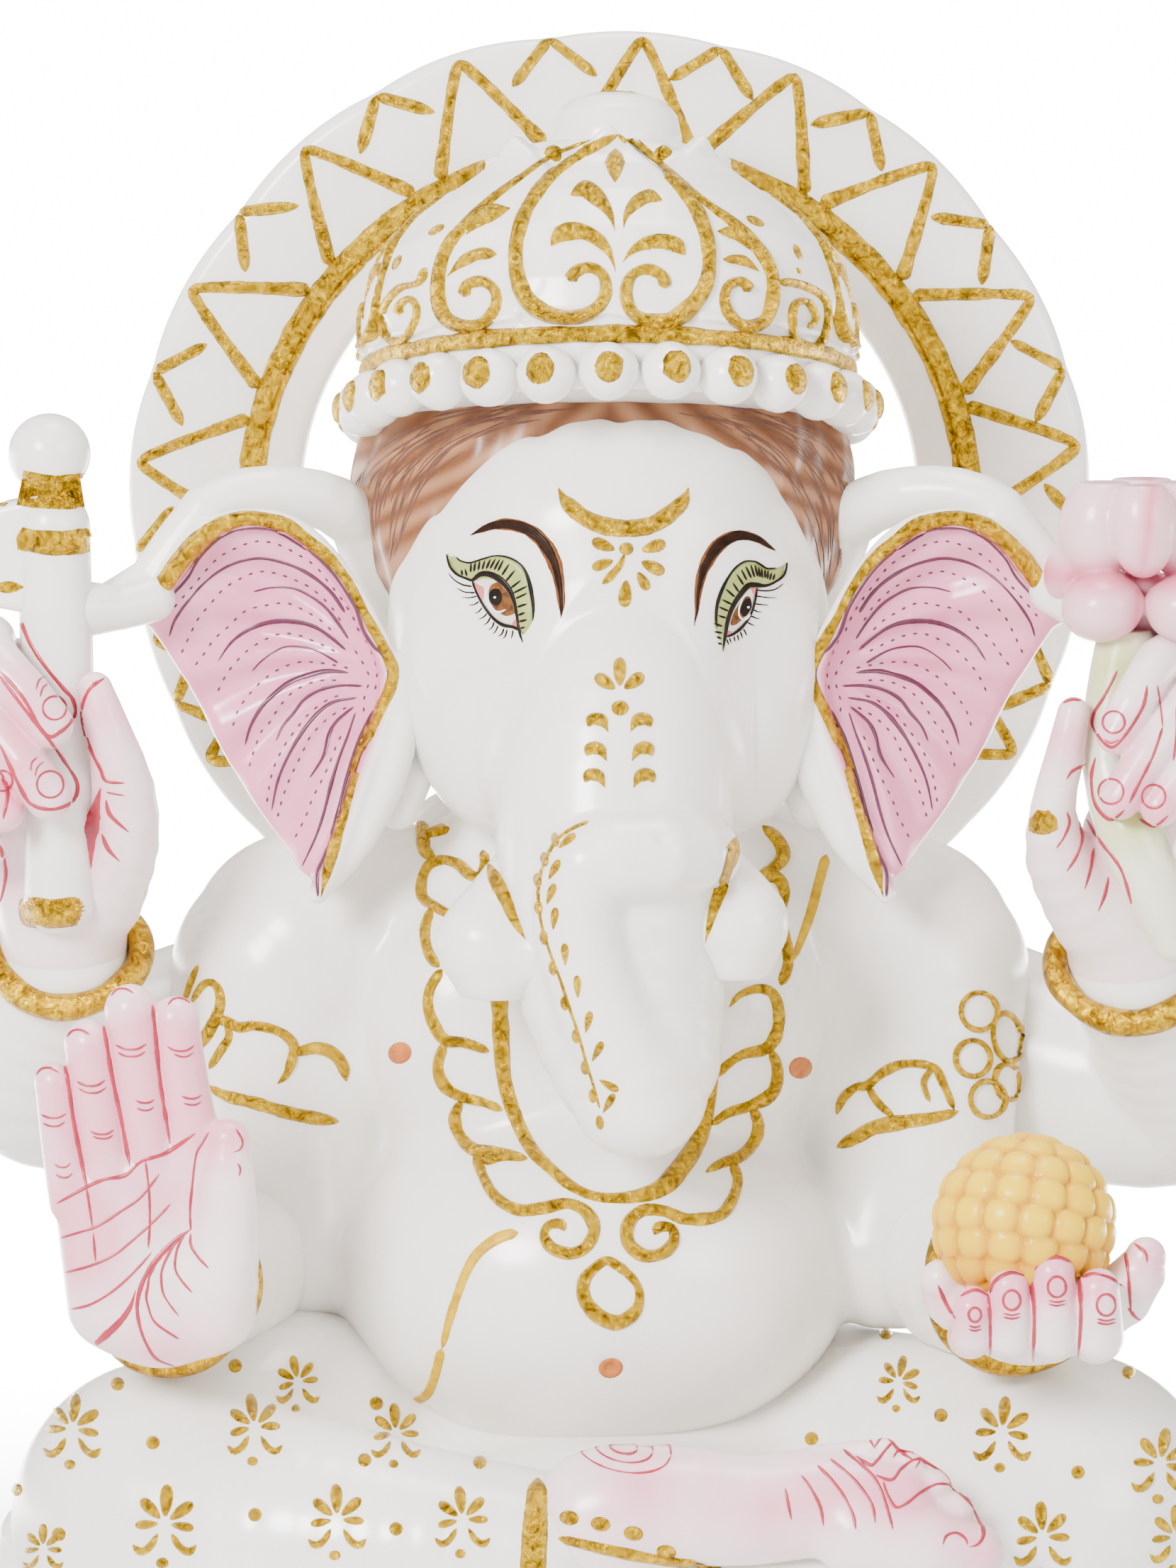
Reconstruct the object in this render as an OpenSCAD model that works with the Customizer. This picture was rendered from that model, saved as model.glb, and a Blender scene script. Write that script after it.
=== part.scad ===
// Seated four-armed Ganesha idol: carved white marble on a plinth, with raised gilding and painted detail.
// Millimetres. +Z up, the figure faces -Y, and the origin is the middle of the plinth's underside.
// Sides are the viewer's: left is -X. Each hand is named after what it does or holds.

/* [Plinth] */
// Width of the plinth
plinth_w = 344; // [336:2:400]
// Depth of the plinth, front to back
plinth_d = 216; // [210:2:260]
// Height of the plinth
plinth_h = 36; // [20:1:60]
// Height of the cushion behind the hips
cushion_h = 25; // [18:1:40]

/* [Halo] */
// Outer radius of the halo ring
halo_r = 125; // [120:1:130]
// Radius of the hole through the halo
halo_hole_r = 80; // [70:1:84]
// Thickness of the halo slab
halo_t = 13; // [10:1:18]
// Height of the halo's centre over the plinth's top
halo_rise = 289.5; // [280:0.5:295]

/* [Crown] */
// Radius of the crown's gilded band
crown_r = 62; // [60:0.5:64]
// Backward tilt of the crown, in degrees
crown_tilt = 13; // [8:1:16]
// Number of pearls round the brim
brim_pearls = 25; // [20:1:28]
// Number of pearls round the top tier
tier_pearls = 14; // [10:1:18]

/* [Ornament] */
// How far the raised gilding stands off the stone
relief_h = 1.4; // [0.8:0.1:2]
// Thickness of the painted inlays
paint_h = 0.5; // [0.3:0.1:1]
// Radius of a bangle's wire
bangle_wire = 3.2; // [2.5:0.1:4]
// Radius of the sweet in the hand
sweet_r = 23.5; // [20:0.5:25]

/* [Hidden] */

skin_fn = 12;             // sides of a carved form
finger_fn = 8;            // sides of a finger
lift = plinth_h - 36;     // the figure's heights below are drawn over a 36 mm plinth
halo_y = 57;              // front face of the halo
halo_z = 36 + halo_rise;
crown_at = [-0.5, -12, 357];
left_side = 1;
right_side = -1;

marble = "white";
gold = "goldenrod";
rose = "lightpink";

// Each carved limb is a list of [x, y, z, radius].
belly = [[-4.5, -14, 132], [66.5, 54, 48]];
chest = [[-3, 4, 196], [62, 42, 58]];
shoulder_l = [[-40, 8, 226, 26], [-80, 8, 215, 32], [-88, 0, 188, 23], [-94, 0, 142, 21]];
shoulder_r = [[40, 8, 226, 26], [76, 8, 215, 31], [82, -3, 188, 23], [85, -4, 142, 21]];
thigh_l = [[-44, 18, 80, 38], [-80, -18, 80, 40], [-112, -45, 78, 41]];
thigh_r = [[40, 18, 80, 38], [80, -16, 80, 40], [114, -42, 79, 42]];
shin_l = [[-108, -50, 76, 36], [-60, -76, 72, 30], [-17, -88, 71, 24]];
shin_r = [[110, -48, 70, 34], [62, -74, 62, 26], [20, -84, 56, 22]];
seat = [[-42, 24, 74, 38], [42, 24, 74, 38]];
sole_up = [[-6, -90, 84, 15], [22, -92, 86, 14], [48, -92, 88, 13], [66, -92, 89, 13]];
toes_up = [[66, -95, 86, 12], [83, -97, 85, 10]];
sole_low = [[14, -90, 54, 16], [-16, -96, 52, 14], [-50, -98, 50, 12], [-76, -98, 48, 9]];
skull = [[-2, -14, 312], [54.5, 52, 52]];
cheeks = [[0, -24, 287], [50, 40, 40]];
trunk = [[0, -38, 290, 33], [0, -50, 264, 30], [2, -60, 237, 28.5], [5, -68, 211, 25], [6, -74, 194, 19]];
trunk_curl = [[3, -82, 193, 17], [0, -88, 209, 17.5], [-5, -90, 224, 17.5], [-11, -91, 240, 15],
              [-12, -90, 254, 12.5], [-3, -89, 262, 10], [10, -86, 264, 9.5], [20, -80, 262, 8]];
hair_form = [[-1.5, -4, 329], [63, 53, 38]];
arm_axe = [[-86, 22, 208, 26], [-116, 18, 194, 27], [-141, 8, 189, 26], [-139, -16, 207, 20],
           [-138, -32, 221, 16]];
arm_lotus = [[82, 22, 208, 26], [116, 18, 192, 27], [141, 8, 185, 27], [134, -16, 203, 20],
           [131, -32, 217, 16]];
arm_bless = [[-94, 0, 140, 21], [-103, -30, 138, 19], [-112, -62, 140, 17]];
arm_sweet = [[85, -4, 140, 21], [94, -32, 139, 19], [103, -62, 140, 17]];

// ---------- carving helpers ----------

module ball(p, grow = 0, sides = skin_fn) {
  translate([p[0], p[1], p[2]]) sphere(p[3] + grow, $fn = sides);
}

module egg(form, grow = 0) {
  hull() translate(form[0]) scale(form[1] + [grow, grow, grow]) sphere(1, $fn = 18);
}

module limb(points, grow = 0, sides = skin_fn) {
  for (i = [0 : len(points) - 2])
    hull() {
      ball(points[i], grow, sides);
      ball(points[i + 1], grow, sides);
    }
}

module finger(points) limb(points, 0, finger_fn);

// A drawn shape in the front view, pushed through the figure from its middle to its front.
module from_front(start = 0) {
  translate([0, start, lift]) rotate([90, 0, 0]) linear_extrude(160) children();
}

module stroke(points, w) {
  for (i = [0 : len(points) - 2])
    hull() {
      translate(points[i]) circle(d = w, $fn = 6);
      translate(points[i + 1]) circle(d = w, $fn = 6);
    }
}

// A thin skin over a carved form: what is inside the drawn shape and within h of the form.
module torso_skin(h) difference() { torso_form(h); torso_form(); }
module lap_skin(h) difference() { lap_form(h); lap_form(); }
module head_skin(h) difference() { head_form(h); head_form(); }

function spiral(c, r0, r1, a0, a1, n) =
  [for (i = [0 : n]) let (t = i / n, r = r0 + (r1 - r0) * t, a = a0 + (a1 - a0) * t)
      c + r * [cos(a), sin(a)]];

// ---------- carved forms ----------

module torso_form(grow = 0) {
  egg(belly, grow);
  egg(chest, grow);
  limb(shoulder_l, grow);
  limb(shoulder_r, grow);
}

module lap_form(grow = 0) {
  limb(thigh_l, grow);
  limb(thigh_r, grow);
  limb(shin_l, grow);
  limb(shin_r, grow);
  limb(seat, grow);
  egg([[0, -34, 68], [70, 44, 34]], grow);
}

module head_form(grow = 0) {
  egg(skull, grow);
  egg(cheeks, grow);
  limb(trunk, grow);
  limb(trunk_curl, grow);
}

module plinth_box(h, inset) {
  linear_extrude(h) hull()
    for (x = [-1, 1], y = [-1, 1])
      translate([x * (plinth_w / 2 - 14 - inset), y * (plinth_d / 2 - 14 - inset)]) circle(14, $fn = 32);
}

// ---------- plinth and body ----------

module plinth() color(marble) {
  plinth_box(plinth_h * 0.36, 0);
  translate([0, 0, plinth_h * 0.36]) plinth_box(plinth_h * 0.28, 6);
  translate([0, 0, plinth_h * 0.64]) plinth_box(plinth_h * 0.36, 1.5);
}

module seat_cushion() color(marble)
  translate([0, 84, plinth_h + cushion_h / 2]) rotate([0, 90, 0])
    cylinder(h = plinth_w - 20, r = cushion_h / 2, center = true, $fn = 48);

module torso() color(marble) translate([0, 0, lift]) difference() {
  torso_form();
  lap_form();
}

module lap_dhoti() color(marble) translate([0, 0, lift]) difference() {
  lap_form();
  translate([0, 0, -14]) cube([600, 600, 100], center = true);
}

module foot(points, toes, side) {
  limb(points);
  limb(toes);
  for (i = [0 : 3])
    finger([[points[3][0] + side * 4, points[3][1] + 6 * i - 3, points[3][2] + 3 + i, 6],
          [points[3][0] + side * (13 - 3 * i), points[3][1] + 7 * i, points[3][2] + 4 + i, 4.6]]);
}

module upper_foot() color(rose) translate([0, 0, lift]) difference() {
  foot(sole_up, toes_up, 1);
  lap_form();
}

module lower_foot() color(marble) translate([0, 0, lift]) difference() {
  foot(sole_low, [[-76, -100, 47, 9], [-88, -100, 46, 7]], -1);
  lap_form();
  translate([0, 0, -14]) cube([600, 600, 100], center = true);
}

module neck_collar() color(marble) translate([0, 0, lift]) difference() {
  limb([[0, 8, 236, 36], [0, 0, 262, 34]]);
  torso_form();
  head_form();
}

// ---------- head ----------

module head_and_trunk() color(marble) translate([0, 0, lift]) difference() {
  head_form();
  torso_form(0.2);
  crown_frame() cylinder(h = 90, r = crown_r + 2, $fn = 48);
}

module tusk(side) color("ivory") translate([0, 0, lift]) difference() {
  hull() {
    ball([2 - side * 26, -58, 241, 11]);
    ball([2 - side * 36, -70, 227.5, 10.5]);
  }
  head_form();
}

module tusk_left() tusk(left_side);
module tusk_right() tusk(right_side);

ear_outline = [[-60, 330], [-76, 339], [-90, 341], [-104, 335], [-114, 323], [-127, 310], [-124, 304],
               [-112, 300], [-100, 276], [-86, 254], [-75, 234], [-66, 250], [-57, 272], [-54, 296]];
ear_roll = [[-66, -12, 328, 8], [-80, -15, 333, 8], [-93, -17, 333, 7.5], [-105, -19, 326, 7],
            [-113, -21, 317, 6.5], [-121, -23, 310, 4.5]];
ear_lip = [[-121, -24, 309, 3.5], [-104, -27, 325, 3.5], [-88, -31, 330, 3.5], [-72, -36, 320, 3.5],
           [-57, -40, 294, 3.5], [-66, -38, 264, 3.5], [-74, -36, 238, 3]];

module ear_form(grow = 0) {
  difference() {
    translate([0, -12 + grow, 0]) rotate([90, 0, 0]) linear_extrude(20 + 2 * grow) polygon(ear_outline);
    // the scooped inside, from the free edge up to the lip
    hull() {
      ball([-76, -34, 300, 13]);
      ball([-94, -36, 310, 10]);
      ball([-104, -40, 288, 18]);
      ball([-80, -40, 258, 12]);
    }
  }
  limb(ear_roll, grow);
  limb(ear_lip, grow);
}

module ear_left() color(rose) translate([0, 0, lift]) difference() {
  ear_form();
  egg(hair_form, 0.2);
  head_form(0.2);
}

module ear_right() color(rose) translate([-4, 0, lift]) mirror([1, 0, 0]) difference() {
  ear_form();
  translate([-4, 0, 0]) mirror([1, 0, 0]) {
    egg(hair_form, 0.2);
    head_form(0.2);
  }
}

module hair() color("sienna") translate([0, 0, lift]) difference() {
  egg(hair_form);
  head_form();
  crown_frame() translate([0, 0, -1.5]) cylinder(h = 90, r = crown_r + 4, $fn = 48);
}

// ---------- crown ----------

module crown_frame() translate(crown_at) rotate([-crown_tilt, 0, 0]) children();

dome_top = 66;
tier_h = 60;
dome_low = [[0, -1], [crown_r - 6, -1], [crown_r - 6, 7], [crown_r, 8], [crown_r, 14], [crown_r - 1, 24],
            [crown_r - 6, 37], [crown_r - 15, 47]];
dome = concat(dome_low, [[crown_r - 28, 54], [crown_r - 34, 57], [crown_r - 33, 64],
                         [crown_r - 36, dome_top], [0, dome_top]]);

// The shields follow the dome below and stand clear of the tier above.
lean = concat(dome_low, [[crown_r - 24, 56], [crown_r - 28, 62], [crown_r - 27, 70], [0, 73]]);

module crown_profile(line, grow = 0) intersection() {
  offset(delta = grow) polygon(line);
  translate([0, -10]) square([120, 120]);
}

module crown_dome() color(marble) translate([0, 0, lift]) crown_frame()
  rotate_extrude($fn = 96) polygon(dome);

module crown_finial() color(marble) translate([0, 0, lift]) crown_frame() translate([2, 0, dome_top])
  rotate_extrude($fn = 64) polygon([[0, 0], [16, 0], [17.5, 6], [16, 10.5], [12.5, 13.5], [7, 14.8], [0, 15]]);

module ring_of(count, r, z, ball_r, first = 0) {
  for (i = [first : count - 1 - first])
    rotate([0, 0, -90 + i * 360 / count]) translate([r, 0, z]) sphere(ball_r, $fn = 24);
}

module crown_brim_pearls() color(marble) translate([0, 0, lift]) crown_frame()
  ring_of(brim_pearls, crown_r + 0.8, 0, 6.7);

module crown_tier_pearls() color(marble) translate([0, 0, lift]) crown_frame()
  ring_of(tier_pearls, crown_r - 32.5, tier_h, 4.3);

// A leaf-shaped plate that leans on the dome, drawn flat and kept within h of the dome's skin.
leaf = [[0, 52], [8, 44], [18, 33], [24, 20], [21, 6], [12, 0], [-12, 0], [-21, 6], [-24, 20],
    [-18, 33], [-8, 44]];

module dome_skin(h) difference() {
  rotate_extrude($fn = 32) crown_profile(lean, h);
  rotate_extrude($fn = 32) crown_profile(lean);
  translate([0, 0, -10]) cylinder(h = 24, r = 90, $fn = 32);
}

module shield(angle, size) intersection() {
  rotate([0, 0, angle]) translate([0, 0, 15]) rotate([90, 0, 0]) linear_extrude(90)
      scale(size) polygon(leaf);
  dome_skin(2.4);
}

// Where the seven smaller shields stand round the crown, in degrees from its front.
side_shields = [41, 90, 135, 180, 225, 270, 319];

module crown_shields() color(marble) translate([0, 0, lift]) crown_frame() union() {
  shield(0, 1);
  for (a = side_shields) shield(a, 0.75);
  fill_hulls();
}

// Marks the node as one carved mesh: eight specks inside the solid part of the front shield.
module fill_hulls() {
  for (i = [0 : 7]) translate([i - 3.5, 1 - crown_r, 22]) hull() cube(0.2, center = true);
}

// ---------- halo ----------

module halo_place() translate([0, halo_y, halo_z + lift]) rotate([-90, 0, 0]) children();

module halo_ring() color(marble) difference() {
  halo_place() difference() {
    cylinder(h = halo_t, r = halo_r, $fn = 128);
    translate([0, 0, -1]) cylinder(h = halo_t + 2, r = halo_hole_r, $fn = 96);
  }
  translate([0, 0, 196 + lift]) cube([210, 400, 60], center = true);
}

// Stone left between the halo and the figure: a web behind the crown, and a block behind the shoulders.
module halo_bridge() color(marble) translate([0, 0, lift]) difference() {
  union() {
    translate([-14, 38, 392]) cube([28, halo_y - 38, 11]);
    hull() {
      translate([-58, halo_y - 1, 226]) cube([116, 1, 26]);
      translate([-46, 20, 226]) cube([92, 1, 16]);
    }
  }
  crown_frame() rotate_extrude($fn = 64) crown_profile(dome, 0.2);
  torso_form();
  limb([[0, 8, 236, 36], [0, 0, 262, 34]]);
}

// ---------- arms and hands ----------

module axe_arm() color(marble) translate([0, 0, lift]) difference() {
  limb(arm_axe);
  torso_form();
}

module lotus_arm() color(marble) translate([0, 0, lift]) difference() {
  limb(arm_lotus);
  torso_form();
}

module blessing_arm() color(marble) translate([0, 0, lift]) difference() {
  limb(arm_bless);
  torso_form();
  lap_form();
}

module sweet_arm() color(marble) translate([0, 0, lift]) difference() {
  limb(arm_sweet);
  torso_form();
  lap_form();
}

// The raised open palm: four upright fingers side by side and a thumb.
module blessing_hand() color(rose) translate([0, 0, lift]) difference() {
  union() {
    hull() {
      for (x = [-134, -104]) translate([x, -78, 168]) sphere(10, $fn = skin_fn);
      for (x = [-128, -106]) translate([x, -76, 134]) sphere(12, $fn = skin_fn);
    }
    for (f = [[-138, 197], [-130, 207], [-119.5, 216], [-107, 214]])
      finger([[f[0] + 1, -79, 165, 7.2], [f[0], -80, f[1] - 6, 6.2]]);
    finger([[-106, -80, 145, 11], [-97, -84, 160, 8.5], [-94, -84, 178, 7]]);
    limb([[-112, -66, 140, 15], [-114, -74, 136, 14]]);
  }
  limb(arm_bless);
  lap_form();
}

// The cupped palm under the sweet: four curled fingers in front and a thumb at the side.
module sweet_hand() color(rose) translate([0, 0, lift]) difference() {
  union() {
    hull() {
      translate([92, -86, 134]) sphere(11, $fn = skin_fn);
      translate([122, -86, 136]) sphere(11, $fn = skin_fn);
      translate([106, -72, 138]) sphere(16, $fn = skin_fn);
    }
    for (f = [[88, 143], [97, 148], [108.5, 152], [121, 148]])
      finger([[f[0], -98, 131, 7], [f[0], -106, f[1] - 8, 6.4], [f[0], -107, f[1] - 4, 6]]);
    finger([[122, -84, 138, 9], [131, -88, 145, 7]]);
  }
  translate([105, -88, 158.5]) sphere(sweet_r + 0.3, $fn = 20);
  limb(arm_sweet);
  lap_form();
}

// The hand that closes round the axe's shaft.
module axe_hand() color(rose) translate([0, 0, lift]) difference() {
  union() {
    limb([[-138, -33, 223, 15.5], [-134, -36, 240, 16], [-130, -38, 262, 14]]);
    finger([[-124, -44, 250, 9], [-124, -48, 268, 7], [-127, -50, 284, 5]]);
    for (f = [0 : 2])
      finger([[-150, -40, 290 - 15 * f, 8], [-152, -58, 286 - 15 * f, 7.5],
          [-139, -66, 272 - 14 * f, 6.5]]);
  }
  axe_shaft_form(0.2);
  limb(arm_axe);
}

// The hand that closes round the lotus's stem.
module lotus_hand() color(rose) translate([0, 0, lift]) difference() {
  union() {
    limb([[131, -33, 219, 15.5], [128, -36, 236, 16], [132, -36, 262, 15]]);
    finger([[118, -44, 244, 9], [115, -50, 264, 7.5], [117, -52, 280, 5.5]]);
    for (f = [0 : 2])
      finger([[146, -40, 288 - 14 * f, 8], [144, -56, 284 - 14 * f, 7],
          [128 + 3 * f, -66, 275 - 10 * f, 6]]);
  }
  lotus_stem_form(0.2);
  limb(arm_lotus);
}

// ---------- things in the hands ----------

module axe_shaft_form(grow = 0) {
  hull() {
    translate([-140, -50, 229]) sphere(8 + grow, $fn = skin_fn);
    translate([-139.5, -48, 292]) sphere(9 + grow, $fn = skin_fn);
  }
  hull() {
    translate([-139.5, -48, 292]) sphere(9 + grow, $fn = skin_fn);
    translate([-142, -45, 340]) sphere(9.5 + grow, $fn = skin_fn);
  }
}

module axe_shaft() color(marble) translate([0, 0, lift]) {
  axe_shaft_form();
  translate([-141.5, -45, 347]) sphere(10, $fn = 32);
}

module axe_blade() color(marble) translate([0, 0, lift]) difference() {
  translate([0, -38, 0]) rotate([90, 0, 0]) linear_extrude(12)
    polygon([[-142, 334], [-158, 332], [-176, 344], [-184, 334], [-187, 320], [-184, 304], [-176, 296],
             [-158, 308], [-142, 308]]);
  axe_shaft_form();
}

module lotus_petal(a, tilt, size) {
  rotate([0, 0, a]) rotate([0, tilt, 0]) hull() {
    translate([0, 0, 6]) sphere(size * 0.8, $fn = finger_fn);
    translate([0, 0, 20]) sphere(size, $fn = finger_fn);
  }
}

module lotus_bud() color(rose) translate([134, -44, 299 + lift]) {
  for (i = [0 : 4]) lotus_petal(72 * i + 31, 24 + i, 10.5 + 0.2 * i);
  for (i = [0 : 5]) lotus_petal(60 * i + 4, 66 + 2 * i, 8.6 + 0.1 * i);
}

module lotus_stem_form(grow = 0) {
  limb([[134, -45, 294, 8], [129, -48, 276, 7], [128, -52, 256, 6.5], [134, -55, 240, 6],
      [139, -54, 226, 5]],
       grow, finger_fn);
}

module lotus_stem() color("yellowgreen") translate([0, 0, lift]) lotus_stem_form();

module sweet() color("gold") translate([105, -88, 158.5 + lift]) sphere(sweet_r, $fn = 48);

// ---------- raised gilding ----------

module gold_crown_bands() color(gold) translate([0, 0, lift]) crown_frame() {
  rotate_extrude($fn = 96) translate([crown_r, 0]) polygon([[0, 8], [1.6, 9], [1.8, 11],
      [1.4, 12.6], [0, 13.4]]);
}

module scroll_art() {
  for (m = [0, 1]) mirror([m, 0]) {
    stroke([[0, 50], [7, 43], [16, 32], [21.5, 20], [20.5, 8], [12, 1]], 2.6);
    stroke(spiral([11, 9], 8, 2.5, -90, 230, 7), 2.4);
    stroke([[2, 24], [7, 29], [12, 26]], 3);
    stroke([[2, 35], [6, 39], [9, 36]], 2.6);
  }
}

module scroll_on(angle, size) intersection() {
  rotate([0, 0, angle]) translate([0, 0, 16]) rotate([90, 0, 0]) linear_extrude(90)
      scale(size) scroll_art();
  difference() {
    rotate_extrude($fn = 32) crown_profile(lean, 2.4 + relief_h);
    rotate_extrude($fn = 32) crown_profile(lean, 2.4);
    translate([0, 0, -10]) cylinder(h = 24, r = 90, $fn = 32);
  }
}

module gold_crown_scrolls() color(gold) translate([0, 0, lift]) crown_frame() {
  scroll_on(0, 1);
}

// A gilded dot that sits on the outer side of each brim pearl.
module gold_pearl_caps() color(gold) translate([0, 0, lift]) crown_frame()
  for (i = [0 : brim_pearls - 1])
    rotate([0, 0, -90 + i * 360 / brim_pearls]) translate([crown_r + 0.8, 0, 0]) rotate([0, 90, 0])
      rotate_extrude($fn = 32) polygon([[0, 6.72], [1.4, 6.6], [2.6, 6.2], [2.2, 7], [1.2, 7.5], [0, 7.6]]);

module gold_halo_ring() color(gold) translate([0, 0, 0]) difference() {
  halo_place() rotate_extrude($fn = 128) polygon([[91, 0], [97, 0], [96.4, -1.6], [91.8, -2]]);
  translate([0, 0, 196 + lift]) cube([230, 400, 62], center = true);
}

ray_angles = [-31, -12, 8, 27, 47, 67, 86, 108.5, 130, 152, 174, 195, 212];

// An open V that points outward: its tip at tip_r, its feet at foot_r and spread degrees to each side.
module vee(a, tip_r, foot_r, spread, w) rotate(a) {
  fx = foot_r * cos(spread);
  fy = foot_r * sin(spread);
  polygon([[tip_r, 0], [fx + w / 2, fy + w / 2], [fx - w / 2, fy - w / 2], [tip_r - 2.6 * w, 0],
           [fx - w / 2, w / 2 - fy], [fx + w / 2, -fy - w / 2]]);
}

module ray(a) vee(a, halo_r - 1.5, 98.5, 7.9, 2.2);
module chevron(a) vee(a, halo_r - 1.5, halo_r * 0.92, 3.6, 1.8);

module gold_halo_rays() color(gold) difference() {
  translate([0, halo_y, halo_z + lift]) rotate([90, 0, 0]) linear_extrude(relief_h) {
    for (a = ray_angles) ray(a);
    for (i = [0 : len(ray_angles) - 2]) chevron((ray_angles[i] + ray_angles[i + 1]) / 2);
  }
  translate([0, 0, 196 + lift]) cube([230, 400, 62], center = true);
}

crescent_line = [[-14, 341.5], [-11.5, 336], [-6, 332.5], [1, 331], [9, 331], [15, 334],
    [19.5, 339], [20.5, 341.5]];

module gold_crescent() color(gold) intersection() {
  from_front() stroke(crescent_line, 4.4);
  translate([0, 0, lift]) head_skin(relief_h + 0.6);
}

module petals(c, count, r, size, turn = 0) translate(c)
  for (i = [0 : count - 1])
    rotate(turn + i * 360 / count) translate([r, 0]) scale([1.5, 1]) circle(size, $fn = 8);

module gold_brow_flower() color(gold) intersection() {
  from_front() {
    translate([3.5, 327]) circle(2.4, $fn = 8);
    for (a = [-150, -120, -90, -60, -30]) translate([3.5, 326]) rotate(a) translate([7.5, 0])
        scale([1.7, 1]) circle(1.9, $fn = 8);
  }
  translate([0, 0, lift]) head_skin(relief_h);
}

module gold_trunk_flowers() color(gold) intersection() {
  from_front() {
    petals([3.2, 297], 5, 4.6, 1.7, 90);
    for (i = [0 : 2], x = [-3, 8]) translate([x, 284 - 7 * i]) scale([1.3, 0.8]) circle(2, $fn = 8);
  }
  translate([0, 0, lift]) head_skin(relief_h);
}

vine_line = [[-5, 262], [-14, 257], [-18, 247], [-17, 237], [-14.5, 229], [-11, 218], [-6.5, 205],
    [-3, 193], [-2, 186]];

module gold_trunk_vine() color(gold) intersection() {
  from_front() {
    stroke(vine_line, 1.2);
    for (i = [1 : 6]) translate(vine_line[i] + [3.4, 0]) scale([0.7, 1.6]) circle(1.7, $fn = 6);
  }
  translate([0, 0, lift]) head_skin(relief_h * 0.7);
}

module gold_tusk_bands() color(gold) intersection() {
  from_front() {
    stroke([[-29.5, 250], [-26, 240], [-20, 229]], 2.6);
    stroke([[33, 254], [29, 245], [25, 229]], 3.2);
  }
  translate([0, 0, lift]) head_skin(relief_h);
}

// A bead of gold at one point of the ear's lip, on its front.
module ear_bead(p) translate([p[0], p[1] - p[3], p[2]]) sphere(2, $fn = 8);

// The gilded rim runs along the ear's lip, from its tip over the top and down to its point.
module ear_rim() {
  for (i = [0 : len(ear_lip) - 2])
    hull() {
      ear_bead(ear_lip[i]);
      ear_bead(ear_lip[i + 1]);
    }
}

module one_ear_rim() difference() {
  ear_rim();
  ear_form();
  head_form(0.3);
}

module gold_ear_rims() color(gold) translate([0, 0, lift]) {
  one_ear_rim();
  translate([-4, 0, 0]) mirror([1, 0, 0]) one_ear_rim();
}

necklace_half = [[26, 258], [38, 252], [42, 240], [44, 222], [43, 205], [40, 190], [32, 176],
    [20, 167], [8, 163]];
necklace_edge = [[45, 262], [52, 250], [54, 236], [52, 218], [54, 200], [50, 184], [40, 170],
    [28, 160], [14, 156]];

module gold_necklace() color(gold) intersection() {
  from_front() for (m = [0, 1]) mirror([m, 0]) {
    stroke(necklace_half, 2.6);
    stroke(necklace_edge, 2.2);
    for (i = [1 : 2 : 7]) stroke([necklace_half[i], necklace_edge[i]], 1.8);
    stroke(spiral([10, 152], 6.5, 2, 100, -260, 7), 2);
  }
  translate([0, 0, lift]) torso_skin(relief_h);
}

module gold_pendant() color(gold) intersection() {
  from_front() difference() {
    polygon([[0, 149], [8, 142], [6.5, 134], [0, 130], [-6.5, 134], [-8, 142]]);
    polygon([[0, 145], [3.6, 140], [3, 136], [0, 133.5], [-3, 136], [-3.6, 140]]);
  }
  translate([0, 0, lift]) torso_skin(relief_h);
}

module gold_armlets() color(gold) intersection() {
  from_front(8) {
    for (s = [[-88, 1], [80, -1]]) translate([s[0], 184]) scale([s[1], 1]) {
      stroke([[-19, -2], [20, -9]], 3);
      stroke([[-19, 2], [-17, 12], [-9, 16], [-1, 9], [6, 6], [12, 2], [20, 1]], 2.8);
      stroke([[-9, 16], [-7, 24], [-3, 16], [-1, 9]], 2.4);
    }
  }
  translate([0, 0, lift]) torso_skin(relief_h);
}

module gold_axe_bands() color(gold) translate([0, 0, lift]) difference() {
  for (b = [[-141.9, -45.2, 336.5, 5.5], [-141.2, -46, 325, 3], [-140, -50, 232, 3]])
    translate([b[0], b[1], b[2]]) cylinder(h = 2 * b[3], r = 10.6, center = true, $fn = 40);
  for (b = [[-141.9, -45.2, 336.5], [-141.2, -46, 325], [-140, -50, 232]])
    translate(b) cylinder(h = 20, r = 9.7, center = true, $fn = 40);
}

module gold_thumb_ring() color(gold) translate([116.5, -48, 254 + lift]) rotate([-10, -8, 0])
  rotate_extrude($fn = 40) translate([9.2, 0]) square([1.2, 5], center = true);

flower_places = [[-137, 98], [-105, 79], [-85, 105], [-57, 77], [-52, 104], [-31, 78],
                 [100, 102], [74, 112], [141, 92], [112, 70]];

module dhoti_flower(c) translate(c) {
  circle(1.7, $fn = 6);
  for (a = [20, 70, 120, 170]) rotate(a) translate([6.2, 0]) scale([1.7, 1]) circle(1.9, $fn = 6);
  for (s = [-1, 1]) translate([s * 4, -6]) rotate(-60 * s) square([6, 2.4], center = true);
}

module gold_dhoti_flowers() color(gold) intersection() {
  from_front() for (c = flower_places) dhoti_flower(c);
  translate([0, 0, lift]) lap_skin(relief_h);
}

dot_places = [[-118, 95], [-92, 76], [-143, 78], [-60, 92], [-34, 94], [-66, 101], [86, 98], [121, 86],
              [128, 108], [92, 84]];

module gold_dhoti_dots() color(gold) intersection() {
  from_front() for (c = dot_places) translate(c) circle(2.1, $fn = 6);
  translate([0, 0, lift]) lap_skin(relief_h);
}

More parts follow.
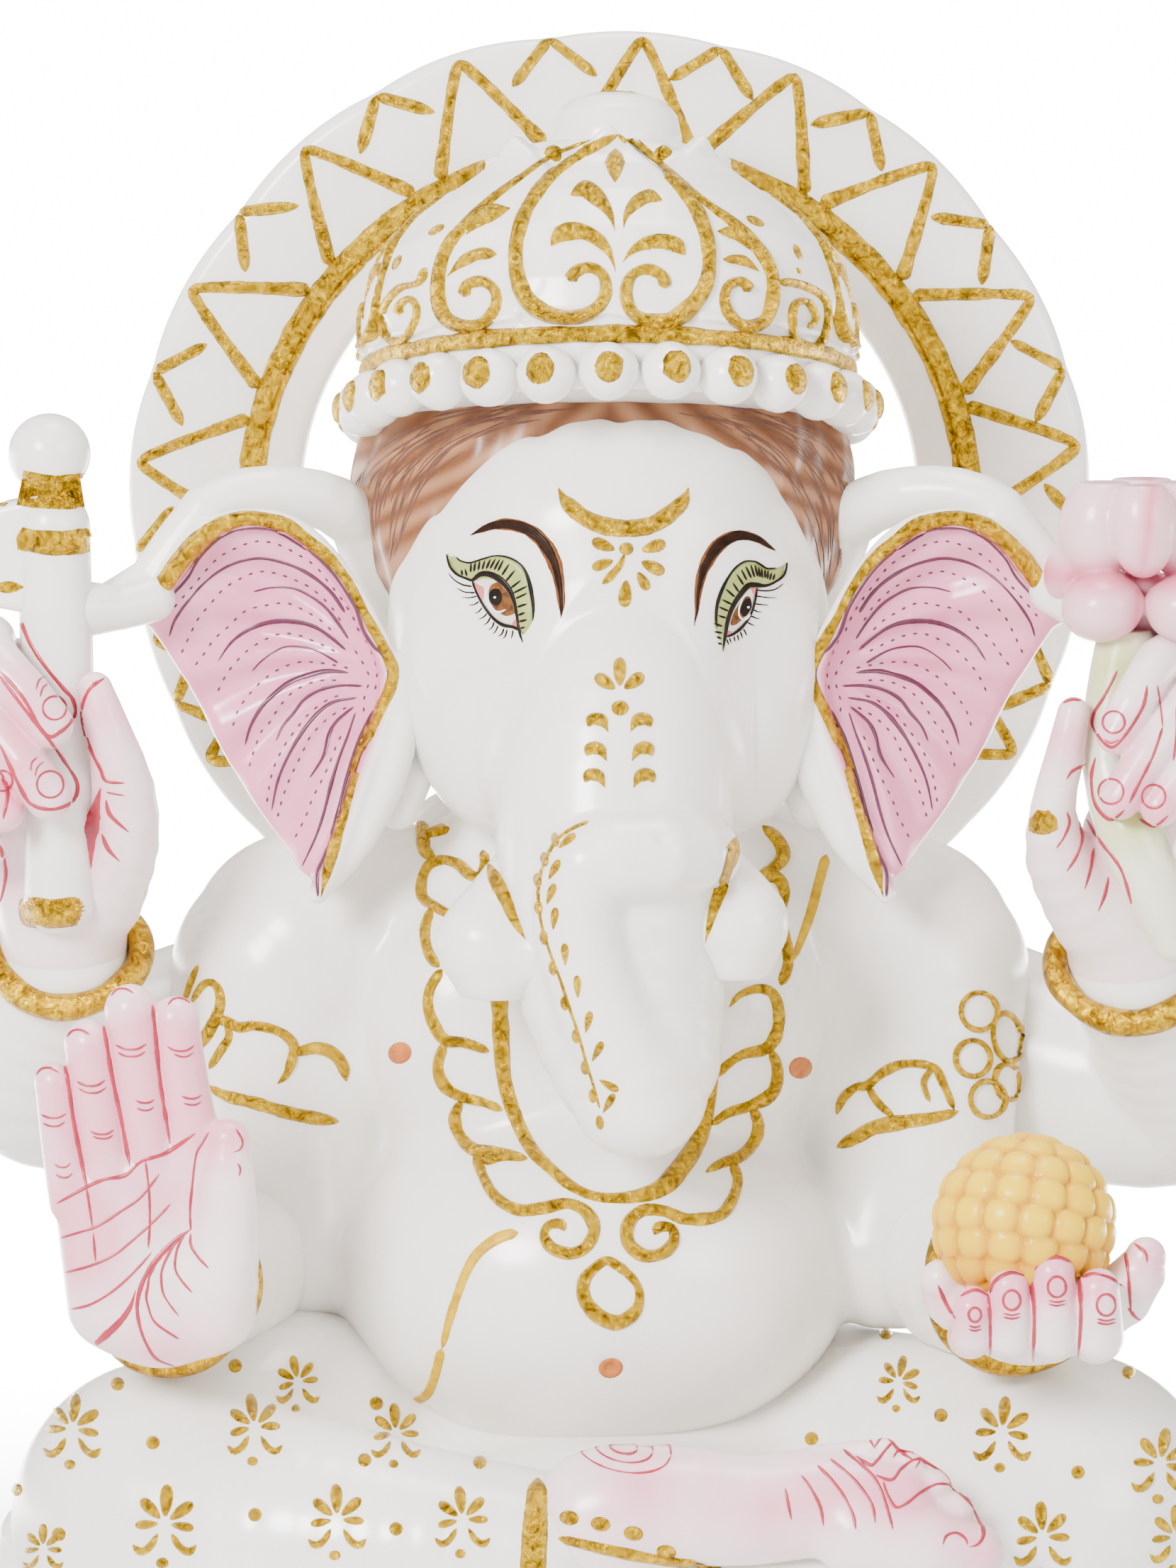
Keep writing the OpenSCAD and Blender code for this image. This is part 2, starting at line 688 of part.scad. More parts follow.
module gold_dhoti_hem() color(gold) translate([0, 0, lift]) difference() {
  intersection() {
    lap_form(relief_h + 0.6);
    translate([-17, -70, 60]) cube([7, 60, 78], center = true);
  }
  lap_form();
  foot(sole_up, toes_up, 1);
}

module bangle(at, axis_turn, r) color(gold) translate(at + [0, 0, lift]) rotate(axis_turn)
  rotate_extrude($fn = 72) translate([r, 0]) circle(bangle_wire, $fn = 24);

module bangle_axe() bangle([-138, -31, 220.5], [44, 0, 0], 18.6);
module bangle_lotus() bangle([131.2, -31, 216.5], [44, 0, 0], 18.6);
module bangle_blessing() bangle([-111.5, -60, 140], [85, 0, -16], 21);
module bangle_sweet() bangle([102.5, -60, 140], [85, 0, 16], 21);

// ---------- paint ----------

thread_low = [[-25, 156], [-32, 147], [-36, 134], [-40, 124], [-44, 116], [-52, 114]];
thread_high = [[55, 254], [51, 242], [46, 228]];

module sacred_thread() color("orange") intersection() {
  from_front() {
    stroke(thread_low, 3);
    stroke(thread_high, 3);
  }
  translate([0, 0, lift]) torso_skin(paint_h);
}

eye_l = [[-40, 322], [-33, 319], [-26, 320], [-20.5, 312], [-19.5, 302], [-25, 306], [-32, 313]];
eye_r = [[44, 318], [38, 319], [32, 318], [27, 310], [25.5, 300], [31, 304], [38, 311]];

module painted_eyes() color("saddlebrown") intersection() {
  from_front() {
    polygon(eye_l);
    polygon(eye_r);
  }
  translate([0, 0, lift]) head_skin(paint_h);
}

module painted_brows() color("saddlebrown") intersection() {
  from_front() {
    stroke([[-33, 329], [-26, 331], [-18, 328], [-12.5, 319], [-11, 309]], 1.8);
    stroke([[40, 325], [33, 328], [27, 325], [22, 316], [21, 307]], 1.8);
  }
  translate([0, 0, lift]) head_skin(paint_h);
}

module painted_marks() color("salmon") intersection() {
  from_front() {
    translate([-53, 192.5]) circle(3.2, $fn = 10);
    translate([48, 188.5]) circle(2.8, $fn = 10);
    translate([0.2, 118.5]) circle(3.2, $fn = 3);
  }
  translate([0, 0, lift]) torso_skin(paint_h);
}

// ---------- nodes ----------

plinth();
seat_cushion();
torso();
lap_dhoti();
upper_foot();
lower_foot();
neck_collar();
head_and_trunk();
tusk_left();
tusk_right();
ear_left();
ear_right();
hair();
crown_dome();
crown_shields();
crown_brim_pearls();
crown_tier_pearls();
crown_finial();
halo_ring();
halo_bridge();
axe_arm();
lotus_arm();
blessing_arm();
sweet_arm();
axe_hand();
lotus_hand();
blessing_hand();
sweet_hand();
axe_shaft();
axe_blade();
lotus_bud();
lotus_stem();
sweet();
gold_crown_bands();
gold_crown_scrolls();
gold_pearl_caps();
gold_halo_ring();
gold_halo_rays();
gold_crescent();
gold_brow_flower();
gold_trunk_flowers();
gold_trunk_vine();
gold_tusk_bands();
gold_ear_rims();
gold_necklace();
gold_pendant();
gold_armlets();
gold_axe_bands();
gold_thumb_ring();
gold_dhoti_flowers();
gold_dhoti_dots();
gold_dhoti_hem();
bangle_axe();
bangle_lotus();
bangle_blessing();
bangle_sweet();
sacred_thread();
painted_eyes();
painted_brows();
painted_marks();
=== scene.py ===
"""Seated four-armed Ganesha in white marble, with raised gilding and paint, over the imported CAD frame.

Lengths in this file are millimetres, times MM where they reach Blender. +Z is up and the figure faces -Y.
Left and right are the viewer's.
"""
import math

import bpy
import numpy as np
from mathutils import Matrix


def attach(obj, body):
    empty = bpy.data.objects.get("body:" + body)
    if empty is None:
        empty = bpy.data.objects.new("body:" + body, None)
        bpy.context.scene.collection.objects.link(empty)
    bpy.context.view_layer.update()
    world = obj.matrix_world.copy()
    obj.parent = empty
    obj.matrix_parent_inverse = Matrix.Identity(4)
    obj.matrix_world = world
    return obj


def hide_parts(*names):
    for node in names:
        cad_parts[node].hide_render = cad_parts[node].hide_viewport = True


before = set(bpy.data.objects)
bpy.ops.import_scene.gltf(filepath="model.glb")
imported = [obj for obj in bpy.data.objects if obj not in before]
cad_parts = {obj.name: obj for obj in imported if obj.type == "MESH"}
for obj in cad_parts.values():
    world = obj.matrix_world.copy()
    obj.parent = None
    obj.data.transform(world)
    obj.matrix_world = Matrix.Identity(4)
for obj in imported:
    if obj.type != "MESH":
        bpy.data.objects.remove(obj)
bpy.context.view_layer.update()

import openvdb
from mathutils import Matrix, Vector
from mathutils.bvhtree import BVHTree

MM = 0.001
GRAIN = 1.0
rng = np.random.default_rng(8)

# ------------------------------------------------------------------ the drawing sheet

EYE_DISTANCE = 3000.0
TILT = math.radians(6)
AIM = np.array([-5.6, -20.0, 262.0])
LOOK = np.array([0.0, math.cos(TILT), -math.sin(TILT)])
SHEET_UP = np.array([0.0, math.sin(TILT), math.cos(TILT)])
EYE = AIM - EYE_DISTANCE * LOOK


def on_sheet(x, v):
    """A point of the front drawing as a place in space: x across, v up, on a sheet facing the viewer."""
    return AIM + np.array([x - AIM[0], 0.0, 0.0]) + (v - AIM[2]) * SHEET_UP


def to_sheet(point):
    """Where a place in space shows on the front drawing."""
    way = np.array(point) - EYE
    spot = EYE + way * EYE_DISTANCE / (way @ LOOK)
    return spot[0], AIM[2] + (spot - AIM) @ SHEET_UP


def flow(points, spacing=1.0, closed=False):
    """A smooth curve through the points, evenly spaced. Any columns after the place come along."""
    p = np.array(points, float)
    ring = len(p) if closed else len(p) - 1
    fine = []
    for i in range(ring):
        if closed:
            a, b, c, d = p[i - 1], p[i], p[(i + 1) % len(p)], p[(i + 2) % len(p)]
        else:
            a, b, c, d = p[max(i - 1, 0)], p[i], p[i + 1], p[min(i + 2, len(p) - 1)]
        t = np.linspace(0, 1, 13)[:-1, None]
        fine.append(0.5 * (2 * b + (c - a) * t + (2 * a - 5 * b + 4 * c - d) * t**2
                           + (3 * b - a - 3 * c + d) * t**3))
    fine = np.vstack(fine + [p[:1] if closed else p[-1:]])
    run = np.r_[0, np.cumsum(np.linalg.norm(np.diff(fine[:, :2], axis=0), axis=1))]
    n = max(int(run[-1] / spacing), 4)
    at = np.linspace(0, run[-1], n + 1)
    out = np.stack([np.interp(at, run, fine[:, k]) for k in range(fine.shape[1])], 1)
    return out[:-1] if closed else out


# ------------------------------------------------------------------ clay


def soft_min(a, b, blend):
    if blend <= 0:
        return np.minimum(a, b)
    h = np.maximum(blend - np.abs(a - b), 0) / blend
    return np.minimum(a, b) - h * h * (blend / 4)


def edge_distance(points, x, z):
    """Distance from each (x, z) to a closed outline: negative inside."""
    p = np.array(points, float)
    best = np.full(np.broadcast(x, z).shape, 1e9)
    inside = np.zeros(best.shape, bool)
    for (ax, az), (bx, bz) in zip(p, np.roll(p, -1, 0)):
        ex, ez = bx - ax, bz - az
        t = np.clip(((x - ax) * ex + (z - az) * ez) / (ex * ex + ez * ez + 1e-9), 0, 1)
        best = np.minimum(best, (x - ax - t * ex) ** 2 + (z - az - t * ez) ** 2)
        crosses = ((az > z) != (bz > z)) & (x < (bx - ax) * (z - az) / (bz - az + 1e-12) + ax)
        inside ^= crosses
    return np.where(inside, -1, 1) * np.sqrt(best)


def line_distance(points, x, z):
    """Distance from each (x, z) to an open line."""
    p = np.array(points, float)[:, :2]
    best = np.full(np.broadcast(x, z).shape, 1e9)
    for (ax, az), (bx, bz) in zip(p[:-1], p[1:]):
        ex, ez = bx - ax, bz - az
        t = np.clip(((x - ax) * ex + (z - az) * ez) / (ex * ex + ez * ez + 1e-9), 0, 1)
        best = np.minimum(best, (x - ax - t * ex) ** 2 + (z - az - t * ez) ** 2)
    return np.sqrt(best)


class Clay:
    """A block of clay on a grid. Each point holds its distance to the surface, negative inside."""

    def __init__(self, low, high, step):
        self.step = step * GRAIN
        self.low = np.array(low, float)
        count = np.ceil((np.array(high) - self.low) / self.step).astype(int) + 1
        self.axes = [(self.low[i] + self.step * np.arange(count[i])).astype(np.float32) for i in range(3)]
        self.field = np.full(count, 40.0, np.float32)

    def window(self, low, high, margin):
        cut = []
        for i in range(3):
            a = int(np.floor((low[i] - margin - self.low[i]) / self.step))
            b = int(np.ceil((high[i] + margin - self.low[i]) / self.step)) + 1
            a, b = max(a, 0), min(b, len(self.axes[i]))
            cut.append(slice(a, max(a, b)))
        x = self.axes[0][cut[0]][:, None, None]
        y = self.axes[1][cut[1]][None, :, None]
        z = self.axes[2][cut[2]][None, None, :]
        return tuple(cut), x, y, z

    def work(self, low, high, distance, blend, how):
        cut, x, y, z = self.window(low, high, blend + 3 * self.step)
        if 0 in self.field[cut].shape:
            return
        d = distance(x, y, z).astype(np.float32)
        if how == "add":
            self.field[cut] = soft_min(self.field[cut], d, blend)
        elif how == "carve":
            self.field[cut] = -soft_min(-self.field[cut], d, blend)
        elif how == "raise":
            self.field[cut] = self.field[cut] - d

    def egg(self, centre, radii, blend=4.0, how="add", turn=(0, 0, 0)):
        """An ellipsoid. turn is its rotation about X, Y and Z in degrees."""
        c, r = np.array(centre, float), np.array(radii, float)
        m = np.array(Matrix.Rotation(math.radians(turn[2]), 3,
                                     "Z") @ Matrix.Rotation(math.radians(turn[1]), 3, "Y")
                     @ Matrix.Rotation(math.radians(turn[0]), 3, "X"))
        reach = np.abs(m) @ r

        def distance(x, y, z):
            p = (x - c[0], y - c[1], z - c[2])
            q = [m[0, k] * p[0] + m[1, k] * p[1] + m[2, k] * p[2] for k in range(3)]
            near = np.sqrt(sum((q[k] / r[k]) ** 2 for k in range(3)))
            slope = np.sqrt(sum((q[k] / r[k] ** 2) ** 2 for k in range(3))) + 1e-6
            return near * (near - 1) / slope

        self.work(c - reach, c + reach, distance, blend, how)

    def rod(self, a, b, blend=3.0, how="add"):
        """A round bar from a to b, each (x, y, z, radius)."""
        a, b = np.array(a, float), np.array(b, float)
        e = b[:3] - a[:3]
        ee = float(e @ e) + 1e-9
        big = max(a[3], b[3])

        def distance(x, y, z):
            px, py, pz = x - a[0], y - a[1], z - a[2]
            t = np.clip((px * e[0] + py * e[1] + pz * e[2]) / ee, 0, 1)
            gap = np.sqrt((px - t * e[0]) ** 2 + (py - t * e[1]) ** 2 + (pz - t * e[2]) ** 2)
            return gap - (a[3] + t * (b[3] - a[3]))

        self.work(np.minimum(a, b)[:3] - big, np.maximum(a, b)[:3] + big, distance, blend, how)

    def limb(self, points, blend=3.0, how="add", spacing=6.0):
        """A round bar of changing radius along a smooth curve through (x, y, z, radius) points."""
        p = np.array(points, float)
        if len(p) > 2:
            fine = [p[0]]
            for i in range(len(p) - 1):
                a, b, c, d = p[max(i - 1, 0)], p[i], p[i + 1], p[min(i + 2, len(p) - 1)]
                n = max(int(np.linalg.norm((c - b)[:3]) / spacing), 1)
                for t in np.linspace(0, 1, n + 1)[1:]:
                    fine.append(0.5 * (2 * b + (c - a) * t + (2 * a - 5 * b + 4 * c - d) * t**2
                                       + (3 * b - a - 3 * c + d) * t**3))
            p = np.array(fine)
        inner = Clay.__new__(Clay)
        big = p[:, 3].max()
        cut, x, y, z = self.window(p[:, :3].min(0) - big, p[:, :3].max(0) + big, blend + 3 * self.step)
        if 0 in self.field[cut].shape:
            return
        inner.step, inner.low = self.step, np.array([x.flat[0], y.flat[0], z.flat[0]], float)
        inner.axes = [x.ravel(), y.ravel(), z.ravel()]
        inner.field = np.full(self.field[cut].shape, 40.0, np.float32)
        for a, b in zip(p[:-1], p[1:]):
            inner.rod(a, b, 0.0)
        if how == "add":
            self.field[cut] = soft_min(self.field[cut], inner.field, blend)
        else:
            self.field[cut] = -soft_min(-self.field[cut], inner.field, blend)

    def flat_cut(self, axis, at, keep_above=True):
        """Keeps only what is above (or below) a plane square to an axis."""
        shape = [1, 1, 1]
        shape[axis] = -1
        side = (at - self.axes[axis]) if keep_above else (self.axes[axis] - at)
        self.field = np.maximum(self.field, side.reshape(shape).astype(np.float32))

    def harden(self):
        """The surface as (points, quads), smoothed a little."""
        grid = openvdb.FloatGrid(40.0)
        padded = np.pad(self.field, 1, constant_values=40.0)
        grid.copyFromArray(padded)
        points, quads = grid.convertToQuads(0.0)
        points = (points.astype(float) - 1) * self.step + self.low
        return relax(points, quads.astype(int), 2), quads.astype(int)


def relax(points, quads, times, amount=0.5):
    """Evens out a mesh's points towards their neighbours' middle, then back, so that it keeps its size."""
    a = quads.ravel()
    b = np.roll(quads, -1, 1).ravel()
    count = np.bincount(np.r_[a, b], minlength=len(points))[:, None] + 1e-9
    for step in range(2 * times):
        total = np.stack([np.bincount(np.r_[a, b], np.r_[points[b, k], points[a, k]], len(points))
                          for k in range(3)], 1)
        points = points + (amount if step % 2 == 0 else -0.53 * amount / 0.5) * (total / count - points)
    return points


# ------------------------------------------------------------------ pieces

solid = {}  # name: BVH tree in millimetres, for drawing on


def piece(name, points, faces, material, nodes=(), paint=None):
    """A finished piece: points in millimetres, faces as quads or triangles (or mixed lists)."""
    mesh = bpy.data.meshes.new(name)
    points = np.asarray(points, float)
    if isinstance(faces, np.ndarray):
        a, b, c = (points[faces[:, k]] for k in range(3))
        if faces.shape[1] == 4:
            d = points[faces[:, 3]]
            volume = (np.cross(b - a, c - a) * a).sum() + (np.cross(c - a, d - a) * a).sum()
        else:
            volume = (np.cross(b - a, c - a) * a).sum()
        if volume < 0:
            faces = faces[:, ::-1]
        n, sides = faces.shape
        mesh.vertices.add(len(points))
        mesh.vertices.foreach_set("co", (points * MM).ravel())
        mesh.loops.add(n * sides)
        mesh.loops.foreach_set("vertex_index", faces.ravel())
        mesh.polygons.add(n)
        mesh.polygons.foreach_set("loop_start", np.arange(0, n * sides, sides))
        mesh.update(calc_edges=True)
    else:
        mesh.from_pydata((points * MM).tolist(), [], faces)
        mesh.update()
    mesh.validate()
    mesh.shade_smooth()
    if paint is not None:
        layer = mesh.color_attributes.new("paint", "FLOAT_COLOR", "POINT")
        layer.data.foreach_set("color", np.asarray(paint, float).ravel())
    mesh.materials.append(material)
    obj = bpy.data.objects.new(name, mesh)
    bpy.context.scene.collection.objects.link(obj)
    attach(obj, "root")
    if nodes:
        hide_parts(*nodes)
    return obj


def carve(name, clay, material, nodes=(), paint=None):
    points, quads = clay.harden()
    colours = paint(points) if paint else None
    obj = piece(name, points, quads, material, nodes, colours)
    solid[name] = BVHTree.FromPolygons(points.tolist(), quads.tolist())
    return obj


class Pile:
    """Many small shapes gathered into one piece."""

    def __init__(self):
        self.points, self.faces, self.count = [], [], 0

    def add(self, points, faces):
        self.points.append(np.asarray(points, float))
        self.faces += [[int(i) + self.count for i in f] for f in faces]
        self.count += len(points)

    def piece(self, name, material, slot, nodes=()):
        return piece(name, np.vstack(self.points), self.faces, material, nodes)


def sheet(*names):
    """A caster: where the viewer's line through a drawing point first meets the pieces, and the normal."""
    def cast(x, v):
        way = on_sheet(x, v) - EYE
        way /= np.linalg.norm(way)
        best = None
        for name in names:
            spot, normal, _, gap = solid[name].ray_cast(Vector(EYE + 2200 * way), Vector(way))
            if spot is not None and (best is None or gap < best[2]):
                best = (np.array(spot), np.array(normal), gap)
        if best is None:
            return None
        normal = best[1] if best[1] @ way < 0 else -best[1]
        return best[0], normal
    return cast


def brush(pile, points, width, height, cast, spacing=0.9, taper=(0.25, 0.25), rough=0.06, across=5,
          sink=0.3,
          flat=False):
    """A line drawn on the figure, raised or flat like paint. points: (x, v) or (x, v, width)."""
    p = np.array([(q[0], q[1], q[2] if len(q) > 2 else width) for q in points], float)
    width = p[:, 2].max()
    p = flow(p, spacing)
    way = np.gradient(p[:, :2], axis=0)
    way /= np.linalg.norm(way, axis=1)[:, None] + 1e-9
    side = np.stack([-way[:, 1], way[:, 0]], 1)
    n = len(p)
    run = np.linspace(0, 1, n)
    length = n * spacing
    ends = np.clip(np.minimum(run * length / (taper[0] * width * 4 + 1e-6),
                              (1 - run) * length / (taper[1] * width * 4 + 1e-6)), 0, 1)
    ends = np.sqrt(np.clip(ends, 0.02, 1))
    wobble = 1 + rough * np.convolve(rng.normal(0, 2, n + 4), np.ones(5) / 5, "valid")[:n]
    half = p[:, 2] / 2 * ends * wobble
    u = np.array([-1, -0.88, 0, 0.88, 1]) if flat else np.linspace(-1, 1, across)
    across = len(u)
    spots = []
    last = None
    for i in range(n):
        row, up = [], []
        for k in u:
            hit = cast(*(p[i, :2] + side[i] * half[i] * k))
            if hit is None and last is not None:
                hit = last
            if hit is None:
                break
            last = hit
            row.append(hit[0])
            up.append(hit[1])
        if len(row) == across:
            spots.append((row, up, half[i]))
    if len(spots) < 3:
        return
    base = np.array([s[0] for s in spots])
    up = np.array([s[1] for s in spots])
    wide = np.array([s[2] for s in spots])
    middle = base[:, across // 2]
    keep = np.linalg.norm(base - middle[:, None], axis=2) < 2.2 * wide[:, None] + 0.8
    base = np.where(keep[..., None], base, middle[:, None])
    up = (up + np.roll(up, 1, 0) + np.roll(up, -1, 0)) if len(up) > 4 else up
    up = up.sum(1, keepdims=True) + up * 0.3
    up /= np.linalg.norm(up, axis=2)[..., None] + 1e-9
    dome = (np.clip(1 - u**2, 0, 1) ** (0.05 if flat else 0.5))[None, :, None]
    tall = (height * (np.ones(len(wide)) if flat else np.clip(wide / (width / 2), 0.15,
                                                              1.1)))[:, None, None]
    top = base + up * (dome * tall + 0.02)
    low = base[:, ::-1] - up[:, ::-1] * sink
    ring = np.concatenate([top, low], 1)
    m, k = ring.shape[:2]
    faces = [(i * k + j, i * k + (j + 1) % k, (i + 1) * k + (j + 1) % k, (i + 1) * k + j)
             for i in range(m - 1) for j in range(k)]
    faces.append([*range(k)][::-1])
    faces.append([(m - 1) * k + j for j in range(k)])
    pile.add(ring.reshape(-1, 3), faces)


def patch(pile, outline, height, cast, rings=4, sink=0.3, flat=0.5):
    """A raised patch inside an outline on the drawing. flat near 1 gives a level top, near 0 a dome."""
    o = np.array(outline, float)
    centre = o.mean(0)
    n = len(o)
    spots = []
    start = cast(*centre)
    if start is None:
        return
    for r in np.linspace(0, 1, rings + 1)[1:]:
        for q in o:
            hit = cast(*(centre + (q - centre) * r))
            spots.append(hit or start)
    base = np.array([s[0] for s in spots]).reshape(rings, n, 3)
    up = np.array([s[1] for s in spots]).reshape(rings, n, 3)
    mean = up.mean((0, 1))
    up = up * 0.4 + mean
    up /= np.linalg.norm(up, axis=2)[..., None]
    r = np.linspace(0, 1, rings + 1)[1:]
    rise = height * np.clip((1 - r**2), 0, 1) ** (1 - 0.75 * flat)
    top = base + up * (rise[:, None, None] + 0.02)
    points = [start[0] + start[1] * (height + 0.02), *top.reshape(-1, 3), *(base[-1] - up[-1] * sink)]
    last = 1 + rings * n
    faces = [(0, 1 + j, 1 + (j + 1) % n) for j in range(n)]
    for i in range(rings - 1):
        a, b = 1 + i * n, 1 + (i + 1) * n
        faces += [(a + j, b + j, b + (j + 1) % n, a + (j + 1) % n) for j in range(n)]
    a = 1 + (rings - 1) * n
    faces += [(a + j, last + j, last + (j + 1) % n, a + (j + 1) % n) for j in range(n)]
    faces.append([last + j for j in range(n)][::-1])
    pile.add(points, faces)


def oval(centre, rx, ry, turn=0.0, n=14, pinch=0.0):
    """An oval outline. pinch draws its far end in to a point, as on a petal."""
    a = np.linspace(0, 2 * np.pi, n, endpoint=False)
    x = rx * np.cos(a)
    y = ry * np.sin(a) * (1 - pinch * (1 + np.cos(a)) / 2)
    t = math.radians(turn)
    return np.stack([centre[0] + x * math.cos(t) - y * math.sin(t), centre[1] + x * math.sin(t) + y
                     * math.cos(t)], 1)


# ------------------------------------------------------------------ materials


class Nodes:
    """A material being built, node by node."""

    def __init__(self, name):
        self.material = bpy.data.materials.new(name)
        self.material.use_nodes = True
        self.tree = self.material.node_tree
        self.shader = self.tree.nodes["Principled BSDF"]

    def add(self, kind, **settings):
        node = self.tree.nodes.new(kind)
        for key, value in settings.items():
            if hasattr(node, key):
                setattr(node, key, value)
            else:
                node.inputs[key.replace("_", " ").title()].default_value = value
        return node

    def link(self, out, into):
        self.tree.links.new(out, into)

    def set(self, **values):
        for key, value in values.items():
            self.shader.inputs[key.replace("_",
                                           " ").title() if key != "ior" else "IOR"].default_value = value
        return self

    def noise(self, scale, detail=3.0, roughness=0.55, distortion=0.0):
        where = self.tree.nodes.new("ShaderNodeTexCoord")
        node = self.add("ShaderNodeTexNoise")
        for key, value in (("Scale", scale), ("Detail", detail), ("Roughness", roughness),
                           ("Distortion", distortion)):
            node.inputs[key].default_value = value
        self.link(where.outputs["Object"], node.inputs["Vector"])
        return node

    def ramp(self, source, stops):
        node = self.add("ShaderNodeValToRGB")
        marks = node.color_ramp.elements
        while len(marks) < len(stops):
            marks.new(0.5)
        for mark, (at, colour) in zip(marks, stops):
            mark.position = at
            mark.color = (*colour, 1)
        self.link(source, node.inputs["Fac"])
        return node

    def mix(self, factor, a, b, how="MIX"):
        node = self.add("ShaderNodeMix", data_type="RGBA", blend_type=how)
        for source, socket in ((factor, node.inputs[0]), (a, node.inputs[6]), (b, node.inputs[7])):
            if isinstance(source, bpy.types.NodeSocket):
                self.link(source, socket)
            elif socket.type == "RGBA":
                socket.default_value = (*source, 1)
            else:
                socket.default_value = source
        return node.outputs[2]

    def bump(self, source, strength, distance):
        node = self.add("ShaderNodeBump")
        node.inputs["Strength"].default_value = strength
        node.inputs["Distance"].default_value = distance
        self.link(source, node.inputs["Height"])
        self.link(node.outputs["Normal"], self.shader.inputs["Normal"])
        return node


WHITE = (0.86, 0.83, 0.785)
CLOUD = (0.79, 0.76, 0.71)


def stone(name, tint=None, painted=False, roughness=0.24, shine=0.5):
    """Polished white marble: cloudy, with a few grey flecks, under a tint and a piece's own paint."""
    m = Nodes(name)
    cloud = m.noise(22, 4, 0.6, 0.6)
    base = m.ramp(cloud.outputs["Fac"], [(0.30, CLOUD), (0.62, WHITE)]).outputs["Color"]
    fleck = m.noise(150, 2, 0.5, 0.2)
    spots = m.ramp(fleck.outputs["Fac"], [(0.18, (0.62, 0.60, 0.57)), (0.245, (1, 1, 1))]).outputs["Color"]
    base = m.mix(0.5, base, spots, "MULTIPLY")
    if tint:
        streak = m.noise(60, 3, 0.6, 1.0)
        amount = m.ramp(streak.outputs["Fac"], [(0.2, (0.72, 0.72, 0.72)),
                                                (0.75, (1, 1, 1))]).outputs["Color"]
        base = m.mix(amount, base, tint)
    if painted:
        layer = m.add("ShaderNodeAttribute", attribute_name="paint")
        base = m.mix(layer.outputs["Alpha"], base, layer.outputs["Color"])
    m.link(base, m.shader.inputs["Base Color"])
    polish = m.noise(38, 3, 0.6)
    rough = m.add("ShaderNodeMapRange")
    m.link(polish.outputs["Fac"], rough.inputs["Value"])
    rough.inputs["To Min"].default_value = roughness - 0.05
    rough.inputs["To Max"].default_value = roughness + 0.09
    m.link(rough.outputs["Result"], m.shader.inputs["Roughness"])
    ripple = m.noise(55, 2, 0.5)
    m.bump(ripple.outputs["Fac"], 0.10, 0.0012)
    m.set(ior=1.5, subsurface_weight=0.22, subsurface_scale=0.004, coat_weight=0.24 * shine,
          coat_roughness=0.12)
    m.shader.inputs["Specular IOR Level"].default_value = shine
    m.shader.inputs["Subsurface Radius"].default_value = (1.0, 0.85, 0.7)
    return m.material


def gold_leaf(name, colour=(0.42, 0.24, 0.002), deep=(0.12, 0.06, 0.001), rough=0.18, bump=1.0):
    """Gold leaf over raised gesso: bright and crinkled, thinning to ochre size in places; its colour also
    holds painted reflections.
    """
    m = Nodes(name)
    # Uneven leaf tone, partly real wear and partly painted reflection: the darker brown and brighter yellow
    # patches stand in for dark surroundings and glints mirrored in the crinkles.
    wear_and_reflection = m.noise(330, 5, 0.75, 0.8)
    tone = m.ramp(wear_and_reflection.outputs["Fac"], [(0.34, deep), (0.46, colour), (0.70, (0.90, 0.60, 0.02))])
    m.link(tone.outputs["Color"], m.shader.inputs["Base Color"])
    thin = m.noise(95, 3, 0.6)
    metal = m.ramp(thin.outputs["Fac"], [(0.22, (0.5, 0.5, 0.5)), (0.40, (1, 1, 1))])
    m.link(metal.outputs["Color"], m.shader.inputs["Metallic"])
    crinkle = m.noise(620, 5, 0.7, 1.2)
    span = m.add("ShaderNodeMapRange")
    m.link(crinkle.outputs["Fac"], span.inputs["Value"])
    span.inputs["To Min"].default_value = rough - 0.1
    span.inputs["To Max"].default_value = rough + 0.18
    m.link(span.outputs["Result"], m.shader.inputs["Roughness"])
    m.bump(crinkle.outputs["Fac"], bump, 0.0011)
    return m.material


def paint(name, colour, dark, roughness=0.35, scale=260, shine=0.5):
    """A thin line of enamel paint, a little uneven."""
    m = Nodes(name)
    uneven = m.noise(scale, 3, 0.6)
    tone = m.ramp(uneven.outputs["Fac"], [(0.3, dark), (0.6, colour)])
    m.link(tone.outputs["Color"], m.shader.inputs["Base Color"])
    m.bump(uneven.outputs["Fac"], 0.1, 0.0003)
    m.set(roughness=roughness, coat_weight=0.3 * shine)
    m.shader.inputs["Specular IOR Level"].default_value = shine
    return m.material


marble = stone("white_marble")
washed = stone("painted_marble", painted=True, roughness=0.27)
enamelled = stone("enamelled_marble", painted=True, roughness=0.27, shine=0.2)
gilt = gold_leaf("gold_leaf")
old_gilt = gold_leaf("bangle_gold", (0.36, 0.19, 0.002), (0.13, 0.06, 0.001), 0.2, 0.45)
crimson = paint("crimson_line", (0.40, 0.004, 0.03), (0.26, 0.002, 0.02))
plum = paint("plum_line", (0.085, 0.005, 0.035), (0.05, 0.003, 0.022))
ochre = paint("ochre_line", (0.58, 0.36, 0.001), (0.38, 0.20, 0.001), 0.4, shine=0.1)
black = paint("black_line", (0.012, 0.008, 0.006), (0.005, 0.003, 0.003), 0.35, shine=0.08)
lid_green = paint("lid_green", (0.30, 0.34, 0.095), (0.24, 0.28, 0.06), 0.5)
eye_white = paint("eye_white", (0.66, 0.62, 0.56), (0.56, 0.51, 0.45), 0.25)
eye_pink = paint("eye_pink", (0.55, 0.10, 0.11), (0.50, 0.18, 0.17), 0.4)
iris_brown = paint("iris_brown", (0.16, 0.06, 0.015), (0.05, 0.018, 0.006), 0.3, 520, 0.15)
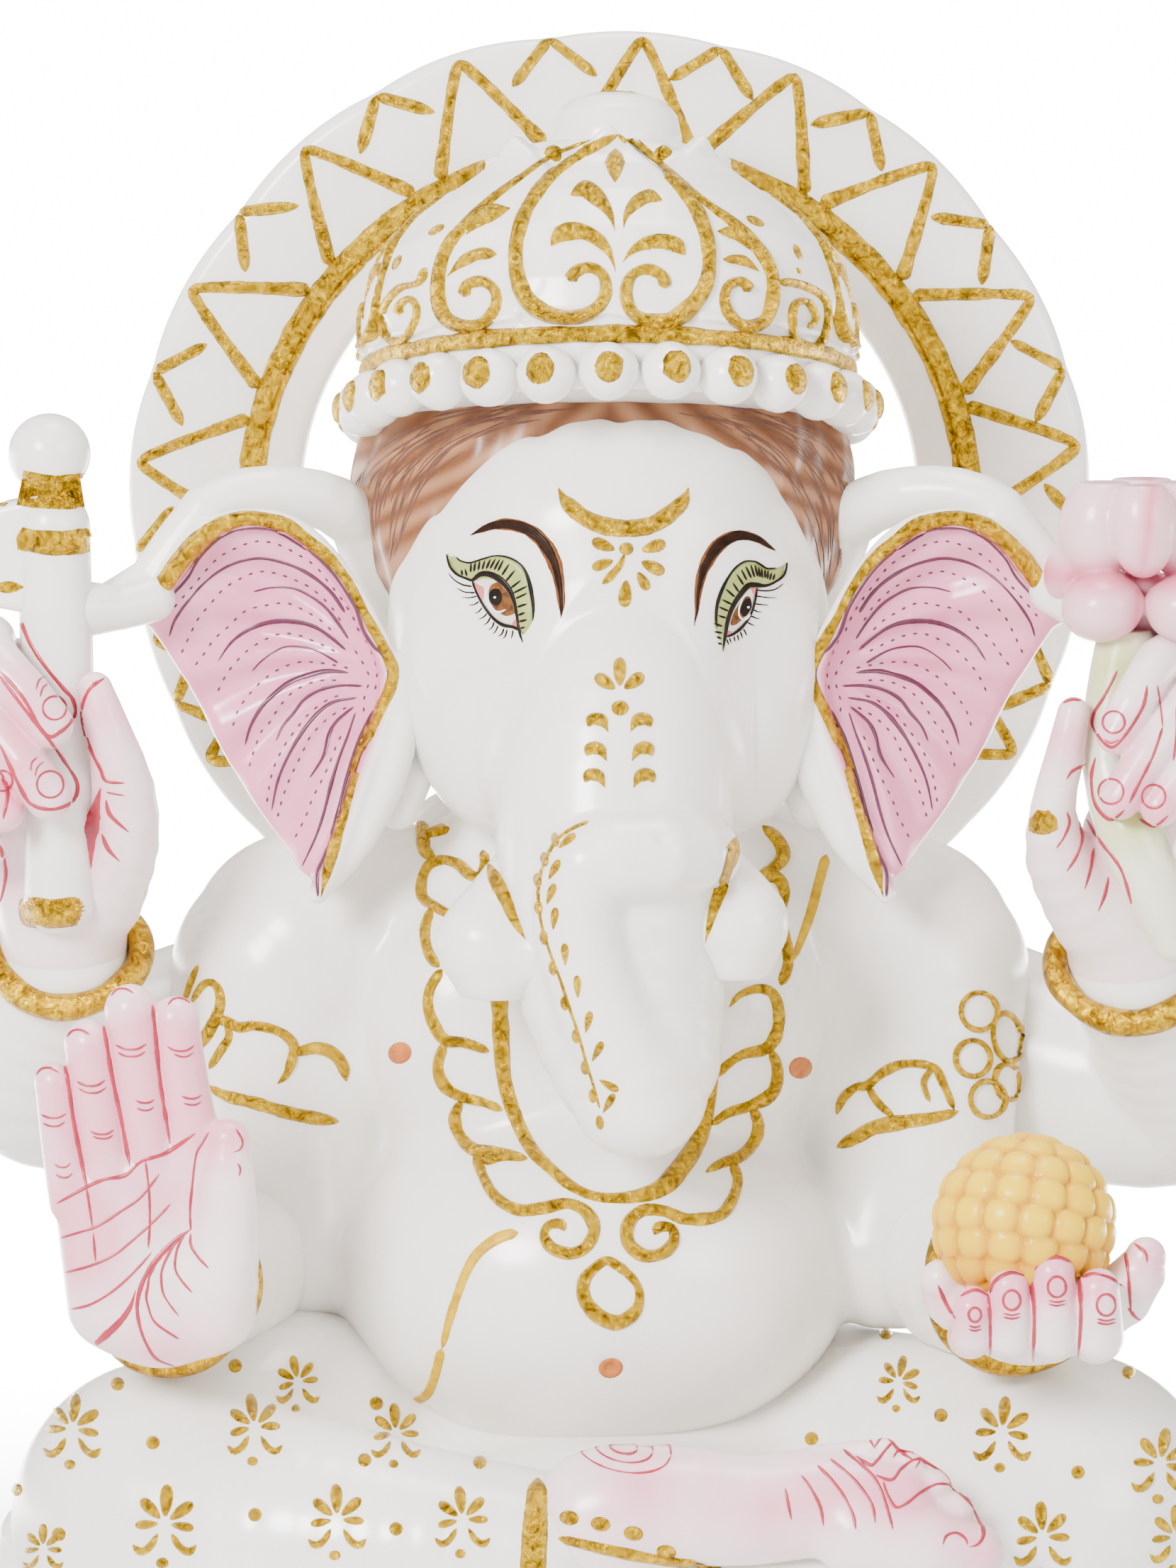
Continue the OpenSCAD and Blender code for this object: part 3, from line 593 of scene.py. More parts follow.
eye_light = paint("eye_light", (0.88, 0.88, 0.88), (0.82, 0.82, 0.82), 0.2)
umber = paint("umber", (0.16, 0.05, 0.012), (0.07, 0.022, 0.007), 0.5, 420, 0.1)
dark_umber = paint("dark_umber", (0.022, 0.009, 0.005), (0.008, 0.004, 0.002), 0.45, 420, 0.06)
terracotta = paint("terracotta", (0.50, 0.16, 0.035), (0.34, 0.09, 0.02), 0.5, shine=0.2)
strand_brown = paint("strand_brown", (0.12, 0.036, 0.015), (0.075, 0.022, 0.009), 0.5)

ROSE = np.array([0.80, 0.20, 0.34])
PALE_ROSE = np.array([0.86, 0.52, 0.62])


def wash(points, colour, amount):
    """A paint layer: the colour at each point, and how strongly it covers the stone."""
    layer = np.ones((len(points), 4))
    layer[:, :3] = colour
    layer[:, 3] = np.clip(amount, 0, 1)
    return layer


def near(points, spot, reach):
    """1 at a spot, fading to 0 at reach."""
    gap = np.linalg.norm(points - np.array(spot), axis=1)
    return np.clip(1 - gap / reach, 0, 1)


# ------------------------------------------------------------------ head, trunk, tusks, hair


def make_head():
    clay = Clay((-66, -118, 164), (66, 42, 372), 0.95)
    clay.egg((-1, -15, 309), (54.5, 49, 50), 0)
    clay.egg((2, -28, 330), (41, 36, 30), 14)
    for x in (-28, 30):
        clay.egg((x, -26, 287), (24, 31, 36), 16)
    clay.egg((1, -28, 272), (37, 33, 27), 12)
    clay.limb([(3, -34, 322, 20), (3, -42, 304, 27), (2, -52, 280, 30), (1, -60, 258, 30),
               (1, -65, 238, 29), (3, -69, 216, 26), (6, -73, 200, 22), (7, -77, 191, 17.5)], 10)
    clay.limb([(8, -79, 190, 15), (6, -84, 198, 13.5), (-1, -88, 212, 12.5), (-6.5, -90.5, 228, 11.5),
               (-8, -91, 240, 11.5), (-5, -92, 249, 11.3), (2, -92, 251, 11.3), (12, -90, 251.5, 11),
               (19, -84, 251, 10.5), (24, -76, 250, 9)], 2.5)
    clay.limb([(15, -103, 231, 10), (18, -104, 216, 9), (21.5, -103, 203, 6), (23, -100, 194, 3.5)], 2,
              "carve")
    clay.egg((-42, -60, 306), (15, 10, 14), 9, "carve", (0, 0, -30))
    clay.egg((47, -60, 304), (15, 10, 14), 9, "carve", (0, 0, 30))
    clay.egg((13, -101, 257), (1.7, 2.6, 1.7), 1.2, "carve")
    return carve("head_and_trunk", clay, marble, ["head_and_trunk"])


def make_tusks():
    """Two short, wide, blunt stumps."""
    for name, root, tip, end in (("tusk_left", (-19, -60, 240, 13), (-31, -71, 227, 12), (-29, -71, 220)),
                                 ("tusk_right", (20, -60, 244, 13), (32, -71, 232, 12), (31, -71, 225))):
        clay = Clay(np.minimum(root[:3], tip[:3]) - 20, np.maximum(root[:3], tip[:3]) + 20, 0.7)
        clay.limb([root, tip, (*end, 10.5)], 0)
        clay.rod((*tip[:3], 11), (tip[0] * 0.5, -77, tip[2] - 2, 9), 5)
        clay.flat_cut(2, end[2] - 6.5, keep_above=True)
        carve(name, clay, marble, [name])


def hair_wash(points):
    streak = np.sin(np.abs(points[:, 0]) * 0.55 + points[:, 2] * 0.8 + 2 * np.sin(points[:, 2] * 0.13))
    tone = 0.5 + 0.5 * streak
    warm = np.array([0.15, 0.055, 0.022])
    pale = np.array([0.31, 0.125, 0.045])
    return wash(points, warm + tone[:, None] * (pale - warm), 1 - 0.05 * tone)


def make_hair():
    clay = Clay((-70, -56, 262), (68, 54, 392), 1.1)
    clay.egg((-1.5, 0, 334), (64.5, 50, 60), 0)
    clay.egg((-1, 8, 296), (50, 36, 40), 14)

    def locks(x, y, z):
        turn = np.arctan2(x, -y)
        wave = 0.8 * np.sin(z * 0.16 + 2.0 * np.cos(turn * 3))
        return 0.75 * np.sin(turn * 15 + wave) + 0.3 * np.sin(turn * 34 - z * 0.16 + wave) + 0 * x

    clay.work((-70, -56, 262), (68, 54, 392), locks, 0, "raise")
    return carve("hair", clay, enamelled, ["hair"], hair_wash)


# ------------------------------------------------------------------ ears

EAR_CREST = [(-127.5, 308), (-117.5, 309.5), (-110.5, 318), (-102.5, 328), (-91.5, 331.5), (-79.5, 329),
             (-69.5, 319.5), (-61.5, 306), (-56, 293), (-57.5, 280), (-62.5, 266), (-68.5, 249), (-74, 236)]
EAR_FREE = [(-80, 240), (-88.5, 252), (-98.5, 267), (-109, 288), (-118, 302), (-126, 306)]
EAR_ROLL = [(-62, -8, 326, 7.5), (-70, -17, 333, 7.5), (-80, -23, 336.5, 7), (-92, -27, 337, 6.5),
            (-103, -30, 333, 6.2), (-110, -32, 325, 5.6), (-117, -34, 316, 5), (-126, -36, 311, 4.6)]
EAR_STRIP = [(-52, -36, 294, 4), (-52.5, -36, 280, 4.5), (-57, -35, 264, 5), (-64, -35, 249, 4.2),
             (-71, -36, 239, 2.6)]
EAR_HINGE = (-56.0, 293.0)
RIGHT_EAR_SHIFT = -4.0  # the right ear sits this much nearer the middle than a mirror image would


def ear_front(x, z):
    """How far back the ear's pink inside lies, as Y."""
    crest = line_distance(EAR_CREST, x, z)
    bowl = 13 * (1 - np.exp(-crest / 13))
    reach = np.hypot(x - EAR_HINGE[0], z - EAR_HINGE[1])
    turn = np.degrees(np.arctan2(z - EAR_HINGE[1], -(x - EAR_HINGE[0])))
    fold = 1.5 * np.sin(np.radians((turn + reach * 0.35) * 16.5)) * np.clip((reach - 6) / 26, 0, 1)
    return -39 + bowl + fold * np.clip(crest / 9, 0, 1)


def ear_wash(points):
    x = points[:, 0]
    z = points[:, 2]
    outline = EAR_CREST + EAR_FREE
    inside = -edge_distance(outline, x, z)
    front = points[:, 1] < ear_front(x, z) + 2.6
    amount = np.clip((inside + 0.8) / 2.2, 0, 1) * front
    reach = np.hypot(x - EAR_HINGE[0], z - EAR_HINGE[1])
    deep = np.clip(1.1 - reach / 60, 0, 1)
    pale = np.array([0.77, 0.29, 0.43])
    rich = np.array([0.64, 0.15, 0.30])
    blush = 0.5 + 0.5 * np.sin(x * 0.21 + z * 0.17)
    return wash(points, pale + (0.55 * deep + 0.3 * blush)[:, None] * (rich - pale), 0.97 * amount)


def make_ear(name, flip):
    clay = Clay((-136, -52, 226), (-44, 8, 350), 0.75)

    def leaf(x, y, z):
        flat = edge_distance(EAR_CREST + EAR_FREE, x, z)
        front = ear_front(x, z)
        thick = 3.4 + 1.6 * np.exp(-np.hypot(x - EAR_HINGE[0], z - EAR_HINGE[1]) / 30)
        slab = np.abs(y - front - thick) - thick
        both = soft_min(-slab, -np.broadcast_to(flat + 1.5, slab.shape), 4)
        return -both

    clay.work((-134, -50, 228), (-46, 4, 348), leaf, 0, "add")
    clay.limb(EAR_ROLL, 3)
    clay.limb(EAR_STRIP, 3)
    crest = flow([(*p,) for p in EAR_CREST], 4)
    clay.limb([(x, -38.5, z, 2.6) for x, z in crest], 2.5, spacing=5)
    clay.limb([(-60, -4, 322, 9), (-54, -6, 306, 9), (-50, -12, 286, 9), (-48, -20, 270, 8)], 6)
    points, quads = clay.harden()
    colours = ear_wash(points)
    if flip:
        points = points * (-1, 1, 1) + (RIGHT_EAR_SHIFT, 0, 0)
        quads = quads[:, ::-1]
    solid[name] = BVHTree.FromPolygons(points.tolist(), quads.tolist())
    return piece(name, points, quads, washed, [name], colours)


def make_lobes():
    """The small drop under each ear's root."""
    for name, x in (("ear_drop_left", -52), ("ear_drop_right", 49.5)):
        clay = Clay((x - 12, -40, 244), (x + 12, -10, 282), 0.7)
        clay.limb([(x + (2 if x < 0 else -2), -22, 274, 7), (x, -26, 264, 6.6),
                   (x - (2 if x < 0 else -2), -27, 257, 6)], 0)
        carve(name, clay, marble)


# ------------------------------------------------------------------ crown

CROWN_TURN = np.array(Matrix.Rotation(math.radians(-13), 3, "X"))
CROWN_AT = np.array([-0.5, -12.0, 357.0])
DOME_LOW = [(0, -3), (55, -3), (59, 2), (61, 5), (62, 9), (62, 13), (60.5, 15), (60.5, 24), (56, 37)]
DOME = DOME_LOW + [(46, 46.5), (34, 53), (28.5, 56), (29, 58), (30, 63), (28, 65.5), (0, 66)]
LEAN = DOME_LOW + [(47.5, 47), (38.5, 55), (34.5, 60), (35.5, 66), (35, 71), (0, 73)]
FINIAL = [(0, 60), (15.5, 60), (16.8, 66), (17, 70), (15.8, 76), (12.5, 79.5), (7.5, 81), (0, 81.4)]
TIER_RING, TIER_HIGH, TIER_BALL, TIER_PEARLS = 29.5, 60.0, 4.4, 14
SHIELD = [(0, 68), (6, 62), (13, 56), (21, 48), (26, 39), (27.5, 31), (25.5, 21), (19, 13.8), (9, 12.8),
          (0, 14.5)]


def crown_place(points):
    return points @ CROWN_TURN.T + CROWN_AT


def make_crown():
    clay = Clay((-68, -68, -4), (68, 68, 88), 0.85)

    def dome(x, y, z):
        return edge_distance(DOME, np.sqrt(x * x + y * y), z)

    clay.work((-66, -66, -4), (66, 66, 76), dome, 0, "add")
    x, y, z = (clay.axes[0][:, None, None], clay.axes[1][None, :, None], clay.axes[2][None, None, :])
    round_way = np.degrees(np.arctan2(x, -y))
    shell = 2.8 - np.abs(edge_distance(LEAN, np.sqrt(x * x + y * y), z) + 0.2)
    for middle, wide, high in ((0, 1.0, 1.0), (41, 1.1, 0.97), (-41, 1.1, 0.97), (90, 0.8, 0.8),
                               (-90, 0.8, 0.8),
                               (135, 0.8, 0.8), (-135, 0.8, 0.8), (180, 0.9, 0.9)):
        half = [(u * wide, (h - 15) * high + 15) for u, h in SHIELD]
        outline = half + [(-u, h) for u, h in half[::-1][1:-1]]
        away = (round_way - middle + 180) % 360 - 180
        across = np.radians(away) * np.sqrt(x * x + y * y)
        flat = edge_distance(outline, across, z + 0 * across)
        plate = -soft_min(shell, -flat, 1.6)
        shape = plate.astype(np.float32)
        shape = np.where(np.abs(away) < 60, shape, 40).astype(np.float32)
        clay.field = soft_min(clay.field, shape, 1.2)
    for i in range(TIER_PEARLS):
        a = 2 * math.pi * i / TIER_PEARLS
        clay.egg((TIER_RING * math.sin(a), -TIER_RING * math.cos(a), TIER_HIGH), (TIER_BALL,) * 3, 2)
    clay.work((-18, -20, 58), (22, 20, 88), lambda x, y,
              z: edge_distance(FINIAL, np.sqrt((x - 2) ** 2 + y * y), z), 1.5,
              "add")
    points, quads = clay.harden()
    points = crown_place(points)
    solid["crown_dome"] = BVHTree.FromPolygons(points.tolist(), quads.tolist())
    return piece("crown_dome", points, quads, marble,
                 ["crown_dome", "crown_shields", "crown_tier_pearls", "crown_finial"])


def ball_mesh(radius, rings=14, sides=22, lumps=0.0, seed=0):
    """A ball with a slightly hand-cut surface: points and faces."""
    local = np.random.default_rng(seed)
    wave = local.normal(0, 1, (4, 3))
    points, faces = [(0, 0, 1.0)], []
    for i in range(1, rings):
        t = math.pi * i / rings
        for j in range(sides):
            a = 2 * math.pi * j / sides
            points.append((math.sin(t) * math.cos(a), math.sin(t) * math.sin(a), math.cos(t)))
    points.append((0, 0, -1.0))
    p = np.array(points)
    p = p * (1 + lumps * np.sin(p @ wave.T * 2.5).mean(1))[:, None] * radius
    faces += [(0, 1 + j, 1 + (j + 1) % sides) for j in range(sides)]
    for i in range(rings - 2):
        a, b = 1 + i * sides, 1 + (i + 1) * sides
        faces += [(a + j, b + j, b + (j + 1) % sides, a + (j + 1) % sides) for j in range(sides)]
    last = len(p) - 1
    a = 1 + (rings - 2) * sides
    faces += [(a + j, last, a + (j + 1) % sides) for j in range(sides)]
    return p, faces


BRIM_PEARLS = 25


def make_brim_pearls():
    pile = Pile()
    for i in range(BRIM_PEARLS):
        a = 2 * math.pi * i / BRIM_PEARLS
        p, faces = ball_mesh(7.6, lumps=0.05, seed=i)
        p = p * (1, 1, 0.97) + (62.3 * math.sin(a), -62.3 * math.cos(a), 0.4 * math.sin(5 * a))
        pile.add(crown_place(p), faces)
    obj = pile.piece("crown_brim_pearls", marble, "marble", ["crown_brim_pearls"])
    solid["pearls"] = BVHTree.FromPolygons(np.vstack(pile.points).tolist(), pile.faces)
    return obj


# ------------------------------------------------------------------ halo

HALO_MIDDLE = (0.0, 325.5)
HALO_FRONT, HALO_BACK = 57.0, 70.0
RAYS = [-31, -12, 8, 27, 47, 67, 86, 108.5, 130, 152, 174, 196, 212]


def make_halo():
    """A ring of stone. Its outer edge is cut a little flat between the rays."""
    around = 520
    start, end = -52.0, 232.0
    points = []
    angles = np.linspace(start, end, around)
    for deg in angles:
        nearest = min(RAYS, key=lambda r: abs(r - deg))
        outer = 125.6 - 0.010 * min((deg - nearest) ** 2, 100) + 0.4 * math.sin(math.radians(deg * 7))
        inner = 80.5 + 0.4 * math.sin(math.radians(deg * 5))
        a = math.radians(deg)
        ring = []
        for radius, y in ((inner, HALO_BACK), (inner - 0.2, HALO_FRONT + 3), (inner + 0.8, HALO_FRONT + 1),
                          (inner + 3, HALO_FRONT),
                          (outer - 3.2, HALO_FRONT), (outer - 1, HALO_FRONT + 0.8), (outer, HALO_FRONT + 3),
                          (outer - 0.5, HALO_BACK)):
            ring.append((HALO_MIDDLE[0] + radius * math.cos(a), y, HALO_MIDDLE[1] + radius * math.sin(a)))
        points += ring
    k = 8
    faces = [(i * k + j, i * k + (j + 1) % k, (i + 1) * k + (j + 1) % k, (i + 1) * k + j)
             for i in range(around - 1) for j in range(k)]
    faces += [[*range(k)][::-1], [(around - 1) * k + j for j in range(k)]]
    obj = piece("halo_ring", points, faces, marble, ["halo_ring"])
    solid["halo_ring"] = BVHTree.FromPolygons(points, faces)
    return obj


# ------------------------------------------------------------------ body


def make_halo_bridge():
    """The stone between the halo and the figure: a web behind the crown, a block behind the shoulders."""
    clay = Clay((-64, 14, 214), (64, 64, 420), 1.2)
    clay.limb([(0, 28, 396, 8), (0, 58, 398, 8)], 0)
    clay.rod((-38, 34, 240, 14), (38, 34, 240, 14), 3)
    clay.rod((-42, 48, 244, 9), (42, 48, 244, 9), 4)
    return carve("halo_bridge", clay, marble, ["halo_bridge"])


def make_torso():
    clay = Clay((-128, -74, 84), (118, 54, 272), 1.15)
    clay.egg((-4.5, -14, 135), (66, 53, 47), 0)
    clay.egg((-4, 4, 190), (58, 42, 60), 12)
    clay.egg((-34, -14, 202), (29, 26, 32), 10)
    clay.egg((27, -14, 202), (29, 26, 32), 10)
    clay.egg((0, 6, 232), (56, 34, 28), 14)
    clay.limb([(0, 8, 236, 36), (0, 0, 262, 34)], 12)
    clay.limb([(-44, 8, 222, 26), (-78, 8, 216, 31), (-88, 2, 196, 25), (-90, -2, 168, 22),
               (-92, -4, 142, 22)], 5)
    clay.limb([(40, 8, 222, 26), (74, 8, 215, 31), (82, 0, 196, 24), (82, -4, 168, 22), (84, -6, 142, 22)],
              5)
    for side in (-1, 1):
        clay.limb([(side * 66 - 4, 4, 196, 20), (side * 74 - 4, -2, 168, 19), (side * 74 - 4, -8, 140, 20)],
                  5)
    clay.egg((0, -66, 118), (2.6, 4, 2.2), 2.5, "carve")
    return carve("torso", clay, marble, ["torso", "neck_collar"])


def make_back_arms():
    """The two raised arms, from behind the shoulders up to the bangles."""
    for name, p in (("axe_arm", [(-74, 24, 206, 26), (-102, 24, 192, 26), (-130, 16, 184, 27),
                                 (-148, 2, 188, 25), (-145, -16, 203, 20), (-139, -28, 216, 17)]),
                    ("lotus_arm", [(70, 24, 204, 26), (100, 24, 190, 26), (130, 16, 181, 27),
                                   (150, 4, 184, 26), (142, -16, 200, 20), (133, -28, 213, 17)])):
        q = np.array(p)
        clay = Clay(q[:, :3].min(0) - 32, q[:, :3].max(0) + 32, 1.1)
        clay.limb(p, 0)
        clay.flat_cut(1, -100)
        carve(name, clay, marble, [name])


def make_front_arms():
    for name, p in (("blessing_arm", [(-92, -2, 146, 21), (-98, -22, 138, 21), (-107, -46, 138, 18.5),
                                      (-113, -66, 140, 17)]),
                    ("sweet_arm", [(84, -4, 146, 21), (91, -24, 137, 21), (99, -46, 137, 18.5),
                                   (104, -66, 138, 17)])):
        q = np.array(p)
        clay = Clay(q[:, :3].min(0) - 26, q[:, :3].max(0) + 26, 1.0)
        clay.limb(p, 0)
        carve(name, clay, marble, [name])


# ------------------------------------------------------------------ hands


def hand_wash(spots):
    """Rose paint, strongest at the given (x, y, z, reach) spots."""
    def colours(points):
        blush = sum(near(points, s[:3], s[3]) for s in spots)
        blush = np.clip(blush, 0, 1)
        colour = PALE_ROSE + blush[:, None] * (ROSE - PALE_ROSE)
        return wash(points, colour, 0.28 + 0.50 * blush)
    return colours


def make_blessing_hand():
    clay = Clay((-152, -104, 112), (-80, -52, 224), 0.62)
    for a, b in (((-131, -84, 166, 8.6), (-124, -82, 138, 12.5)), ((-119, -84.5, 170, 9),
                                                                   (-113, -82, 136, 14)),
                 ((-107, -84.5, 176, 8.6), (-103, -82, 138, 13))):
        clay.rod(a, b, 6)
    for finger in ([(-139.2, -87.5, 193.6, 4.7), (-137.4, -87, 180, 5.2), (-134.6, -86, 164, 6)],
                   [(-130.5, -88.5, 203.4, 5.9), (-128, -88, 186, 6), (-124.8, -86.5, 168, 6.4)],
                   [(-119.8, -89.5, 212, 6.4), (-117.6, -88.5, 194, 6.3), (-114.6, -87, 172, 6.5)],
                   [(-108.6, -88.5, 209.4, 5.9), (-106.6, -88, 194, 6.2), (-103.6, -87, 176, 6.8)]):
        clay.limb(finger, 1.1)
        tip = finger[0]
        clay.egg((tip[0], tip[1], tip[2] + 1), (tip[3] * 0.98, tip[3] * 0.9, tip[3] * 0.95), 1)
    clay.limb([(-95.4, -91, 180, 5.4), (-96, -91, 167, 7.4), (-97.2, -89, 151, 9.4),
               (-101, -84, 137, 12.5)], 2.2)
    clay.limb([(-112, -64, 140, 15.5), (-113, -76, 137, 15)], 6)
    return carve("blessing_hand", clay, washed, ["blessing_hand"],
                 hand_wash([(-135, -95, 186, 26), (-120, -95, 200, 30), (-107, -95, 196, 26),
                            (-130, -96, 160, 24), (-108, -96, 168, 18), (-112, -96, 124, 26),
                            (-138, -95, 150, 22), (-95, -98, 184, 14)]))


def make_sweet_hand():
    clay = Clay((72, -122, 112), (146, -54, 166), 0.62)
    clay.egg((106, -84, 137), (24, 22, 13), 0)
    clay.limb([(104, -62, 139, 16), (105, -76, 137, 15)], 8)
    for x, top, r in ((90, 146, 4.6), (99.2, 150.8, 5.3), (110.2, 154.4, 5.7), (121.4, 150.4, 5.8)):
        clay.limb([(x, -94, 131, r + 1.2), (x, -103, 133, r + 0.6), (x, -107.5, 140, r),
                   (x, -107, top - r, r * 0.93)], 1.1)
    clay.limb([(84, -86, 140, 6), (82.5, -92, 145, 5)], 5)
    clay.limb([(120, -82, 137, 10), (128, -86, 140, 8), (132.5, -88, 146, 6.6), (134, -88, 150, 5.2)], 3)
    return carve("sweet_hand", clay, washed, ["sweet_hand"],
                 hand_wash([(90, -112, 142, 13), (99, -112, 146, 14), (110, -112, 150, 14),
                            (121, -112, 147, 15), (136, -94, 150, 14), (84, -100, 136, 16)]))


def make_axe_hand():
    clay = Clay((-176, -82, 204), (-104, -14, 312), 0.7)
    clay.limb([(-139, -27, 217, 16.5), (-140, -34, 234, 16), (-145, -38, 254, 15.5), (-151, -40, 274, 13),
               (-153, -42, 292, 10)], 0)
    clay.limb([(-129.6, -58, 290, 4.4), (-126, -58, 278, 6), (-122.8, -54, 264, 8), (-124, -47, 250, 10),
               (-131, -38, 236, 13)], 4)
    for finger in ([(-157, -46, 301, 7), (-155, -61, 298, 6.5), (-146.5, -68, 289.5, 6.2),
                    (-140.5, -69, 282, 6)],
                   [(-159, -46, 286, 7.2), (-156, -62, 282, 6.6), (-147.5, -68.5, 272.5, 6.2),
                    (-141, -69, 264, 6)],
                   [(-163, -46, 272, 7), (-162, -60, 270, 6.2), (-156, -65.5, 264.5, 5.8),
                    (-152.5, -66, 260, 5.4)],
                   [(-163, -44, 258, 6.5), (-162, -57, 256, 5.5), (-157, -61, 250, 5)]):
        clay.limb(finger, 1.0)
    return carve("axe_hand", clay, washed, ["axe_hand"],
                 hand_wash([(-150, -72, 290, 22), (-148, -74, 268, 22), (-128, -60, 284, 18),
                            (-130, -62, 262, 15), (-132, -52, 248, 14), (-160, -64, 262, 18),
                            (-160, -50, 240, 20)]))


def make_lotus_hand():
    clay = Clay((100, -82, 200), (168, -14, 312), 0.7)
    clay.limb([(133, -27, 213, 16.5), (132, -34, 230, 15.5), (134, -38, 250, 14.5), (141, -40, 268, 12.5),
               (145, -42, 284, 9.5)], 0)
    clay.limb([(116.6, -58, 284, 4.1), (114.2, -58, 272, 5), (111.6, -55, 259, 5.8), (114, -48, 246, 9),
               (124, -38, 232, 13)], 4)
    for finger in ([(143, -44, 297, 6.4), (138, -57, 297, 5.8), (131, -65.5, 287, 5.3),
                    (127, -67, 279.5, 5.2)],
                   [(149, -44, 287, 7), (144.5, -59, 286, 6.2), (135, -67.5, 274, 5.6),
                    (128, -69, 263.5, 5.4)],
                   [(153, -44, 277, 7), (150.5, -59, 277, 6), (143, -67, 268, 5.5),
                    (138, -68.5, 261.5, 5.2)],
                   [(154, -44, 264, 6.5), (153, -57, 262, 5.4), (148.5, -63, 255, 5),
                    (146, -64, 250, 4.6)]):
        clay.limb(finger, 1.0)
    return carve("lotus_hand", clay, washed, ["lotus_hand"],
                 hand_wash([(128, -72, 278, 14), (128, -74, 262, 14), (140, -74, 262, 14),
                            (114, -60, 278, 14), (124, -56, 250, 16), (140, -50, 240, 16),
                            (150, -60, 285, 16)]))


# ------------------------------------------------------------------ what the hands hold


def make_axe():
    clay = Clay((-158, -64, 218), (-122, -32, 364), 0.75)
    clay.limb([(-139.4, -50, 236, 8.8), (-139.4, -49, 262, 9.2), (-139.6, -48, 292, 9.2),
               (-140.6, -46, 330, 9.4)], 0)
    clay.egg((-139.4, -50, 234), (8.6, 8.6, 6), 2)
    clay.egg((-141.4, -46, 348.5), (10.4, 10.2, 10.2), 2)
    carve("axe_shaft", clay, marble, ["axe_shaft"])

    clay = Clay((-192, -56, 292), (-128, -36, 352), 0.75)
    outline = [(-138, 336), (-150, 337), (-160, 334), (-170, 338), (-180, 346), (-186, 336), (-188.5, 322),
               (-186, 308), (-180, 298), (-170, 306), (-160, 310), (-150, 309), (-138, 308)]

    def blade(x, y, z):
        flat = edge_distance([tuple(p) for p in flow(outline, 3, True)], x, z)
        thin = 2.2 + 4.2 * np.clip((x + 188) / 40, 0, 1)
        return -soft_min(thin - np.abs(y + 46), -flat, 2.5)

    clay.work((-190, -54, 296), (-136, -38, 348), blade, 0, "add")
    carve("axe_blade", clay, marble, ["axe_blade"])

    clay = Clay((-142, -60, 292), (-110, -26, 326), 0.9)
    clay.limb([(-134, -45, 309, 7.5), (-124, -42, 309, 5.6), (-116, -38, 311, 6)], 0)
    carve("axe_to_ear_web", clay, marble)

    clay = Clay((106, -62, 296), (132, -26, 326), 0.9)
    clay.limb([(126, -46, 309, 8), (118, -42, 310, 6), (112, -38, 313, 6)], 0)
    carve("lotus_to_ear_web", clay, marble)


def lotus_wash(points):
    low = np.clip((316 - points[:, 2]) / 22, 0, 1)
    crease = np.exp(-np.abs(points[:, 0] - 133.5 - 0.12 * (points[:, 2] - 320)) / 3.0)
    band = np.exp(-((points[:, 2] - 318) / 4.5) ** 2)
    pale = np.array([0.78, 0.36, 0.46])
    rich = np.array([0.66, 0.12, 0.22])
    strong = np.clip(0.15 + 0.75 * np.maximum(crease, band) + 0.15 * low, 0, 1)
    return wash(points, pale + strong[:, None] * (rich - pale), 0.55 + 0.4 * strong)


def make_lotus():
    clay = Clay((106, -74, 288), (166, -18, 348), 0.75)
    for x, y, z, rx, ry, rz, turn in ((123.5, -48, 330, 10.5, 11, 14.5, 8),
                                      (145.5, -48, 330, 11, 11, 14.5, -8),
                                      (134.5, -36, 331, 12, 10, 13, 0), (134, -58, 331, 8.5, 8, 13, 0),
                                      (124, -54, 310.5, 10.5, 11, 9, -10), (145, -54, 310, 10.5, 11, 9, 10),
                                      (134, -38, 309, 14, 11, 9.5, 0), (115.5, -44, 320, 5.5, 8, 9, 20),
                                      (153.5, -44, 320, 5.5, 8, 9, -20)):
        clay.egg((x, y, z), (rx, ry, rz), 1.3, turn=(0, turn, 0))
    clay.flat_cut(2, 341.5, keep_above=False)
    carve("lotus_bud", clay, washed, ["lotus_bud"], lotus_wash)

    clay = Clay((116, -72, 214), (158, -36, 304), 0.75)
    clay.limb([(130, -48, 300, 7.6), (127, -50, 286, 7.2), (126, -53, 270, 7), (131, -57, 254, 8.4),
               (137, -58, 240, 7.6), (142, -57, 226, 5.4)], 0)
    carve("lotus_stem", clay, washed, ["lotus_stem"],
          lambda p: wash(p, np.array([0.46, 0.52, 0.10]) + 0 * p,
                         0.30 + 0.6 * np.clip(near(p, (126, -58, 296), 14) + near(p, (131, -64, 258), 13),
                                              0, 1)))


SWEET = np.array([103.6, -88.0, 158.0])


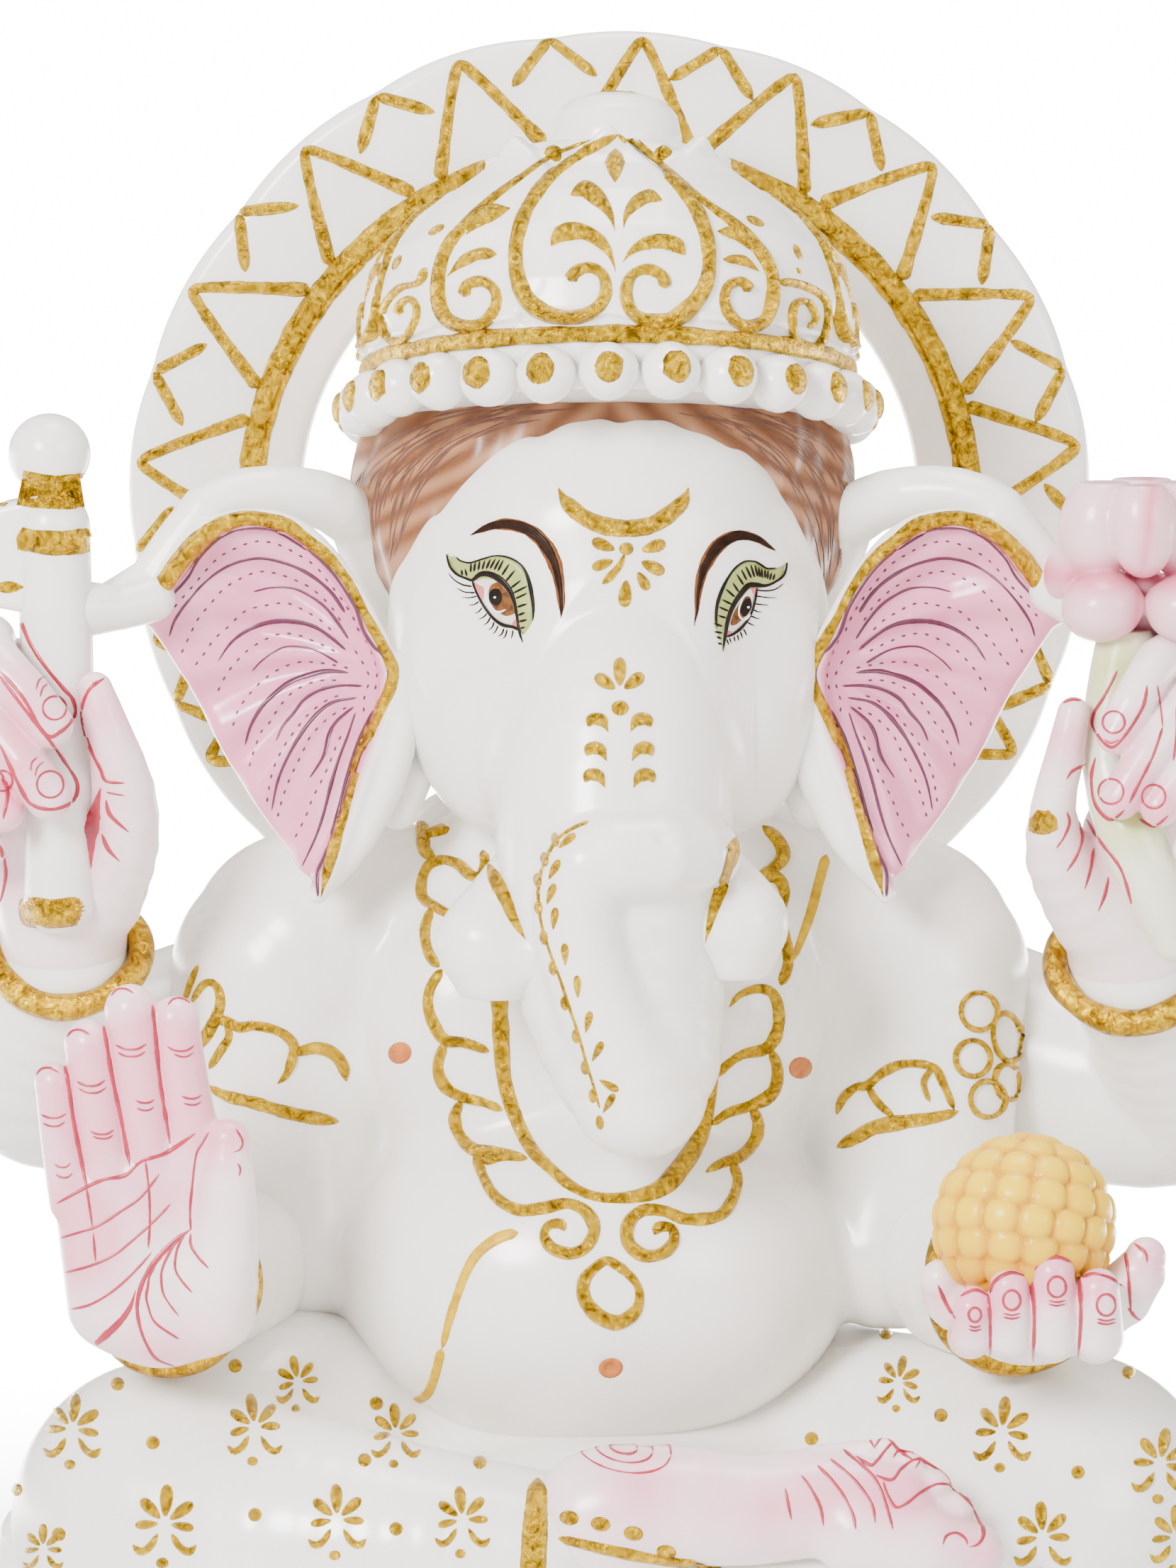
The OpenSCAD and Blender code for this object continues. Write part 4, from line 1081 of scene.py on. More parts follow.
def make_sweet():
    """A ball of rounded grains in rows, with painted shade: darker orange-yellow in the grooves and towards
    the bottom, paler on the grain tops.
    """
    rings, sides, radius = 130, 210, 21.4
    rows = 9
    points, height = [], []
    for i in range(rings + 1):
        lat = math.pi * i / rings
        for j in range(sides):
            lon = 2 * math.pi * j / sides
            row = min(int(lat / math.pi * rows), rows - 1)
            best = 0.0
            for k in (row - 1, row, row + 1):
                if 0 <= k < rows:
                    centre = (k + 0.5) * math.pi / rows
                    count = max(int(round(2 * math.pi * math.sin(centre) * rows / math.pi * 0.84)), 3)
                    slot = 2 * math.pi / count
                    off = (lon / slot + 0.5 * (k % 2)) % 1 - 0.5
                    du = off * slot * math.sin(centre) / (math.pi / rows) / 0.62
                    dv = (lat - centre) / (math.pi / rows) / 0.60
                    best = max(best, 1 - (abs(du) ** 2.6 + abs(dv) ** 2.6))
            lift = 2.0 * max(best, 0) ** 0.55
            r = radius + lift
            height.append(lift / 2.0)
            points.append((r * math.sin(lat) * math.cos(lon), r * math.sin(lat) * math.sin(lon),
                           r * math.cos(lat)))
    p = np.array(points)
    tip = np.array(Matrix.Rotation(math.radians(-12), 3, "X") @ Matrix.Rotation(math.radians(9), 3, "Y"))
    p = p @ tip.T + SWEET
    faces = np.array([(i * sides + j, i * sides + (j + 1) % sides, (i + 1) * sides + (j + 1) % sides,
                       (i + 1) * sides + j)
                      for i in range(rings) for j in range(sides)])
    h = np.array(height)
    # Painted shade: the grooves between the grains and the bottom of the ball are coloured darker, and the
    # grain tops paler.
    low = np.clip((SWEET[2] + 2 - p[:, 2]) / 20, 0, 1)
    groove = np.array([0.62, 0.30, 0.001])
    deep = np.array([0.55, 0.19, 0.001])
    grain = np.array([0.84, 0.55, 0.004])
    base = groove + low[:, None] * (deep - groove)
    colour = base + (np.clip(h * 1.25 - 0.35, 0, 1) * (1 - 0.85 * low))[:, None] * (grain - base)
    piece("sweet", p, faces, enamelled, ["sweet"], wash(p, colour, np.ones(len(p))))


# ------------------------------------------------------------------ bangles


def make_bangle(name, at, turn, radius, wire, node):
    """A thick ring, carved by hand: its edge wanders a little."""
    around, section = 120, 18
    phase = rng.uniform(0, 6, 4)
    points = []
    for i in range(around):
        a = 2 * math.pi * i / around
        thick = wire * (1 + 0.06 * math.sin(3 * a + phase[0]) + 0.05 * math.sin(7 * a + phase[1]))
        middle = radius + 0.25 * math.sin(4 * a + phase[2])
        for k in range(section):
            b = 2 * math.pi * k / section
            r = middle + thick * math.cos(b)
            points.append((r * math.cos(a), r * math.sin(a), 1.08 * thick * math.sin(b) + 0.3
                           * math.sin(3 * a + phase[3])))
    spin = np.array(Matrix.Rotation(math.radians(turn[2]), 3,
                                    "Z") @ Matrix.Rotation(math.radians(turn[1]), 3, "Y")
                    @ Matrix.Rotation(math.radians(turn[0]), 3, "X"))
    p = np.array(points) @ spin.T + np.array(at)
    faces = np.array([(i * section + k, ((i + 1) % around) * section + k, ((i + 1) % around) * section
                       + (k + 1) % section,
                       i * section + (k + 1) % section) for i in range(around) for k in range(section)])
    piece(name, p, faces, old_gilt, [node])


def make_bangles():
    make_bangle("bangle_axe", (-138, -31, 220.5), (44, 0, 0), 18.4, 3.4, "bangle_axe")
    make_bangle("bangle_lotus", (132, -31, 216.5), (44, 0, 0), 18.4, 3.4, "bangle_lotus")
    make_bangle("bangle_blessing", (-111.5, -60, 140), (85, 0, -16), 21.2, 3.3, "bangle_blessing")
    make_bangle("bangle_sweet", (102.5, -60, 140), (85, 0, 16), 21.2, 3.3, "bangle_sweet")


# ------------------------------------------------------------------ feet


def make_feet():
    clay = Clay((-26, -126, 62), (108, -62, 116), 0.75)
    clay.limb([(-4, -92, 84, 16), (14, -94, 88, 15.5), (34, -94, 87, 14), (54, -94, 89, 13.5),
               (70, -94, 88, 12)], 0)
    clay.egg((0, -94, 85), (17, 14, 17), 6)
    clay.limb([(62, -100, 82, 11), (80, -102, 79, 9.5), (91, -102, 77.5, 7.4)], 4)
    for i, (x, z, r) in enumerate(((86, 86.5, 5.2), (80.5, 92.5, 5.0), (74.5, 97, 4.7),
                                   (68.5, 100.5, 4.3))):
        clay.limb([(x - 16, -94 + i, z - 3, r + 1.4), (x, -95 + i, z, r)], 1.4)
    carve("upper_foot", clay, washed, ["upper_foot"],
          hand_wash([(8, -108, 96, 26), (40, -108, 90, 22), (62, -106, 96, 20), (92, -108, 78, 16),
                     (78, -104, 92, 18)]))

    clay = Clay((-104, -124, 34), (24, -72, 74), 0.9)
    clay.limb([(12, -92, 52, 16), (-16, -97, 51, 14), (-50, -99, 49, 12), (-74, -100, 47, 10)], 0)
    clay.limb([(-66, -104, 46, 10), (-90, -105, 45, 8)], 3)
    for i in range(4):
        clay.limb([(-68, -100 + i, 48 + 2 * i, 7), (-88 + 4 * i, -100 + i, 50 + 3.4 * i, 4.8)], 1.4)
    clay.flat_cut(2, 35.5)
    carve("lower_foot", clay, washed, ["lower_foot"],
          hand_wash([(-90, -108, 48, 24)]))


# ------------------------------------------------------------------ legs and plinth


def make_lap():
    clay = Clay((-160, -118, 34), (160, 62, 128), 1.25)
    clay.egg((0, 10, 84), (104, 52, 38), 0)
    clay.limb([(-44, 14, 80, 38), (-80, -18, 80, 39), (-112, -43, 77, 40)], 10)
    clay.limb([(40, 14, 80, 38), (80, -16, 80, 39), (115, -41, 78, 41)], 10)
    clay.limb([(-112, -46, 74, 36), (-82, -66, 74, 33), (-50, -80, 74, 27), (-20, -88, 74, 22)], 8)
    clay.limb([(112, -46, 70, 34), (80, -66, 62, 30), (46, -78, 56, 25), (20, -84, 54, 22)], 8)
    clay.egg((0, -40, 64), (70, 44, 34), 10)
    clay.egg((-82, -20, 112), (26, 22, 15), 14)
    clay.flat_cut(2, 35.5)
    return carve("lap_dhoti", clay, marble, ["lap_dhoti"])


def rounded_slab(name, w, d, z0, z1, corner, soft, nodes):
    """A slab with rounded corners and softened top and bottom edges."""
    loop = []
    for cx, cy, a0 in ((1, 1, 0), (-1, 1, 90), (-1, -1, 180), (1, -1, 270)):
        for k in range(13):
            a = math.radians(a0 + 90 * k / 12)
            loop.append((cx * (w / 2 - corner), cy * (d / 2 - corner), math.cos(a), math.sin(a)))
    rows = []
    for k in range(6):
        a = math.pi / 2 * k / 5
        rows.append((corner - soft + soft * math.sin(a), z0 + soft * (1 - math.cos(a))))
    for k in range(6):
        a = math.pi / 2 * k / 5
        rows.append((corner - soft + soft * math.cos(a), z1 - soft * (1 - math.sin(a))))
    points = [(cx + r * ux, cy + r * uy, z) for r, z in rows for cx, cy, ux, uy in loop]
    n = len(loop)
    faces = [(i * n + j, i * n + (j + 1) % n, (i + 1) * n + (j + 1) % n, (i + 1) * n + j)
             for i in range(len(rows) - 1) for j in range(n)]
    faces += [[*range(n)][::-1], [(len(rows) - 1) * n + j for j in range(n)]]
    return piece(name, points, faces, marble, nodes)


def make_plinth():
    rounded_slab("plinth_foot", 344, 216, 0, 13, 14, 2.5, ["plinth"])
    rounded_slab("plinth_neck", 332, 204, 11, 25, 12, 1.0, [])
    rounded_slab("plinth_top", 341, 213, 23, 36, 13, 3.5, [])
    clay = Clay((-164, 68, 34), (164, 100, 64), 1.5)
    clay.rod((-150, 84, 48.5, 12.5), (150, 84, 48.5, 12.5), 0)
    clay.rod((-150, 84, 41, 12.8), (150, 84, 41, 12.8), 2)
    clay.flat_cut(2, 35.5)
    carve("seat_cushion", clay, marble, ["seat_cushion"])


# ------------------------------------------------------------------ raised gold on the crown and halo


def crown_side(middle):
    """A caster for drawing on the crown from one side: mm across from its middle line, mm above its base."""
    def cast(u, h):
        a = math.radians(middle) + u / 58.0
        out = np.array([math.sin(a), -math.cos(a), 0.0])
        start = crown_place(out * 120 + (0, 0, h))
        way = crown_place(np.array([0.0, 0.0, h])) - start
        spot, normal, _, _ = solid["crown_dome"].ray_cast(Vector(start), Vector(way / np.linalg.norm(way)))
        return None if spot is None else (np.array(spot), np.array(normal))
    return cast


def cap(pile, centre, way, radius, spread, lift, seed=0, n=16, rings=4):
    """A dab of gold leaf on the side of a ball."""
    local = np.random.default_rng(seed)
    way = np.array(way) / np.linalg.norm(way)
    side = np.cross(way, (0, 0, 1.0))
    side /= np.linalg.norm(side)
    up = np.cross(side, way)
    ragged = 1 + local.normal(0, 0.05, n)
    points = [centre + way * (radius + lift)]
    for ring in range(1, rings + 2):
        under = ring == rings + 1
        t = min(ring, rings) / rings
        high = radius - 0.3 if under else radius + 0.02 + lift * math.sqrt(max(1 - t**2, 0))
        for j in range(n):
            a = 2 * math.pi * j / n
            tilt = math.radians(spread) * t * ragged[j]
            d = way * math.cos(tilt) + math.sin(tilt) * (side * math.cos(a) + up * 1.12 * math.sin(a))
            points.append(centre + high * d / np.linalg.norm(d))
    faces = [(0, 1 + j, 1 + (j + 1) % n) for j in range(n)]
    for ring in range(rings):
        a, b = 1 + ring * n, 1 + (ring + 1) * n
        faces += [(a + j, b + j, b + (j + 1) % n, a + (j + 1) % n) for j in range(n)]
    faces.append([1 + rings * n + j for j in range(n)][::-1])
    pile.add(points, faces)


SHIELD_LINE = [(0, 66, 2.6), (7, 59.5, 3), (14, 53, 3.2), (20.5, 45, 3.4), (24.2, 37, 3.6), (25.2, 29, 3.8),
               (22.5, 21, 4.2), (16, 16.2, 4), (8.5, 15.8, 3.6), (3, 19.5, 3), (2.6, 25, 2.8),
               (6.5, 28.4, 2.8), (11, 27, 3), (12, 23.4, 4)]
SHIELD_LEAVES = [[(14, 50, 2.4), (8.5, 50.5, 3.6), (4, 46, 3), (1.4, 39, 0.8)], [(19.5, 36, 2.6),
                 (14, 39.5, 3.8), (7, 37, 3), (1.8, 30, 0.8)]]


CROWN_SCROLL_LINES = [
    [(1.9, 427.6, 2.46), (-4.2, 424.5, 2.82), (-11.3, 420.6, 3.17), (-17.4, 414.4, 3.34),
     (-21.8, 407.4, 3.52), (-24, 399.4, 3.7), (-23.6, 391.5, 4.05), (-21, 385.4, 4.58),
     (-15.7, 381.8, 4.4), (-9.5, 381, 4.05), (-4.2, 382.7, 3.7), (-1.2, 386.7, 3.34), (-1.6, 391.5, 2.99),
     (-4.7, 393.7, 2.99), (-8.6, 392.8, 3.17), (-10.4, 390.2, 3.87)],
    [(1.9, 427.6, 2.46), (7.2, 424.1, 2.64), (13.4, 418.8, 2.99), (18.6, 413.5, 3.17), (23, 406.5, 3.52),
     (25.2, 398.6, 3.7), (24.8, 390.6, 4.05), (21.3, 384.5, 4.58), (16, 380.5, 4.4), (9.8, 380.1, 4.05),
     (5.4, 382.7, 3.52), (4.1, 388, 3.17), (5.9, 392, 2.99), (9.8, 393.3, 2.99), (13.4, 391.5, 3.17),
     (14.1, 388.4, 3.7)],
    [(-4.7, 426.3, 0.7), (-14.8, 422.3, 1.23), (-23.6, 416.2, 1.58), (-30.6, 410.9, 2.11),
     (-36.8, 404.7, 2.64), (-41.2, 399.4, 2.99), (-43.4, 393.3, 3.34), (-43.8, 386.2, 4.05),
     (-42.1, 381, 4.4), (-37.7, 378.8, 3.87), (-32.4, 379.6, 3.34), (-29.3, 383.6, 2.99),
     (-29.3, 387.6, 2.82), (-32.4, 390.2, 2.82), (-36.4, 389.3, 2.99), (-37.2, 386.2, 3.7)],
    [(7.2, 426.3, 0.7), (16.9, 417, 1.23), (24.8, 410, 1.58), (31.8, 404.7, 2.29), (37.1, 399.4, 2.99),
     (41.1, 392.4, 3.17), (41.3, 385.4, 3.34), (39.3, 380.1, 3.52), (34.9, 378.8, 3.34), (31, 381, 2.99),
     (29.2, 384.9, 2.64), (30.1, 388.9, 2.46), (33.6, 390.2, 2.64), (35.8, 387.6, 3.34)],
    [(-46.9, 393.7, 2.99), (-48.7, 389.8, 1.58), (-53.5, 388.4, 1.76), (-57.5, 383.6, 1.76),
     (-57.7, 377.4, 2.11), (-54.4, 374.8, 2.29), (-50.9, 377.4, 1.94), (-49.1, 382.7, 1.76),
     (-50.9, 385.8, 1.76), (-53.5, 384, 2.11), (-53.7, 381.4, 2.64)],
    [(42.8, 390.2, 2.11), (49.4, 388.9, 1.76), (54.7, 385.4, 1.58), (55.2, 379.2, 1.58), (53, 373.9, 1.94),
     (48.6, 373.5, 2.11), (46.4, 378.3, 1.76), (46.8, 384, 1.94), (50.3, 384.9, 1.76), (52.3, 380.5, 1.58),
     (50.3, 378.3, 1.94)]
]
CROWN_LEAF_LINES = [
    [(-10, 412.2, 3.17), (-6.4, 413.7, 4.58), (-2.9, 411.3, 4.4), (0, 407.4, 2.99), (1.3, 403, 0.7)],
    [(13.2, 410.9, 2.99), (9.7, 411.9, 3.87), (6.3, 410, 3.7), (4.1, 406.9, 2.64), (3.5, 403.8, 0.7)],
    [(-15, 399.4, 3.17), (-12.2, 402.5, 4.58), (-7.3, 403, 4.22), (-2.9, 400.8, 3.52), (0, 397.2, 2.29),
     (1.5, 392.6, 0.62)],
    [(19.1, 397, 2.99), (16.7, 399.6, 3.87), (12.5, 400.5, 3.87), (8.3, 399.6, 3.34), (5.3, 397.7, 2.29),
     (3.2, 395, 0.62)],
    [(-25.4, 408.9, 1.41), (-29.8, 407.8, 3.7), (-33.3, 405.6, 3.52), (-36.8, 402.1, 1.06)],
    [(-28.9, 397.2, 2.64), (-33.3, 397.2, 3.17), (-37.7, 395, 2.64), (-41.5, 391.5, 0.7)],
    [(27.4, 403, 1.76), (31.8, 402.5, 3.17), (36.2, 399.4, 2.64), (39.8, 395.5, 0.88)],
    [(28.8, 395.9, 1.76), (33.6, 395.5, 2.64), (38, 392.8, 1.23)]
]


def make_crown_gold():
    front = sheet("crown_dome")
    scrolls = Pile()
    for line in CROWN_SCROLL_LINES:
        brush(scrolls, line, 3, 1.9, front, taper=(0.2, 0.05), rough=0.05, across=7)
    for leaf in CROWN_LEAF_LINES:
        brush(scrolls, leaf, 3, 1.6, front, taper=(0.2, 0.5), rough=0.05, across=7)
    patch(scrolls, [(1.5, 424.3), (3.1, 422.8), (3.9, 420.7), (2.8, 417.5), (1.3, 415.3), (-0.3, 417.7),
                    (-1.4, 420.7), (-0.2, 423)], 1.4, front)
    for x, v, turn, size in ((-44.3, 403.4, 30, 2.4), (-54.4, 395, 60, 2.2), (37.1, 405.6, -25, 2.6),
                             (47.9, 397.7, -65, 2.2), (48.2, 392.8, -60, 1.1)):
        patch(scrolls, oval((x, v), size, size * 0.42, turn), 0.5, front)
    for middle in (90, -90, 135, -135, 180):
        side = crown_side(middle)
        for sign in (1, -1):
            for line in [SHIELD_LINE, *SHIELD_LEAVES]:
                small = [(sign * 0.82 * u, 0.8 * h + 3, 0.85 * w) for u, h, w in line]
                brush(scrolls, small, 3, 1.6, side, spacing=1.3, taper=(0.2, 0.2), rough=0.05)
        patch(scrolls, oval((0, 49), 3, 1.8, 90), 1.2, side)
    scrolls.piece("gold_crown_scrolls", gilt, "gilding", ["gold_crown_scrolls"])

    bands = Pile()
    around = 200
    points = []
    for i in range(around):
        a = 2 * math.pi * i / around
        lump = 0.18 * math.sin(9 * a) + 0.14 * math.sin(23 * a + 1) + 0.08 * math.sin(57 * a)
        for r, h in ((61.4, 7.6), (62.5, 7.4), (63.3, 8.2), (63.7, 9.6), (63.5, 11.0), (62.7, 11.8),
                     (61.4, 11.9)):
            rr = r + 0.3 * lump
            points.append((rr * math.sin(a), -rr * math.cos(a), h + lump * (1 if h > 9 else -0.7)))
    faces = [(i * 7 + j, i * 7 + (j + 1) % 7, ((i + 1) % around) * 7 + (j + 1) % 7, ((i + 1) % around) * 7
              + j)
             for i in range(around) for j in range(7)]
    bands.add(crown_place(np.array(points)), faces)
    up = crown_place(np.array([0, 0, 1.0])) - crown_place(np.zeros(3))
    cap(bands, crown_place(np.array([2, 0, -8.8])), up, 90, 4.4, 0.9, seed=77)
    for i in range(TIER_PEARLS):
        a = 2 * math.pi * i / TIER_PEARLS
        out = np.array([math.sin(a), -math.cos(a), 0.0])
        way = crown_place(out + (0, 0, 0.1)) - crown_place(np.zeros(3))
        cap(bands, crown_place(out * TIER_RING + (0, 0, TIER_HIGH)), way, TIER_BALL, 40, 0.4, seed=i)
    bands.piece("gold_crown_bands", gilt, "gilding", ["gold_crown_bands"])

    caps = Pile()
    for i in range(BRIM_PEARLS):
        a = 2 * math.pi * i / BRIM_PEARLS
        out = np.array([math.sin(a), -math.cos(a), 0.0])
        way = crown_place(out + (0, 0, 0.06)) - crown_place(np.zeros(3))
        cap(caps, crown_place(out * 62.3 + (0, 0, 0.4 * math.sin(5 * a))), way, 7.65, 30, 0.55, seed=40 + i)
    caps.piece("gold_pearl_caps", gilt, "gilding", ["gold_pearl_caps"])


def halo_sheet(degrees, radius):
    a = math.radians(degrees)
    return to_sheet((HALO_MIDDLE[0] + radius * math.cos(a), HALO_FRONT, HALO_MIDDLE[1] + radius
                     * math.sin(a)))


def make_halo_gold():
    """A ring, V-shaped rays that stand on it, and a small chevron between each two rays."""
    cast = sheet("halo_ring")
    ring = Pile()
    brush(ring, [halo_sheet(d, 94.5) for d in range(-50, 231, 5)], 5.6, 1.3, cast, rough=0.05, across=7)
    brush(ring, [halo_sheet(d, 91.2) for d in range(-50, 231, 5)], 1.6, 0.8, cast, rough=0.15)
    ring.piece("gold_halo_ring", gilt, "gilding", ["gold_halo_ring"])
    rays = Pile()
    for i, d in enumerate(RAYS):
        for sign in (-1, 1):
            brush(rays, [(*halo_sheet(d, 124), 2.9), (*halo_sheet(d + 2.6 * sign, 115), 2.9),
                         (*halo_sheet(d + 8.6 * sign, 97), 3.8)], 3, 1.2, cast, taper=(0.15, 0.1),
                  rough=0.07)
        if i + 1 < len(RAYS):
            middle = (d + RAYS[i + 1]) / 2
            for sign in (-1, 1):
                brush(rays, [(*halo_sheet(middle, 124.2), 2.8), (*halo_sheet(middle + 5.6 * sign, 113.6),
                                                                 3.3)],
                      3, 1.1, cast, taper=(0.15, 0.25), rough=0.07)
    rays.piece("gold_halo_rays", gilt, "gilding", ["gold_halo_rays"])


# ------------------------------------------------------------------ raised gold on the face and trunk


def dab(pile, x, v, length, width, turn, height, cast, pinch=0.45):
    """A petal-shaped drop of gold: its rounded end lies towards turn."""
    t = math.radians(turn)
    centre = (x + 0.5 * length * math.cos(t), v + 0.5 * length * math.sin(t))
    patch(pile, oval(centre, length / 2, width / 2, turn + 180, pinch=pinch), height, cast, flat=0.3)


VINE_LINE = [
    (-5.4, 252.4, 0.88), (-9.2, 250.8, 0.88), (-13.2, 248, 0.8), (-16.4, 242.8, 0.8), (-18, 237.2, 0.8),
    (-18.2, 231.6, 0.72), (-17.2, 225.2, 0.72), (-15.2, 218.8, 0.72), (-12.8, 212.4, 0.72),
    (-10.4, 205.2, 0.72), (-8, 198, 0.72), (-6, 190.8, 0.72), (-4, 184.4, 0.64), (-2.6, 179.2, 0.56)
]
VINE_LEAVES = [
    (-13.2, 245.6, 40), (-15.6, 237.6, 62), (-16.1, 231.2, 70), (-14.5, 224.8, 84),
    (-11.4, 215.6, 92), (-8.2, 207.4, 92), (-6.2, 198.4, 78), (-4.6, 191.2, 62),
    (-2.8, 186.6, -30), (-1.8, 178, 60)
]


def make_face_gold():
    cast = sheet("head_and_trunk")
    moon = Pile()
    brush(moon, [(-13.2, 337.6, 1.6), (-11.2, 334, 3.6), (-6.6, 330, 4.4), (-1.2, 327.8, 4.8),
                 (4.4, 327.2, 4.8), (10.4, 328, 4.8), (15.4, 331, 4.4), (18.8, 334.4, 3.6),
                 (20, 337.6, 1.6)], 4, 1.3, cast, across=7)
    moon.piece("gold_crescent", gilt, "gilding", ["gold_crescent"])
    brow = Pile()
    patch(brow, oval([(4.2, 322)][0], 1.7, 1.9, 90), 1.3, cast, flat=0.2)
    brush(brow, [(3.8, 320.8, 1.6), (2.4, 317.6, 1.8), (-0.4, 314.4, 2.4), (-2, 313, 2.4)], 2, 0.8, cast)
    for turn, reach, long, wide in ((158, 3.6, 6.4, 4.0), (200, 4.0, 5.8, 3.6), (18, 3.6, 6.6, 4.2),
                                    (-26, 3.8, 6.6, 4.2),
                                    (-60, 5.0, 5.4, 3.6), (-94, 6.4, 7.0, 4.4)):
        t = math.radians(turn)
        dab(brow, 4.6 + reach * math.cos(t), 320.4 + reach * math.sin(t), long, wide, turn, 1.1, cast)
    brow.piece("gold_brow_flower", gilt, "gilding", ["gold_brow_flower"])
    flower = Pile()
    for turn in (90, 146, 36):
        t = math.radians(turn)
        dab(flower, 2.5 + 1.4 * math.cos(t), 285.4 + 1.6 * math.sin(t), 7.4 if turn == 90 else 6.2, 4.4,
            turn, 1.2, cast)
    patch(flower, oval((2.6, 281.4), 2.0, 2.3, 90), 1.1, cast, flat=0.2)
    for row, v in enumerate((277.6, 270.2, 263.4)):
        for sign in (-1, 1):
            x = 2.4 + sign * (3.2 + 0.4 * row)
            brush(flower, [(x + sign * 4.8, v - 1.0, 1.8), (x + sign * 3.6, v + 0.9, 3.4),
                           (x + sign * 1.2, v + 0.5, 3.2),
                           (x - sign * 0.4, v - 2.4, 0.9)], 2, 1.2, cast, spacing=0.5, across=7,
                  taper=(0.1, 0.25))
    flower.piece("gold_trunk_flowers", gilt, "gilding", ["gold_trunk_flowers"])

    vine = Pile()
    brush(vine, VINE_LINE, 1, 0.5, cast, spacing=0.6)
    for x, v, turn in VINE_LEAVES:
        dab(vine, x, v, 5.8, 2.9, turn, 0.9, cast, 0.7)
    for spot in [(-14, 247.8), (-16.7, 242.8), (-18.5, 237.4), (-18.2, 230.4), (-16.9, 222.8), (-14.6, 215),
                 (-11.6, 206), (-8.7, 197.6), (-6.4, 189.6), (-4.4, 182.4), (-2.6, 175.6)]:
        patch(vine, oval(spot, 1.9, 1.1, 97, n=12), 0.7, cast, flat=0.3)
    vine.piece("gold_trunk_vine", gilt, "gilding", ["gold_trunk_vine"])

    bands = Pile()
    brush(bands, [(-31.4, 242.4, 1.6), (-29.2, 237.6, 3.52), (-26.6, 232.4, 3.36), (-24.4, 227.2, 2.72),
                  (-21.4, 222.2, 0.48)], 3, 0.5, sheet("head_and_trunk", "tusk_left"), across=7)
    brush(bands, [(32.4, 248.6, 4), (30.8, 242.8, 4.16), (28.4, 235.6, 3.36), (26.2, 229.2, 2.4),
                  (24.2, 221, 0.32)], 3, 0.5, sheet("head_and_trunk", "tusk_right"), across=7)
    bands.piece("gold_tusk_bands", gilt, "gilding", ["gold_tusk_bands"])


# ------------------------------------------------------------------ the eyes and brows

